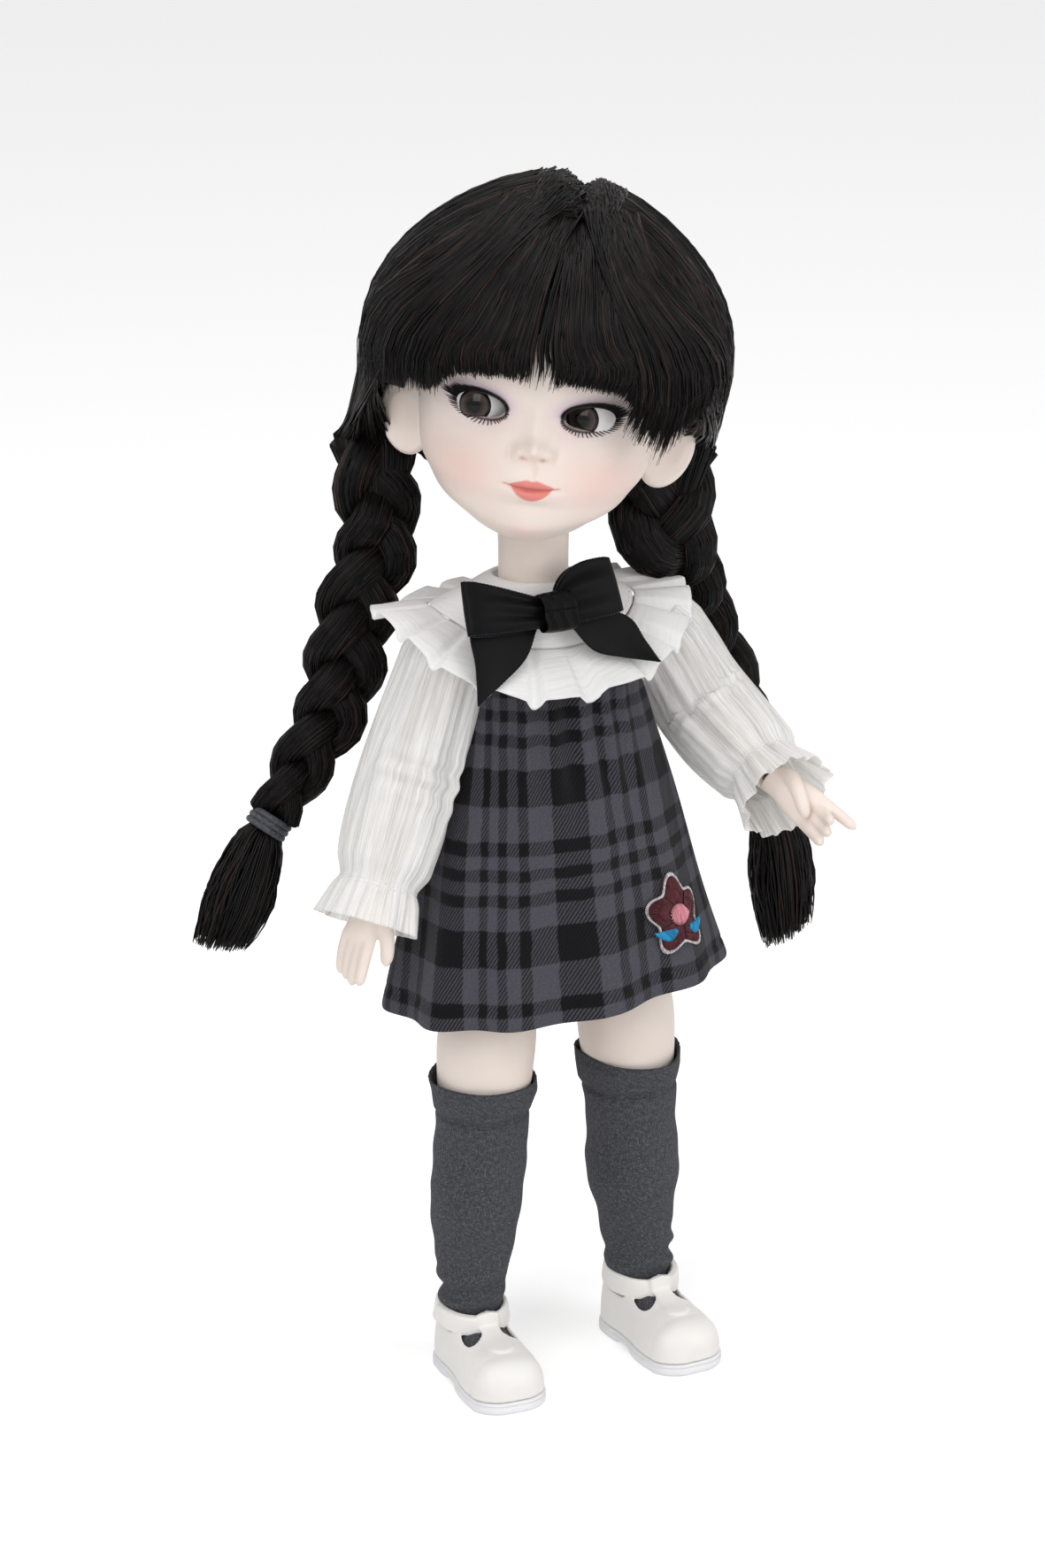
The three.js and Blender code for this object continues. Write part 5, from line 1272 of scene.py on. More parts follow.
# Twill: a diagonal line decides which thread lies on top.
diagonal = add(tree, "ShaderNodeMapping", {"Vector": uv, "Rotation": (0, 0, math.radians(33))})
twill = add(
    tree,
    "ShaderNodeTexWave",
    {"Vector": diagonal, "Scale": 0.36, "Distortion": 1.6, "Detail": 2.0, "Detail Scale": 2.5},
    wave_type="BANDS",
)
twill_out = twill.node.outputs["Fac"]
over = add(tree, "ShaderNodeMapRange", {0: twill_out, 1: 0.4, 2: 0.6})
top = add(tree, "ShaderNodeMix", {0: over, 2: warp, 3: weft}, data_type="FLOAT")
both = add(tree, "ShaderNodeMath", {0: warp, 1: weft}, operation="ADD")
even = add(tree, "ShaderNodeMath", {0: both, 1: 0.26}, operation="MULTIPLY")
dark = add(tree, "ShaderNodeMath", {0: top, 1: 0.58}, operation="MULTIPLY")
dark = add(tree, "ShaderNodeMath", {0: dark, 1: even}, operation="ADD", use_clamp=True)
mottle = add(tree, "ShaderNodeTexNoise", {"Vector": uv, "Scale": 1.6, "Detail": 3})
grey = add(tree, "ShaderNodeMix", {0: mottle, 6: "#39383F", 7: "#5A5962"}, **RGBA)
add(tree, "ShaderNodeMix", {0: dark, 6: grey, 7: "#09080B"}, to=inputs["Base Color"], **RGBA)
relief = add(tree, "ShaderNodeMath", {0: mottle, 1: 0.6}, operation="MULTIPLY")
relief = add(tree, "ShaderNodeMath", {0: relief, 1: twill_out}, operation="ADD")
add(
    tree, "ShaderNodeBump", {"Height": relief, "Distance": 0.00025, "Strength": 0.6},
    to=inputs["Normal"],
)
print("plaid repeats every 36.5 by 45 mm")

# %% [markdown]
# ## Pinafore
# An A-line pinafore in one flared tube: it hangs from the chest, the fullness is gathered under
# the collar, and soft folds open towards the hem, which is turned up inside. It is cut as a
# front and a back with side seams, and closes behind with tape. In the frame the skirt is two
# halves under the bodice, so it is here too, on one continuous surface, and the cloth's own
# grain runs through all three.

# %% The surface of the dress
DRESS_TOP, DRESS_HEM, DRESS_WAIST = 71.0, -18.8, 22.0  # over the hips


def dress_point(a, z, out=0.0):
    """A point of the dress at an angle round it and a height over the hips."""
    t = (DRESS_TOP - np.minimum(z, DRESS_TOP)) / (DRESS_TOP - DRESS_HEM)
    width = 30 + 23.0 * t + out
    depth = 21 + 17.0 * t + out
    c, s = np.cos(a), np.sin(a)
    squarer = 2 / 2.15
    # Gathers at the chest, in front of the middle, and wide soft folds at the hem.
    front = bump_at(a, -math.pi / 2 - 0.12, 0.75)
    pinch = np.sin(a * 24 + 0.6 + 0.02 * z + 0.7 * np.sin(a * 5))
    gather = 1.25 * front * bump_at(z, 62, 24) * pinch
    hem = 1.5 * t**2 * np.sin(a * 11)
    soft = 0.5 * t * np.sin(a * 7 + 1.1 + z * 0.02) + 0.3 * np.sin(a * 5 + z * 0.09)
    wave = gather + hem + soft
    x = (width + wave) * signed_power(c, squarer)
    y = np.where(s < 0, depth + wave, depth - 1 + wave) * signed_power(s, squarer)
    lean = -1.2 - 0.028 * z
    return np.stack([lean + x, y, z + 4 * t * x / 53], -1)


def dress_uv(a, z):
    """Cloth coordinates in mm: round the dress at its middle, and up."""
    t = (DRESS_TOP - np.minimum(z, DRESS_TOP)) / (DRESS_TOP - DRESS_HEM)
    girth = 0.5 * (41.5 + 29.5) + 0.5 * (30 + 23 * t + 21 + 17 * t)
    return np.stack([(a + math.pi / 2 + 0.17) * girth * 0.52 + 5.8, z + 2 + 0 * a], -1)


bodice_z = np.linspace(DRESS_WAIST, DRESS_TOP + 6.6, 52)
across = np.linspace(-1.5 * math.pi, 0.5 * math.pi, 301)
A, Z = np.meshgrid(across[:-1], bodice_z)
grid = placed(dress_point(A, Z, -0.05), TORSO)
bodice = cloth("bodice", grid, 1.1, -1.0, uv=dress_uv(*np.meshgrid(across, bodice_z)))
crisp(bodice)


def armhole(piece, side):
    """Opens the bodice for an arm with a slanting round cutter, then removes it."""
    bpy.ops.object.select_all(action="DESELECT")
    centre = SHOULDER[side] + [side * 2, 0, -2]
    bpy.ops.mesh.primitive_cylinder_add(
        vertices=64, radius=0.0142, depth=0.05, location=at_mm(centre)
    )
    cutter = bpy.context.object
    cutter.rotation_euler = (0, math.radians(90 + side * -18), 0)
    settle(cutter)
    modified(piece, "BOOLEAN", object=cutter, operation="DIFFERENCE", solver="EXACT")
    bpy.data.objects.remove(cutter)


for side in (-1, 1):
    armhole(bodice, side)
dress(bodice, "torso", plaid, "plaid_cloth", "dress_bodice")

# %% Skirt halves
for side in (-1, 1):
    name = NAMES[side]
    middle = 0 if side > 0 else math.pi
    a = np.linspace(middle - math.pi / 2, middle + math.pi / 2, 151)
    z_hem, z_rest = np.linspace(0, 7, 17)[:-1], np.linspace(7, DRESS_WAIST - DRESS_HEM, 40)
    A, Z = np.meshgrid(a, DRESS_HEM + np.concatenate([z_hem, z_rest]))
    # The hem is turned up and stitched 6 mm above its fold, which draws the cloth in a little.
    row = 0.4 * bump_at(Z, DRESS_HEM + 6, 0.8) * (0.7 + 0.3 * np.sin(A * 60))
    grid = dress_point(A, Z, -0.05 - row)
    turned = 0.45 * np.exp(-((Z - DRESS_HEM) / 0.6))
    grid = grid - unit(grid * [1, 1, 0]) * turned[..., None]
    flat = dress_uv(A if side > 0 else A - 2 * math.pi, Z)
    half = cloth(f"skirt_{name}_cloth", placed(grid, TORSO), 1.1, -1.0, wrap=False, uv=flat)
    crisp(half)
    dress(half, "torso", plaid, "plaid_cloth", "skirt_" + name)
    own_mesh(half)

# %% [markdown]
# ## Blouse
# Under the pinafore the blouse lies close over the chest and the back. Only a strip of it shows
# behind, between the collar's frill and the pinafore's top edge.

# %% Blouse body
CHEST_ROWS = [
    [36, 23, 15.5, 13.5], [48, 24, 17, 14], [60, 25.5, 18.5, 15], [70, 26, 18.5, 15.5],
    [80, 26, 16.5, 15], [88, 24.5, 13.5, 13], [94, 17, 11.5, 11.5], [99, 12, 10.5, 10.5],
]


def blouse_point(a, z):
    """The torso's own section, 0.9 to 1.6 mm larger, at heights over the hips."""
    wide, front, back = np.moveaxis(smooth_rows(CHEST_ROWS, z), -1, 0)
    c, s = np.cos(a), np.sin(a)
    out = 0.9 + 0.7 * ease((z - 76) / 10)
    out += 0.2 * np.sin(a * 9 + z * 0.15) + 0.12 * np.sin(a * 17 - z * 0.2)
    x = (wide + out) * signed_power(c, 0.91)
    y = (np.where(s < 0, front, back) + out) * signed_power(s, 0.91)
    middle = -LEAN * z + 5.8 * z / 88 * np.where(z < 88, 1, (99 - z) / 11)
    return np.stack([middle + x, y, z + 0 * a], -1)


A, Z = np.meshgrid(circle(120), np.linspace(48, 96, 30))
blouse = cloth("blouse_body", placed(blouse_point(A, Z), TORSO), 0.4)
print("blouse body:", len(blouse.data.polygons), "faces")

# %% [markdown]
# ## Blouse collar
# White cotton lawn: a round yoke drapes over the shoulders and a frill with flat knife pleats is
# sewn to its edge, turned in and topstitched. The frill is finished with a fine rolled edge.

# %% Cotton lawn
lawn, tree, inputs = finish(
    "cotton_lawn",
    "#F3F2F1",
    0.88,
    Sheen_Weight=0.15,
    Subsurface_Weight=0.05,
    Subsurface_Scale=0.001,
)
uv = add(tree, "ShaderNodeUVMap", uv_map="UVMap")
crumple = add(tree, "ShaderNodeTexNoise", {"Vector": uv, "Scale": 0.11, "Detail": 3})
weave = add(tree, "ShaderNodeTexNoise", {"Vector": uv, "Scale": 3.2, "Detail": 2})
height = add(tree, "ShaderNodeMath", {0: weave, 1: 0.12}, operation="MULTIPLY")
height = add(tree, "ShaderNodeMath", {0: height, 1: crumple}, operation="ADD")
add(
    tree, "ShaderNodeBump", {"Height": height, "Distance": 0.0011, "Strength": 0.55},
    to=inputs["Normal"],
)
add(
    tree, "ShaderNodeMix", {0: crumple, 6: "#F6F6F7", 7: "#EBE9E7"},
    to=inputs["Base Color"], **RGBA,
)

# %% Yoke and frill
dress(blouse, "torso", lawn, "blouse_cotton")
COLLAR_HOLE = 12.2
SEAM = {"side": 7, "front": 18, "back": 6, "turn": 5}  # how far the seam hangs below the neck


def collar_point(a, t, spread=0.0, fall=0.0, lift=0.0):
    """A point of the collar, at an angle and from the neck at t = 0 to its seam at t = 1."""
    front = np.maximum(-np.sin(a), 0) ** 1.5
    behind = np.maximum(np.sin(a), 0) ** 1.5
    drop = SEAM["side"] + (SEAM["front"] - SEAM["side"]) * front
    drop += (SEAM["back"] - SEAM["turn"] * np.cos(a) - SEAM["side"]) * behind
    width = COLLAR_HOLE + (32 - COLLAR_HOLE) * t + spread
    depth = COLLAR_HOLE + (17.5 - COLLAR_HOLE) * t + spread * np.where(np.sin(a) < 0, 0.68, 0.3)
    high = 7 - drop * t**1.15 - fall * (1 + 12 * front) + lift
    return np.stack([width * np.cos(a), depth * np.sin(a), high], -1)


a = circle(160)
A, T = np.meshgrid(a, np.linspace(0, 1, 24))
soft = 0.25 * np.sin(A * 9 + 1) * T + 0.2 * np.sin(A * 17 + T * 4) * T * (1 - T)
grid = collar_point(A, T, lift=0.5 + soft)
neck_rim = [collar_point(a, 0 * a, -0.3, 0, 0.5 - d) for d in (1.2, 0.3)]
yoke = cloth("yoke", placed(np.concatenate([neck_rim, grid]), COLLAR), 0.6)
dress(yoke, "torso", lawn, "blouse_cotton", "collar_yoke")


def pleat(phase):
    """A knife pleat's rise over one repeat: a wide flat panel and a narrow fold under it."""
    knots = [0.0, 0.1, 0.18, 0.55, 0.72, 0.82, 0.9, 1.0]
    rises = [0.0, 1.0, 1.05, 0.9, 0.6, -0.8, -0.9, -0.2]
    return np.interp(phase, knots, rises)


PLEATS, FRILL_WIDE = 18, 18.5
A, U = np.meshgrid(circle(576), np.linspace(0, 1, 24))
rng = np.random.default_rng(2)
# The pleats are a little uneven in their places and their depths.
place = (A + 0.05 * np.sin(A * 3 + 1) + 0.03 * np.sin(A * 7)) * PLEATS / (2 * math.pi)
which = np.floor(place).astype(int) % PLEATS
deep = rng.uniform(0.75, 1.25, PLEATS)[which]
reach = FRILL_WIDE * (0.015 + 0.985 * U) + 0.4
rise = pleat(place % 1) * 1.6 * deep * U**0.6
rise += 0.9 * np.sin(A * 4 + 0.7) * U**2 + 0.5 * np.sin(A * 9 + 2) * U**2
longer = rng.uniform(-0.5, 0.5, PLEATS)[which] * U
frill = cloth("frill", placed(collar_point(A, 1.0, reach + longer, U, 0.5 + rise), COLLAR), 0.5)
dress(frill, "torso", lawn, "blouse_cotton", "collar_ruffle")

# %% [markdown]
# ### Stitches
# A stitch is a short thread that sinks into the cloth at both ends. One function lays a row of
# them along a line, and it serves the yoke seam, the shirring, the placket and the ribbon.


# %% Rows of stitches
def stitches(name, line, out, long=1.5, space=0.8, radius=0.14):
    """A row of stitches along a line, with the outward way of the line or of each point."""
    far = far_along(line)
    out = np.broadcast_to(out, line.shape)
    starts = np.arange(space, far[-1] - long, long + space)
    paths = []
    for s in starts:
        at = s + long * np.array([0, 0.15, 0.5, 0.85, 1.0])
        bow = np.array([-0.12, 0.1, 0.16, 0.1, -0.12])[:, None]
        paths.append(read_at(at, far, line) + unit(read_at(at, far, out)) * bow)
    return strands(name, np.array(paths), radius, taper=0.7)


thread, _, _ = finish("cotton_thread", "#F5F4F2", 0.8)
a = np.linspace(0, 2 * math.pi, 400)
line = placed(collar_point(a, 0.955 + 0 * a, lift=0.85 + 0.2 * np.sin(a * 9 + 1)), COLLAR)
seam_row = stitches("yoke_stitches", line, [0, -0.25, 1.0], long=1.3, space=0.9, radius=0.16)
dress(seam_row, "torso", thread, "blouse_cotton")

# %% [markdown]
# ## Satin bow
# The bow is folded from 15 mm polyester satin ribbon: two flat loops, a knot band round their
# middle and two tails cut on a slant. Satin shines along its floats, so it has a soft, broad
# highlight. Its edges are picot: tiny thread loops stand along the selvedge.

# %% Satin
satin, tree, inputs = finish("black_satin", "#0B0B0D", 0.36, Specular_IOR_Level=0.07)
uv = add(tree, "ShaderNodeUVMap", uv_map="UVMap")
rib = add(tree, "ShaderNodeMapping", {"Vector": uv, "Scale": (1.0, 7.0, 1)})
floats_and_sheen = add(tree, "ShaderNodeTexNoise", {"Vector": rib, "Scale": 1.0, "Detail": 2})
add(
    tree, "ShaderNodeBump", {"Height": floats_and_sheen, "Distance": 0.0001, "Strength": 0.5},
    to=inputs["Normal"],
)
# The floats also lighten the colour a little in streaks along the ribbon: painted sheen.
add(tree, "ShaderNodeMix", {0: floats_and_sheen, 6: "#060607", 7: "#101012"}, to=inputs["Base Color"], **RGBA)

# %% Loops of the bow
RIBBON_HALF = 7.8  # half the ribbon's width


def bow_loop(way, reach, rise, swell):
    """A ribbon folded back on itself: it leaves the knot, turns at the end and comes back."""
    rows = []
    tilt = math.tan(math.radians(rise))
    for s in np.linspace(0, 1, 61):
        x = way * reach * (1 - abs(2 * s - 1) ** 2.2)
        out = 3.3 * math.cos(math.pi * s) * (math.sin(math.pi * s) ** 0.45 if 0 < s < 1 else 0)
        near = 1 - math.exp(-((1 - abs(2 * s - 1)) * 3.2))
        wide = RIBBON_HALF * (0.42 + 0.58 * min(near * 1.15, 1))
        row = []
        for v in np.linspace(-1, 1, 25):
            crease = 0.9 * (1 - near) * math.sin(v * 7.0)
            belly = 0.5 * math.cos(v * math.pi / 2) * near * (1 if s < 0.5 else -1)
            puff = swell * math.sin(math.pi * min(abs(x) / reach, 1) ** 0.6) * (v + 1) / 2
            z = abs(x) * tilt + wide * v + puff
            row.append([x - way * 0.6 * v * near, -out - crease - belly, z])
        rows.append(row)
    return np.array(rows)


# Way, reach, tilt in degrees and swelling of the loops on the doll's right and left.
LOOPS = [placed(bow_loop(*form), BOW) for form in ((-1, 27.6, 9.4, -0.8), (1, 21.2, 15, 4.6))]
RIBBON_THICK = 0.4
loop_parts = [cloth("loop", sheet, RIBBON_THICK, wrap=False) for sheet in LOOPS]
loops = joined("bow_loops_satin", *loop_parts)
dress(loops, "torso", satin, "satin_ribbon", "bow_loops")

# %% Knot
V, S = np.meshgrid(np.linspace(-1, 1, 23), [*circle(64), 0])
fold = 0.28 * np.sin(V * 9 + np.sin(S) * 1.5)
z = (5.3 + 0.35 * (1 - V * V)) * np.sin(S)
flat = signed_power(np.cos(S), 0.5)
y = -1.5 - 3.3 * flat - np.where(flat > 0, fold, 0)
grid = np.stack([5.2 * V + 0.25 * np.sin(z), y, z], -1)
knot = cloth("knot", placed(grid, BOW), RIBBON_THICK, wrap=False)
dress(knot, "torso", satin, "satin_ribbon", "bow_knot")


# %% Tails
def tail_sheet(inner, outer):
    """A flat ribbon between two edges, from the knot to its slanted end."""
    inner, outer = curve_through(inner, 40), curve_through(outer, 40)
    v = np.linspace(0, 1, 22)[None, :, None]
    flat = inner[:, None] * (1 - v) + outer[:, None] * v
    s = np.linspace(0, 1, 40)[:, None]
    y = 2.9 + 0.55 * np.sin(v[..., 0] * 3.1 + s * 3.0) * s + 0.5 * s
    return np.stack([flat[..., 0], y, flat[..., 2]], -1)


# The inner and the outer edge of the tails on the doll's right and left.
TAIL_EDGES = (
    (
        [(-3, 0, 0.5), (-5.6, 0, -4.4), (-10.3, 0, -11.6), (-18.5, 0, -17.4), (-28.0, 0, -23.0)],
        [(-3.5, 0, 3.5), (-14, 0, 1.2), (-25.4, 0, -0.9), (-26.6, 0, -12), (-28.1, 0, -23.2)],
    ),
    (
        [(3, 0, 0.5), (6.2, 0, -4.6), (11.7, 0, -12.0), (20, 0, -15.0), (32.0, 0, -18.0)],
        [(3.5, 0, 3.5), (15, 0, 0.5), (24.8, 0, -4.0), (28.4, 0, -11), (32.1, 0, -18.1)],
    ),
)
TAILS = [placed(tail_sheet(inner, outer), BOW) for inner, outer in TAIL_EDGES]
tail_parts = [cloth("tail", sheet, RIBBON_THICK, wrap=False) for sheet in TAILS]
tails = joined("bow_tails_satin", *tail_parts)
dress(tails, "torso", satin, "satin_ribbon", "bow_tails")

# %% [markdown]
# ## Body
# The body is rotocast vinyl in the same matt skin as the head. What shows of it, the neck, the
# thighs and the hands, is modelled again with round sections; the torso, the arms and the
# shins are hidden by cloth, so the frame's own solids get the vinyl and stay.


# %% Rings along a line
def rings_along(centres, wide, deep=None, side=(1, 0, 0), count=40, ways=None):
    """Rows of rings round a line of points, each square to it. side points to column 0."""
    centres = np.asarray(centres, float)
    ways = unit(np.gradient(centres, axis=0) if ways is None else ways)
    ways = np.broadcast_to(ways, centres.shape)
    wide = np.broadcast_to(np.asarray(wide, float), len(centres))
    deep = wide if deep is None else np.broadcast_to(np.asarray(deep, float), len(centres))
    side = np.broadcast_to(np.asarray(side, float), ways.shape)
    across = unit(side - ways * (side * ways).sum(-1, keepdims=True))
    other = np.cross(ways, across)
    a = circle(count)
    return (
        centres[:, None]
        + across[:, None] * (wide[:, None] * np.cos(a))[..., None]
        + other[:, None] * (deep[:, None] * np.sin(a))[..., None]
    )


# %% Neck
z = np.array([0.35, 0.6, 1.2, 6, 12, 18, 22.6, 23.4, 23.8])
radius = np.array([9.4, 10.1, 10.4, 10.3, 10.2, 10.3, 10.4, 10.1, 9.4])
grid = rings_along(np.stack([0 * z, 0 * z, z], 1), radius, count=64)
neck = skin("neck", placed(grid, NECK), caps=(True, True))
modified(neck, "SUBSURF", levels=1, render_levels=1)
dress(neck, "torso", vinyl, "vinyl_skin", "neck_column")

# %% Thighs
LEG_OUT = math.tan(math.radians(3.6))
HIPS = {side: np.array([0.3 + side * 21.3, 0, HIP_HEIGHT]) for side in (-1, 1)}
HIP_BALL, KNEE_Z = 13.0, -64.0  # the hip's radius, and the knee's height under the hip


def leg_line(side, z, forward=0.0):
    """The middle of a leg at heights under its hip."""
    z = np.asarray(z, float)
    return np.stack([side * LEG_OUT * -z, forward + 0 * z, z], -1) + HIPS[side]


THIGH_ROWS = [
    [-76.6, 12.2], [-64, 12.6], [-48, 14.2], [-34, 14.8], [-20, 13.2], [-12, 12.8], [0, 9],
]
z = np.concatenate([np.linspace(-76.4, KNEE_Z, 10), np.linspace(-62, 12.7, 60)])
ball = np.sqrt(np.maximum(HIP_BALL**2 - z**2, 0.3))
limb = smooth_rows(THIGH_ROWS, np.minimum(z, 0))[:, 0]
knee_end = np.sqrt(np.clip(1 - ((KNEE_Z - z) / 13.2) ** 2, 0.02, 1))
radius = np.where(z < -4, limb, ball)
radius = np.where(z < KNEE_Z, limb * knee_end, radius)
for side in (-1, 1):
    grid = rings_along(leg_line(side, z), radius, count=56, ways=[0, 0, 1.0])
    thigh = skin("thigh_" + NAMES[side] + "_vinyl", grid, caps=(True, True))
    dress(thigh, "thigh_" + NAMES[side], vinyl, "vinyl_skin", "thigh_" + NAMES[side])

# %% [markdown]
# ## Hands
# Small moulded hands: a flat palm, four tapering fingers that curl a little, and a thumb. The
# fingers grow out of the palm without an edge, so they are modelled as separate lofts, merged
# into one body by a voxel remesh and smoothed, as clay would be.

# %% Places of the arms
ARM_WAYS = {
    -1: {"upper": (-13, 1, -31.5), "fore": (-15.6, -8.5, -32.7), "hand": (-15, -5, -27),
         "thumb": (0.45, -1, 0), "curl": 0.16},
    1: {"upper": (18.3, 5, -25), "fore": (3.1, -36, -14.4), "hand": (15.9, -25.6, -17),
        "thumb": (0.45, 0.1, 0.9), "curl": 0.22},
}
UPPER_ARM, FOREARM, HAND_LONG = 35.5, 39.0, 32.0
ELBOW, WRIST = {}, {}
for side, ways in ARM_WAYS.items():
    ELBOW[side] = SHOULDER[side] + unit(ways["upper"]) * UPPER_ARM
    WRIST[side] = ELBOW[side] + unit(ways["fore"]) * FOREARM
    print(NAMES[side], "elbow", ELBOW[side].round(1), "wrist", WRIST[side].round(1))

# The four fingers of each hand: place across the palm, length as a part of the hand's, curl,
# and the way sideways at the tip. Then the points of each thumb, down, across and forward.
FINGERS = {
    -1: [(2, 0.44, 0.30, -0.3), (1, 0.47, 0.24, -0.1), (0, 0.5, 0.17, 0.2), (-1, 0.47, 0.1, 0.7)],
    1: [(2, 0.5, 0.42, -0.9), (1, 0.53, 0.5, -0.4), (0, 0.5, 0.62, 0.0), (-1, 0.56, 0.04, -0.2)],
}
THUMBS = {
    -1: [(3.4, 2.2, 0.4), (7, 5.0, 1.6), (11, 6.8, 3.4), (15, 7.6, 5.2), (19.4, 7.8, 6.8)],
    1: [(3.0, 3.0, 0.8), (6.4, 3.8, 3.0), (10, 2.6, 5.0), (14, 0.2, 5.8), (18, -2.6, 5.4)],
}


# %% One hand
def make_hand(side):
    ways = ARM_WAYS[side]
    down = unit(ways["hand"])
    broad = np.array(ways["thumb"], float)
    broad = unit(broad - down * broad.dot(down))
    flat = np.cross(down, broad) * side
    fore = unit(ways["fore"])
    root = WRIST[side] + fore * 0.3

    def at(rows):
        rows = np.asarray(rows, float)
        return root + rows[:, :1] * down + rows[:, 1:2] * broad + rows[:, 2:3] * flat

    def limb(route, wide, deep=None):
        t = np.linspace(0, 1, len(wide))
        u = np.linspace(0, 1, 26)
        line = curve_through(at(route), 26)
        w = np.interp(u, t, wide)
        d = w if deep is None else np.interp(u, t, deep)
        tip = np.sqrt(np.clip(1 - np.clip((u - 0.82) / 0.18, 0, 1) ** 2, 0.03, 1))
        rings = rings_along(line, w * tip, d * tip, side=broad, count=20)
        return skin("limb", rings, caps=(True, True))

    palm_rows = [(0.2, 0, 0), (3, 0, 0), (8, 0.2, 0), (13, 0, 0.2), (17, -0.4, 0.6)]
    pieces = [limb(palm_rows, [4.3, 4.4, 5.4, 6.0, 5.6], [4.2, 3.9, 3.5, 3.1, 2.4])]
    for i, share, curl, lean in FINGERS[side]:
        length = HAND_LONG * share
        across = 2.75 * (0.5 - i)
        t = np.linspace(0, 1, 5)
        out = 13 + length * t * (1 - 0.35 * curl * t)
        route = np.stack([out, across + lean * 1.6 * t, curl * t**1.7 * length], 1)
        pieces.append(limb(route, [1.9, 1.9, 1.85, 1.75, 1.6]))
    pieces.append(limb(THUMBS[side], [2.7, 2.5, 2.3, 2.1, 1.8]))
    hand = joined("hand_" + NAMES[side] + "_vinyl", *pieces)
    moulded(hand, 0.45, 6)
    dress(hand, "hand_" + NAMES[side], vinyl, "vinyl_skin", "hand_" + NAMES[side])


for side in (-1, 1):
    make_hand(side)

# %% [markdown]
# ## Sheer sleeves
# The sleeves are crinkled voile, so thin that the arm shows through. The yarn is puckered in
# lengthwise stripes, a few threads opaque and a few sheer. A sleeve is one loose tube, fuller
# at the elbow, drawn in over the wrist by elastic, with a frill under it; at the elbow it turns
# from the upper arm's way to the forearm's.

# %% Voile
voile, tree, inputs = finish("crinkled_voile", "#F5F3F0", 0.75, Sheen_Weight=0.2)
uv = add(tree, "ShaderNodeUVMap", uv_map="UVMap")
lengths = add(tree, "ShaderNodeMapping", {"Vector": uv, "Scale": (0.9, 0.02, 1)})
crinkle = add(tree, "ShaderNodeTexNoise", {"Vector": lengths, "Scale": 1.0, "Detail": 4})
fine_way = add(tree, "ShaderNodeMapping", {"Vector": uv, "Scale": (2.4, 0.05, 1)})
fine = add(tree, "ShaderNodeTexNoise", {"Vector": fine_way, "Scale": 1.0, "Detail": 3})
both = add(tree, "ShaderNodeMath", {0: crinkle, 1: fine}, operation="ADD")
thick = add(
    tree, "ShaderNodeMapRange", {0: both, 1: 0.82, 2: 1.2, 3: 0.42, 4: 0.74}, to=inputs["Alpha"]
)
add(tree, "ShaderNodeMix", {0: thick, 6: "#F6F3EF", 7: "#FDFDFC"}, to=inputs["Base Color"], **RGBA)
add(
    tree, "ShaderNodeBump", {"Height": both, "Distance": 0.00015, "Strength": 0.4},
    to=inputs["Normal"],
)


# %% One sleeve
CAP, MAIN, FRILL = 6, 66, 18  # rings at the shoulder, along the arm and in the frill
ELASTIC = CAP + MAIN - 1  # the ring that the elastic draws in
SLEEVE_ROUND = 84  # mm of cloth round a sleeve


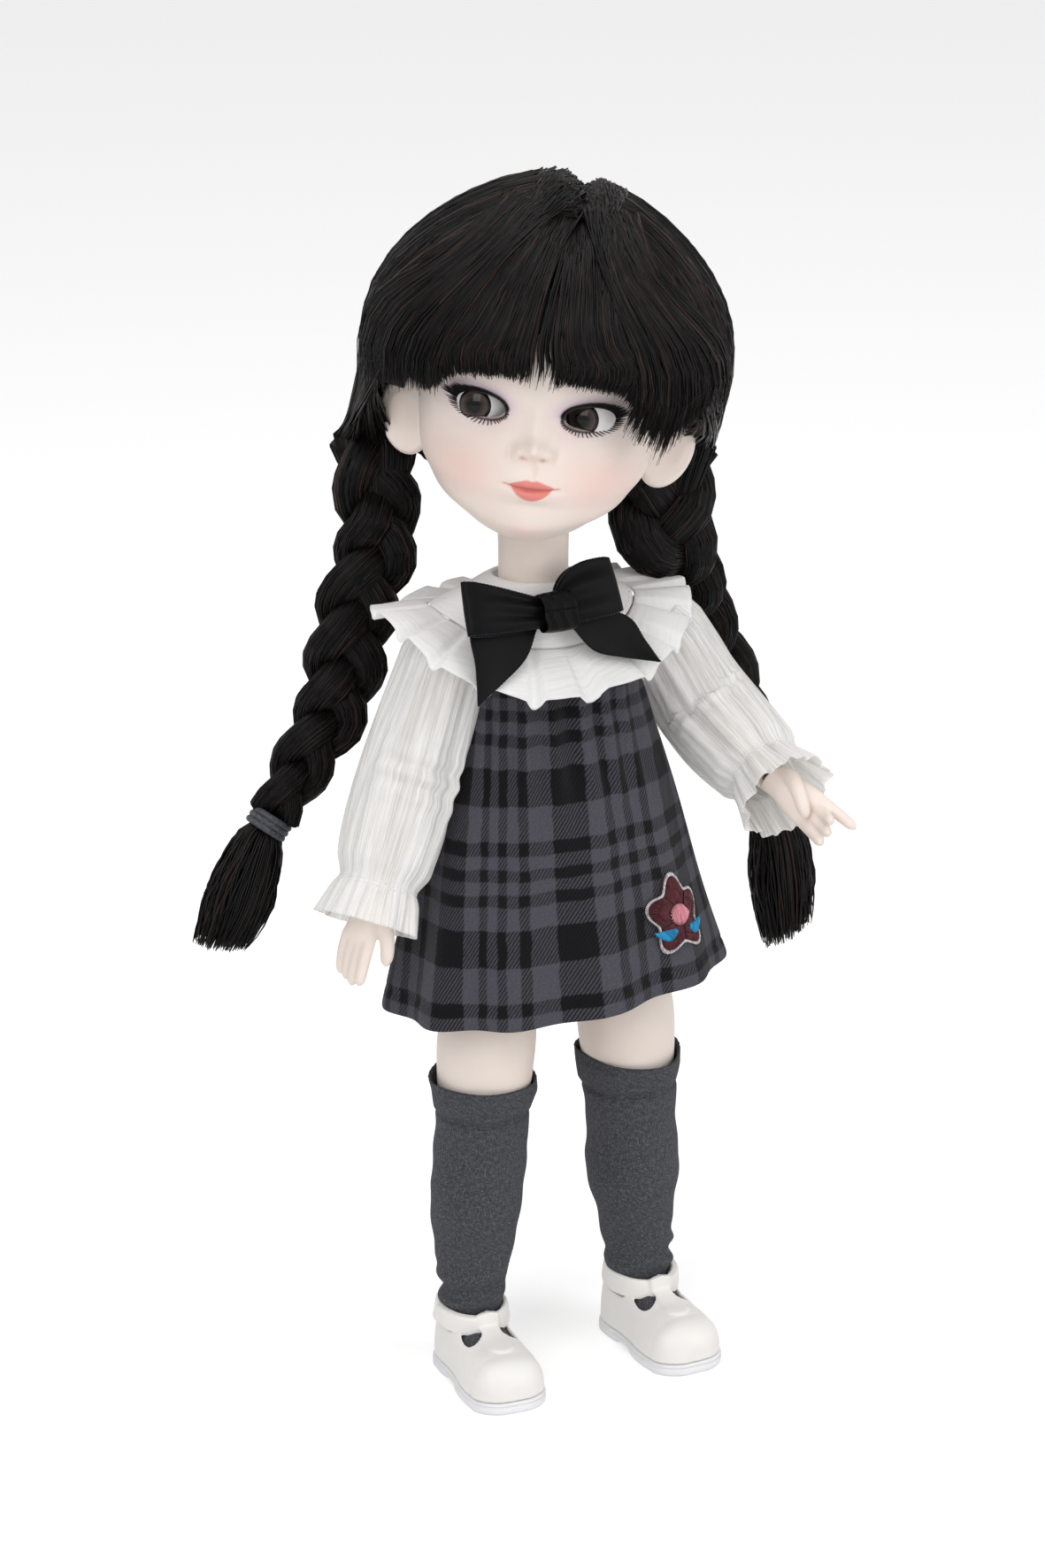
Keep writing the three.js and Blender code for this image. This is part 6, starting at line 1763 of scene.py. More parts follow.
def make_sleeve(side):
    ways = ARM_WAYS[side]
    upper, fore = unit(ways["upper"]), unit(ways["fore"])
    hinge = unit(np.cross(upper, fore))
    elbow = ELBOW[side]
    gather = elbow + fore * (FOREARM - 2)
    start = SHOULDER[side] + [side * 3.6, 0, -3]
    turn_in = 0.24
    bends = [start, elbow + (start - elbow) * turn_in, elbow + (gather - elbow) * turn_in, gather]
    main = curve_through(bends, MAIN)
    first = unit(main[1] - main[0])
    cap = [main[0] - first * d for d in (9.4, 8.6, 7, 5, 3, 1.4)]
    frill_at = [gather + fore * d for d in np.linspace(0.6, 12.2, FRILL)]
    line = np.vstack([cap, main, frill_at])
    u = np.linspace(0, 1, MAIN)
    cap_r = [8.8, 9.8, 10.7, 11.5, 12.0, 12.4]
    main_r = 12.7 + 2.0 * np.sin(math.pi * u**1.15)
    main_r = main_r - ease((u - 0.9) / 0.1) * (main_r - 11.4)
    f = np.linspace(0, 1, FRILL)
    radius = np.concatenate([cap_r, main_r, 11.5 + 2.9 * f**0.9])
    aims = np.vstack([[first] * CAP, unit(np.gradient(main, axis=0)), [fore] * FRILL])
    count = 132
    ring_ = rings_along(line, radius, side=hinge, count=count, ways=aims)
    out = unit(ring_ - line[:, None])
    a = circle(count)[None, :]
    ring_no = np.arange(len(line))[:, None]
    far = np.linspace(0, 1, len(line))[:, None]
    rng = np.random.default_rng(10 + side)
    wave = np.zeros((len(line), count))
    # Lengthwise crinkles wander; gathers are deep near the elastic and at the shoulder.
    for n, high in ((7, 0.55), (11, 0.4), (17, 0.3), (26, 0.2)):
        wave += high * np.sin(n * a + rng.uniform(0, 6.28) + 1.4 * np.sin(far * 5 + n))
    on_main = np.maximum(ease((u - 0.82) / 0.18), 0.5 * ease((0.12 - u) / 0.12))
    pull = np.concatenate([np.full(CAP, 0.5), on_main, np.ones(FRILL)])[:, None]
    gathers = np.sin(21 * a + 0.8 * np.sin(a * 2)) + 0.5 * np.sin(34 * a + 1)
    at_elastic = 1 - 0.75 * bump_at(ring_no, ELASTIC, 3.0)
    wave = wave * (1 - 0.5 * pull) + 0.5 * pull * gathers
    frill_wave = np.concatenate([np.zeros(CAP + MAIN), f])[:, None]
    frill_wave = frill_wave * np.sin(9 * a + rng.uniform(0, 6) + 0.5 * np.sin(2 * a))
    wave = wave * at_elastic + frill_wave
    # Soft cross folds on the inner side of the bend.
    inner = np.clip(np.cos(a + math.pi * 0.5), 0, 1) ** 1.5
    wave += bump_at(ring_no, 39, 9.0) * 0.9 * np.sin(ring_no * 0.85) * inner
    # The full cloth hangs: it sags below the arm and lies closer on top.
    sag = np.zeros((len(line), 1))
    sag[CAP : CAP + MAIN, 0] = 1.3 * np.sin(math.pi * u)
    grid = ring_ + out * wave[..., None]
    grid[..., 2] -= sag * (0.6 - 0.4 * out[..., 2])
    # The cloth's own grid runs straight down the sleeve.
    U, V = np.meshgrid(np.linspace(0, SLEEVE_ROUND, count + 1), far_along(line))
    sleeve = cloth(f"sleeve_{NAMES[side]}_voile", grid, 0.25, uv=np.stack([U, V], -1))
    dress(sleeve, None, voile, "sheer_cloth", "sleeve_" + NAMES[side])
    arm, forearm = "upper_arm_" + NAMES[side], "forearm_" + NAMES[side]
    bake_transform(sleeve)
    # Shirring: two rows of elastic thread gather the voile over the wrist.
    rows = []
    for k in (ELASTIC, ELASTIC + 2):
        ring, ring_out = np.vstack([grid[k], grid[k][:1]]), np.vstack([out[k], out[k][:1]])
        rows.append(stitches("shirring", ring, ring_out, long=0.9, space=0.5, radius=0.16))
    shirring = joined("shirring_" + NAMES[side], *rows)
    dress(shirring, forearm, thread, "sheer_cloth")


for side in (-1, 1):
    make_sleeve(side)

# %% [markdown]
# ## Knee socks
# Fine single jersey in heather grey: dark and pale fibres are spun together, so the yarn is
# flecked, and the wales run down the leg. The top has a 9 mm turned band that stands off the
# thigh, and the slack bunches over the ankle.

# %% Heather jersey
jersey, tree, inputs = finish(
    "heather_jersey",
    "#46474C",
    0.95,
    Specular_IOR_Level=0.12,
    Sheen_Weight=0.08,
    Sheen_Roughness=0.7,
)
uv = add(tree, "ShaderNodeUVMap", uv_map="UVMap")
flecks_way = add(tree, "ShaderNodeMapping", {"Vector": uv, "Scale": (0.9, 0.7, 1)})
flecks = add(
    tree,
    "ShaderNodeTexNoise",
    {"Vector": flecks_way, "Scale": 1.0, "Detail": 6, "Roughness": 0.75},
)
small = add(tree, "ShaderNodeTexNoise", {"Vector": uv, "Scale": 2.2, "Detail": 2})
speckle = add(tree, "ShaderNodeMath", {0: flecks, 1: small}, operation="ADD")
shade = add(tree, "ShaderNodeMapRange", {0: speckle, 1: 0.74, 2: 1.3})
ramp = tree.nodes.new("ShaderNodeValToRGB")
tree.links.new(shade, ramp.inputs[0])
ramp.color_ramp.elements[0].color = colour("#2A2A2E")
ramp.color_ramp.elements[1].color = colour("#6A6B72")
ramp.color_ramp.elements.new(0.45).color = colour("#414247")
tree.links.new(ramp.outputs[0], inputs["Base Color"])
# Wales are 0.45 mm apart on such a sock; they are drawn at 0.9 mm so that they show.
wales = add(
    tree,
    "ShaderNodeTexWave",
    {"Vector": uv, "Scale": 0.35, "Distortion": 0.4},
    wave_type="BANDS",
)
wales_out = wales.node.outputs["Fac"]
nubs = add(tree, "ShaderNodeMath", {0: small, 1: 0.8}, operation="MULTIPLY")
height = add(tree, "ShaderNodeMath", {0: nubs, 1: wales_out}, operation="ADD")
add(
    tree, "ShaderNodeBump", {"Height": height, "Distance": 0.0003, "Strength": 0.6},
    to=inputs["Normal"],
)

# %% Sections of the shoes
TOE_OUT = 3.0
SHOE_ROWS = [
    [-34.5, 4.5, 4.5], [-32, 9.2, 8.6], [-26, 11.6, 11.8], [-18, 11.6, 13.3], [-11, 10.4, 16.5],
    [-5, 9.9, 19.5], [3, 9.9, 19.5], [9, 8.4, 18.5], [12.5, 3.6, 16.5],
]
SHOE_MIDDLE, SHOE_HALF = -11.0, 23.6
ANKLE = {side: leg_line(side, -121.0) for side in (-1, 1)}
FOOT = {side: step(*ANKLE[side]) @ turn("Z", side * TOE_OUT) for side in (-1, 1)}
SHOE_LOW = -17.3


def shoe_sections(y):
    """Half-width and height of the shoe at places along the foot, round at toe and heel."""
    y = np.asarray(y, float)
    sizes = smooth_rows(SHOE_ROWS, np.clip(y, -34.5, 12.5))
    toe = np.sqrt(np.clip(1 - ((-26.5 - y) / 8.5).clip(0, 1) ** 2, 0.0, 1))
    wide = np.where(y < -26.5, 11.75 * toe**0.92, sizes[:, 0])
    high = np.where(y < -26.5, 11.7 * toe**0.75, sizes[:, 1])
    heel = np.sqrt(np.clip(1 - ((y - 4.5) / 8.2).clip(0, 1) ** 2, 0.0, 1))
    wide = np.where(y > 4.5, 9.8 * heel**0.9, wide)
    high = np.where(y > 4.5, 17.5 + 2.0 * heel, high)
    return wide, high


def shoe_length(count):
    """Places along the shoe from toe to heel, close together at both ends."""
    return SHOE_MIDDLE + SHOE_HALF * np.sin(np.linspace(-math.pi / 2, math.pi / 2, count))


def shoe_body(spare, low, count=56, rows=72):
    """The closed form of the shoe, drawn in by spare all round."""
    y = shoe_length(rows)
    wide, high = shoe_sections(y)
    along = SHOE_MIDDLE + (y - SHOE_MIDDLE) * (1 - 2 * spare / 47.0)
    a = circle(count)
    c, s = np.cos(a), np.sin(a)
    x = np.maximum(wide - spare, 0.3)[:, None] * signed_power(c, 0.7)
    rise = np.where(s > 0, np.maximum(high - spare, 0.3)[:, None] * np.abs(s) ** 0.8, 0.01 * s)
    return np.stack([x, np.repeat(along[:, None], count, 1), low + rise], -1)


# %% Socks
# Height under the hip, radius, and how far back the sock's middle lies.
SOCK_ROWS = [
    [-126, 8.2, 0.0], [-120, 9.5, 0.0], [-116, 10.3, 0.1], [-113, 9.9, 0.2], [-110, 10.5, 0.3],
    [-100, 12.0, 0.7], [-90.2, 13.9, 1.0], [-82.2, 14.1, 0.6], [-76.6, 13.9, 0.2], [-64, 14.1, 0.0],
    [-57.0, 14.5, 0.0], [-55.8, 14.3, 0.0], [-50.5, 15.2, 0.0], [-46.8, 15.9, 0.0],
]
for side in (-1, 1):
    name = NAMES[side]
    z = np.concatenate([
        np.linspace(-126, -104, 44)[:-1], np.linspace(-104, -60, 30)[:-1],
        np.linspace(-60, -46.8, 30),
    ])
    sizes = smooth_rows(SOCK_ROWS, z)
    count = 84
    line = leg_line(side, z)
    line[:, 1] += sizes[:, 1]
    grid = rings_along(line, sizes[:, 0], count=count, ways=[0, 0, 1.0])
    out = unit(grid - line[:, None])
    a = circle(count)[None, :]
    zz = z[:, None]
    outer = np.cos(a if side > 0 else math.pi - a)
    # The slack folds over the ankle, most in front and outside; the band is drawn in below.
    slant = 2.2 * np.sin(a + 0.8 * side) + 0.9 * np.sin(a * 2 + side)
    wave = bump_at(zz, -113, 6.5) * (0.45 + 0.4 * outer) * np.sin((zz + slant) * 0.8 + 0.7)
    wave += 0.28 * np.sin(zz * 0.21 + 2 * a + side) + 0.16 * np.sin(zz * 0.5 - 3 * a)
    band = ease((zz + 58.2) / 1.2)
    wave += -1.1 * bump_at(zz, -57.2, 0.9) + 0.5 * band
    wave += band * 0.3 * np.sin(5 * a + side) + 0.12 * np.sin(48 * a) * band
    wave += ease((zz + 50.5) / 4) * (0.5 * outer - 0.35 + 0.2 * np.sin(3 * a))
    grid = grid + out * wave[..., None]
    # The rim dips in front, where the thigh pushes it down, and it is turned inside.
    rim = ease((zz + 58) / 11)
    grid[..., 2] += rim * (1.2 * np.sin(a) + 0.5 * np.sin(2 * a + side))
    inside = [
        grid[-1:] - out[-1:] * inward + [0, 0, up]
        for inward, up in ((0.35, 0.25), (0.8, -0.1), (1.0, -1.2), (1.1, -3.0))
    ]
    leg = cloth("leg", np.concatenate([grid, *inside]), 0.35, -1.0)
    foot = skin("foot", placed(shoe_body(1.9, SHOE_LOW + 0.9), FOOT[side]), caps=(True, True))
    sock = joined("sock_" + name + "_jersey", leg, foot)
    dress(sock, None, jersey, "sock_knit", "sock_" + name)
    knee = leg_line(side, KNEE_Z)
    start, end = at_mm(knee + [0, 0, 7]), at_mm(knee - [0, 0, 7])
    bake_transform(sock)

# %% [markdown]
# ## Shoes
# T-strap shoes moulded in one piece of white vinyl, with the strap, its loop and its end all
# part of the moulding, on a separate paler sole. The upper is a hollow form cut out for the
# ankle and by the two windows beside the bar; band, bar, loop and strap end are laid on it,
# and a fine voxel remesh makes one moulding with soft edges of it.

# %% Moulded vinyl
shoe_vinyl, tree, inputs = finish(
    "moulded_white_vinyl",
    "#F3F0EC",
    0.42,
    Subsurface_Weight=0.12,
    Subsurface_Scale=0.0015,
    Subsurface_Radius=(1.0, 0.8, 0.6),
)
place = add(tree, "ShaderNodeTexCoord", out=3)
cloudy = add(tree, "ShaderNodeTexNoise", {"Vector": place, "Scale": 110, "Detail": 3})
grain = add(tree, "ShaderNodeTexNoise", {"Vector": place, "Scale": 1500, "Detail": 2})
add(
    tree, "ShaderNodeMapRange", {0: cloudy, 1: 0.3, 2: 0.7, 3: 0.36, 4: 0.52},
    to=inputs["Roughness"],
)
add(tree, "ShaderNodeMix", {0: cloudy, 6: "#F0ECE7", 7: "#F7F5F2"}, to=inputs["Base Color"], **RGBA)
add(
    tree, "ShaderNodeBump", {"Height": grain, "Distance": 0.00006, "Strength": 0.5},
    to=inputs["Normal"],
)

sole_vinyl, tree, inputs = finish("pale_sole_vinyl", "#F0F0F2", 0.5)
place = add(tree, "ShaderNodeTexCoord", out=3)
scuff = add(tree, "ShaderNodeTexNoise", {"Vector": place, "Scale": 260, "Detail": 4})
add(tree, "ShaderNodeMix", {0: scuff, 6: "#E9E9EC", 7: "#F5F5F7"}, to=inputs["Base Color"], **RGBA)
add(
    tree, "ShaderNodeBump", {"Height": scuff, "Distance": 0.0001, "Strength": 0.3},
    to=inputs["Normal"],
)


# %% Strips of the strap
def strip(name, line, out, wide, thick, ends=(0.0, 0.0)):
    """A flat strip with rounded edges along a line, given the outward way of its face."""
    line, out = np.asarray(line, float), unit(out)
    way = unit(np.gradient(line, axis=0))
    over = unit(np.cross(out, way))
    a = circle(20)
    c, s = signed_power(np.cos(a), 0.5), signed_power(np.sin(a), 0.7)
    far = np.linspace(0, 1, len(line))
    near_end = np.minimum(far / max(ends[0], 1e-6), (1 - far) / max(ends[1], 1e-6)).clip(0, 1)
    size = np.sqrt(1 - (1 - near_end) ** 2) * 0.98 + 0.02
    half = (np.broadcast_to(wide, len(line)) / 2 * size)[:, None, None]
    grid = line[:, None] + over[:, None] * c[None, :, None] * half
    grid = grid + out[:, None] * s[None, :, None] * (thick / 2)
    return skin(name, grid, caps=(True, True))


# %% One shoe
WINDOW = [
    (-5.0, 2.6), (0, 2.8), (3.0, 2.8), (3.3, 0.4),
    (2.9, -2.0), (1.2, -3.3), (-1.2, -2.6), (-3.4, -0.4),
]
# The sole's outline from its underside up: how far it stands out, and how high it is.
SOLE_EDGE = [
    (-1.2, 0), (0.1, 0), (0.55, 0.5), (0.6, 1.2), (0.6, 2.3), (0.25, 2.55), (0.6, 2.85), (0.5, 3.3),
    (-0.2, 3.45), (-2, 3.4),
]


def make_shoe(side):
    name = NAMES[side]
    low = SHOE_LOW
    outer = skin("outer", shoe_body(0.0, low)[:, ::-1], caps=(True, True))
    inner = skin("inner", shoe_body(1.35, low + 0.9)[:, ::-1], caps=(True, True))
    a = circle(48)
    hole = np.array([
        np.stack([r * np.cos(a), (r + 0.4) * np.sin(a) - 0.3, 0 * a + h], 1)
        for h, r in ((low + 11.5, 9.6), (low + 14, 10.0), (low + 30, 11.5))
    ])
    hole = skin("hole", hole, caps=(True, True))
    cutters = [inner, hole]
    for way in (-1, 1):
        # A D lying on its back, straight above, seen square to the shoe's slope.
        facing = unit(np.array([way * 0.6, -0.55, 0.58]))
        along_bar = unit(np.cross([0, 0, 1.0], facing)) * way * -1
        up_slope = unit(np.cross(facing, np.cross([0, 0, 1.0], facing)))
        middle = np.array([way * 6.6, -13.8, low + 13.6])
        flat = curve_through([(u, v, 0) for u, v in WINDOW + WINDOW[:1]], 40)[:-1]
        flat = middle + flat[:, :1] * along_bar + flat[:, 1:2] * up_slope
        window = np.array([flat + facing * h for h in (-5.5, 0, 8)])
        cutters.append(skin("window", window, caps=(True, True)))
    for piece in [outer, *cutters]:
        in_edit_mode(piece, bpy.ops.mesh.normals_make_consistent, inside=False)
    for cutter in cutters:
        modified(outer, "BOOLEAN", object=cutter, operation="DIFFERENCE", solver="EXACT")
        bpy.data.objects.remove(cutter)
    # The band round the ankle, 7 mm high, leans in a little at its top.
    t = np.linspace(0, 2 * math.pi, 97)
    band_high = low + 16.4 + 0.8 * np.sin(t)
    band_line = np.stack([10.15 * np.cos(t), 11.7 * np.sin(t) - 0.4, band_high], 1)
    radial = np.stack([np.cos(t) / 10.15, np.sin(t) / 11.7, 0 * t + 0.012], 1)
    band = strip("band", band_line, radial, 6.4, 2.0)
    # The bar rises from the vamp over the instep and turns round the band as a loop.
    bar_y = np.linspace(-25.5, -11.4, 40)
    _, high = shoe_sections(bar_y)
    bar_line = np.stack([0 * bar_y, bar_y, low + high + 0.1], 1)
    up_way = np.gradient(bar_line, axis=0)
    bar_out = np.stack([0 * bar_y, -up_way[:, 2], up_way[:, 1]], 1)
    taper = np.interp(bar_y, [-25.5, -20, -15, -11.4], [8.6, 7.2, 6.4, 6.6])
    bar = strip("bar", bar_line, bar_out, taper, 1.0, ends=(0.3, 0.0))
    loop_z = np.linspace(low + 11.8, low + 20.0, 14)
    loop_line = np.stack([0 * loop_z, -12.6 + (loop_z - low - 12) * 0.05, loop_z], 1)
    facing = np.tile([0, -1.0, 0.06], (14, 1))
    loop = strip("loop", loop_line, facing, 7.4, 2.2, ends=(0.08, 0.12))
    # The strap's free end lies on the outer side of the band.
    span = np.linspace(math.radians(-78), math.radians(12), 30)
    tab_line = np.stack(
        [side * 10.9 * np.cos(span), 12.5 * np.sin(span) - 0.4, low + 16.3 + 0.8 * np.sin(span)], 1
    )
    tab_out = np.stack([side * np.cos(span), np.sin(span), 0 * span], 1)
    tab = strip("tab", tab_line, tab_out, 6.2, 1.6, ends=(0.02, 0.12))
    button = curve_through([(side * 11.3, 0, 0), (side * 12.2, 0, 0)], 4)
    button = button + [0, 0.4, low + 15.8]
    button = rings_along(button, [1.9, 1.9, 1.7, 1.0], side=(0, 0, 1), count=20)
    button = skin("button", button, caps=(True, True))
    upper = joined("shoe_upper_" + name + "_vinyl", outer, band, bar, loop, tab, button)
    move_points(upper, placed(points_of(upper), FOOT[side]))
    moulded(upper, 0.4, 2)
    dress(upper, "shin_" + name, shoe_vinyl, "shoe_vinyl", "shoe_upper_" + name)
    # The sole follows the shoe's outline 0.5 mm proud, with a heel block and a welt line.
    y = shoe_length(41)
    wide, _ = shoe_sections(y)
    right = np.stack([wide, y], 1)
    left = np.stack([-wide[::-1], y[::-1]], 1)[1:-1]
    flat = np.vstack([right, left])
    centre = np.array([0, SHOE_MIDDLE])
    way = flat - centre
    long = np.linalg.norm(way, axis=1, keepdims=True)
    rows_ = []
    for spare, z in SOLE_EDGE:
        ring_ = centre + way * (1 + spare / long)
        arch = 1.25 * bump_at(ring_[:, 1], -8.5, 4.4, 4) * (1 - ease(z / 2.0))
        rows_.append(np.column_stack([ring_, -21.0 + z + arch]))
    sole = skin("sole_" + name + "_vinyl", placed(np.array(rows_), FOOT[side]), caps=(True, True))
    dress(sole, "shin_" + name, sole_vinyl, "sole_vinyl", "shoe_sole_" + name)


for side in (-1, 1):
    make_shoe(side)

# %% [markdown]
# ## Embroidered flower
# A machine-embroidered badge sits low on the doll's left: a twill ground cut to a five-petalled
# flower, filled with satin stitch in maroon, with a pink middle, two blue leaves and a white
# edge of buttonhole stitches. Every stitch is a small bowed thread laid on the skirt's surface.

# %% Places on the badge
PATCH_AT, PATCH_Z = math.radians(-60), 4.6
near = dress_point(np.array([PATCH_AT - 0.01, PATCH_AT + 0.01]), np.full(2, PATCH_Z))
PATCH_RATE = np.linalg.norm(near[1] - near[0]) / 0.02  # mm on the skirt for each radian
print("badge:", round(PATCH_RATE, 2), "mm a radian")


def on_patch(flat, out):
    """Points of the badge's own plane, across and up in mm, laid on the skirt."""
    a, z = PATCH_AT + flat[..., 0] / PATCH_RATE, PATCH_Z + flat[..., 1]
    return placed(dress_point(a, z, out), TORSO)


def petal_edge(angle, size=1.0):
    reach = (0.84 + 0.16 * np.cos(5 * (angle - math.pi / 2))) * size
    return np.stack([11 * reach * np.cos(angle), 12.6 * reach * np.sin(angle)], -1)


def sewn(name, starts, ends, rise, radius, hexa, low=1.15):
    """Satin stitches from starts to ends, each bowed up in its middle."""
    t = np.linspace(0, 1, 6)[None, :, None]
    flat = np.asarray(starts)[:, None] * (1 - t) + np.asarray(ends)[:, None] * t
    out = low + rise * np.sin(math.pi * t[..., 0]) ** 0.7 + 0 * flat[..., 0]
    piece = strands(name, on_patch(flat, out), radius, taper=0.8)
    rayon, tree, inputs = finish(name + "_rayon", hexa, 0.42, Specular_IOR_Level=0.3)
    tone = add(tree, "ShaderNodeAttribute", out=2, attribute_name="tone")
    depth = add(tree, "ShaderNodeMath", {0: tone, 1: 0.45}, operation="MULTIPLY")
    darker = "#" + "".join(f"{int(int(hexa[i : i + 2], 16) * 0.55):02X}" for i in (1, 3, 5))
    add(tree, "ShaderNodeMix", {0: depth, 6: hexa, 7: darker}, to=inputs["Base Color"], **RGBA)
    return dress(piece, "torso", rayon, "embroidery_thread")


# %% Ground of the badge
sizes = ((1.0, 0.15), (1.0, 0.75), (0.97, 1.0), (0.9, 1.05), (0.6, 1.05), (0.3, 1.05))
rings = [on_patch(petal_edge(circle(120), size), out) for size, out in sizes]
ground = skin("badge_ground", np.array(rings), caps=(True, True))
twill_ground, tree, inputs = finish("badge_twill", "#3E1A20", 0.85)
place = add(tree, "ShaderNodeTexCoord", out=3)
cords = add(tree, "ShaderNodeTexNoise", {"Vector": place, "Scale": 1800, "Detail": 2})
add(
    tree, "ShaderNodeBump", {"Height": cords, "Distance": 0.0002, "Strength": 0.6},
    to=inputs["Normal"],
)
dress(ground, "torso", twill_ground, "embroidery_thread", "embroidered_patch")

# %% Satin stitches
rng = np.random.default_rng(21)
starts, ends = [], []
for k in range(5):
    axis = math.pi / 2 + 2 * math.pi * k / 5
    lane = np.linspace(-0.56, 0.56, 27)
    for a in lane + rng.normal(0, 0.004, 27):
        inner = petal_edge(axis + a * 0.55, 0.3)
        outer = petal_edge(axis + a, 0.94 - 0.02 * rng.uniform())
        middle = inner * 0.5 + outer * 0.5
        starts += [inner, middle * 1.02]
        ends += [middle * 1.06, outer]
badge = [sewn("badge_petals", starts, ends, 0.28, 0.2, "#5A222B")]
inner, outer = petal_edge(circle(170), 0.93), petal_edge(circle(170), 1.03)
badge.append(sewn("badge_edge", inner, outer, 0.3, 0.16, "#F1EEEE", 0.95))
lane = np.linspace(-3.1, 3.1, 19)
half = np.sqrt(3.2**2 - lane**2)
low, high = np.stack([lane, -half], 1), np.stack([lane, half], 1)
badge.append(sewn("badge_middle", low, high, 0.7, 0.2, "#F2A0AE", 1.25))
starts, ends = [], []
for way in (-1, 1):
    for s in np.linspace(0.06, 0.94, 20):
        stem = np.array([way * (2.0 + 7.2 * s), -4.0 - 1.4 * math.sin(math.pi * s)])
        wide = 1.9 * math.sin(math.pi * s) ** 0.7
        slant = np.array([way * 0.45, 0.9])
        starts.append(stem - slant * wide)
        ends.append(stem + slant * wide)
badge.append(sewn("badge_leaves", starts, ends, 0.4, 0.2, "#2AA3D9", 1.45))
for piece in [ground, *badge]:
    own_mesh(piece)

# %% [markdown]
# ## Back opening
# The dress closes behind with a strip of hook-and-loop tape under a stitched placket. It isn't
# seen in the photograph, so a plain one is made: an overlapping strip of the same cloth in the
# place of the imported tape, sewn down both sides.

# %% Placket
BACK, BACK_RATE = math.pi / 2, 36.0  # the middle of the back, and mm there for each radian
A, Z = np.meshgrid(BACK + np.linspace(-4.0, 4.0, 18) / BACK_RATE, np.linspace(25.2, 64.8, 60))
lift = 0.75 + 0.12 * np.sin(Z * 0.8) * np.sin((A - BACK) * 30)
grid = placed(dress_point(A, Z, lift), TORSO)
placket = cloth("placket", grid, 0.7, -1.0, wrap=False, uv=dress_uv(A, Z))
crisp(placket)
dress(placket, "torso", plaid, "fastening_tape", "back_tape")
dark_thread, _, _ = finish("dark_thread", "#1B1B1F", 0.7, Specular_IOR_Level=0.2)
seams = []
z = np.linspace(25.6, 64.4, 80)
for edge in (-3.3, 3.3):
    line = placed(dress_point(BACK + edge / BACK_RATE + 0 * z, z, 0.9), TORSO)
    seams.append(stitches("placket_seam", line, [0, 1.0, 0]))
seams = joined("placket_seams", *seams)
dress(seams, "torso", dark_thread, "fastening_tape")

# %% Picot edges of the ribbon
picot_thread, tree, inputs = finish("picot_thread", "#2C2C31", 0.6)
place = add(tree, "ShaderNodeTexCoord", out=3)
twist = add(tree, "ShaderNodeTexNoise", {"Vector": place, "Scale": 2500})
add(tree, "ShaderNodeMix", {0: twist, 6: "#1C1C20", 7: "#46464E"}, to=inputs["Base Color"], **RGBA)
forward = BOW[:3, :3] @ np.array([0, -1.0, 0.0])
rows = [edge for sheet in (*TAILS, *LOOPS) for edge in (sheet[:, 0], sheet[:, -1])]
picot = joined("bow_picot", *(stitches("picot", row, forward, 0.75, 0.35, 0.13) for row in rows))
dress(picot, "torso", picot_thread, "satin_ribbon")

# %% [markdown]
# ## What is left of the frame
# The joint balls, pins and discs are hard white plastic, moulded, and the torso halves, arms
# and shins inside the clothes are skin vinyl. Their solids stay as they are.

# %% Hard plastic
hard_plastic, tree, inputs = finish("white_nylon", "#E9E8E6", 0.4)
place = add(tree, "ShaderNodeTexCoord", out=3)
flow = add(tree, "ShaderNodeTexNoise", {"Vector": place, "Scale": 400, "Detail": 3})
add(tree, "ShaderNodeMix", {0: flow, 6: "#E4E3E1", 7: "#EEEDEB"}, to=inputs["Base Color"], **RGBA)
add(
    tree, "ShaderNodeBump", {"Height": flow, "Distance": 0.00005, "Strength": 0.4},
    to=inputs["Normal"],
)
KEPT = {
    vinyl: ("torso_front", "torso_back", "upper_arm_", "forearm_", "shin_"),
    hard_plastic: (
        "hip_disc_", "shoulder_disc_", "knee_pin_", "elbow_pin_", "neck_knob", "skull_cap",
    ),
}
for name, node in frame["nodes"].items():
    for material, starts_ in KEPT.items():
        if name.startswith(starts_):
            paint(node, material)
            print("kept", name, "in", material.name)

# %% [markdown]
# ## Sheets

# %% Cut sizes
print("cut sizes: none given")

# %% [markdown]
# ## Stage
# A plain pale floor, soft studio light and the photograph's viewpoint: a camera at eye level
# with the chest, turned 27 degrees round the doll's right side and looking down 18 degrees.

# %% Camera
AZIMUTH, ELEVATION, DISTANCE = math.radians(-27), math.radians(18), 1400.0
target = np.array([-8.9, 4.5, 183.0])
level = np.array([math.sin(AZIMUTH), -math.cos(AZIMUTH), 0]) * math.cos(ELEVATION)
back = level + [0, 0, math.sin(ELEVATION)]
camera_data = bpy.data.cameras.new("camera")
camera_data.lens = 108.65
camera_data.sensor_width = 36
camera_data.clip_end = 20
camera = bpy.data.objects.new("camera", camera_data)
bpy.context.scene.collection.objects.link(camera)
camera.location = at_mm(target + DISTANCE * back)
camera.rotation_mode = "QUATERNION"
camera.rotation_quaternion = Vector(-back).to_track_quat("-Z", "Y")
bpy.context.scene.camera = camera
print("camera at", [round(c, 3) for c in camera.location])


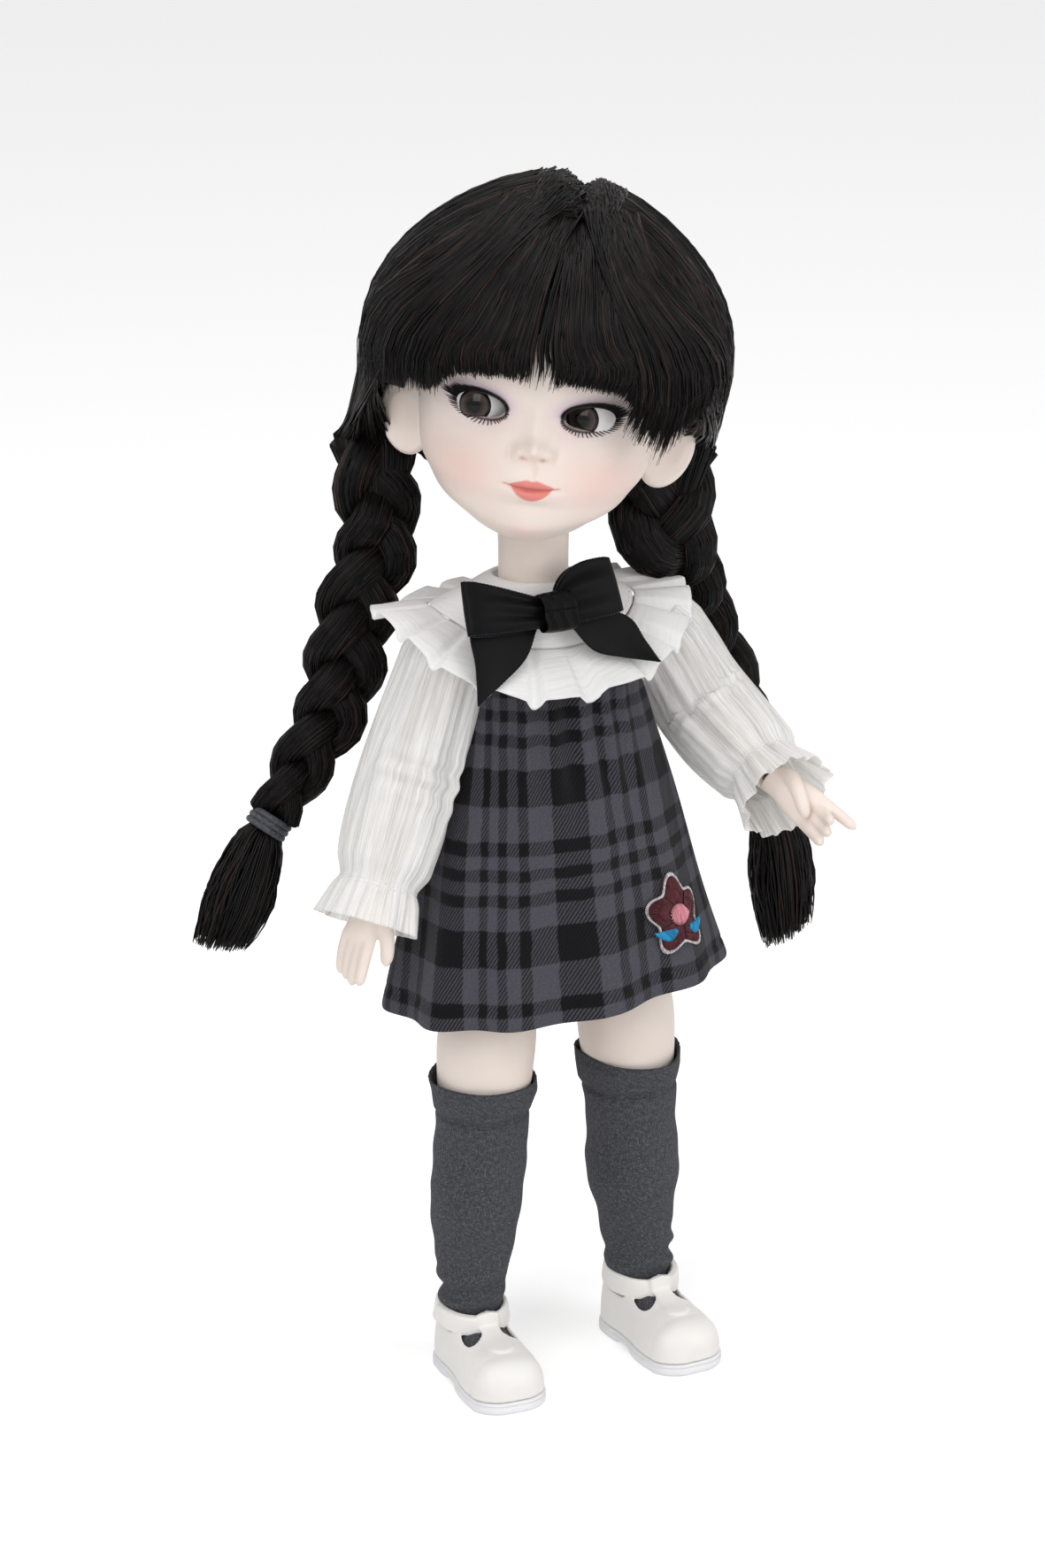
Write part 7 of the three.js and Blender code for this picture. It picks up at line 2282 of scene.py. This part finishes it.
# %% Floor and backdrop light
def seen_rays(tree):
    """1 where a ray is the camera's own, or the camera's through a mirror or glass."""
    path = tree.nodes.new("ShaderNodeLightPath").outputs
    seen = path["Is Camera Ray"]
    for kind in ("Is Glossy Ray", "Is Transmission Ray"):
        seen = add(tree, "ShaderNodeMath", {0: seen, 1: path[kind]}, operation="MAXIMUM")
    return seen


bpy.ops.object.select_all(action="DESELECT")
bpy.ops.mesh.primitive_plane_add(size=12, location=(0, 0, -0.0002))
floor = bpy.context.object
floor.name = "floor"
floor_paint, tree, inputs = finish(
    "pale_floor", "#F4F4F4", 0.9, Specular_IOR_Level=0.1, Emission_Color=(1, 1, 1, 1)
)
# Seen straight on, the floor glows enough to read as white paper, and keeps its shadow.
glow = {0: seen_rays(tree), 1: 0.42}
add(tree, "ShaderNodeMath", glow, to=inputs["Emission Strength"], operation="MULTIPLY")
floor.data.materials.append(floor_paint)

world = bpy.data.worlds.new("studio")
bpy.context.scene.world = world
world.use_nodes = True
tree = world.node_tree
tree.nodes.clear()
white = add(tree, "ShaderNodeBackground", {"Color": (1, 1, 1, 1), "Strength": 1.0})
fill = add(tree, "ShaderNodeBackground", {"Color": (1, 1, 1, 1), "Strength": 0.42})
end = tree.nodes.new("ShaderNodeOutputWorld").inputs[0]
add(tree, "ShaderNodeMixShader", {0: seen_rays(tree), 1: fill, 2: white}, to=end)


# %% Lamps
def lamp(name, place, size, power):
    data = bpy.data.lights.new(name, "AREA")
    data.shape = "RECTANGLE"
    data.size, data.size_y = size
    data.energy = power
    light = bpy.data.objects.new(name, data)
    bpy.context.scene.collection.objects.link(light)
    light.location = place
    aim = Vector((0, 0, 0.2)) - Vector(place)
    light.rotation_mode = "QUATERNION"
    light.rotation_quaternion = aim.to_track_quat("-Z", "Y")


lamp("soft_left", (-1.3, -1.1, 1.1), (1.0, 1.2), 12.5)
lamp("soft_right", (1.1, -1.5, 0.9), (1.0, 1.2), 10)
lamp("soft_top", (0.0, -0.2, 1.7), (1.2, 1.2), 9)
bpy.context.scene.view_settings.view_transform = "Standard"
print("stage set")

# %% [markdown]
# ## End

# %% Finish
print("done")
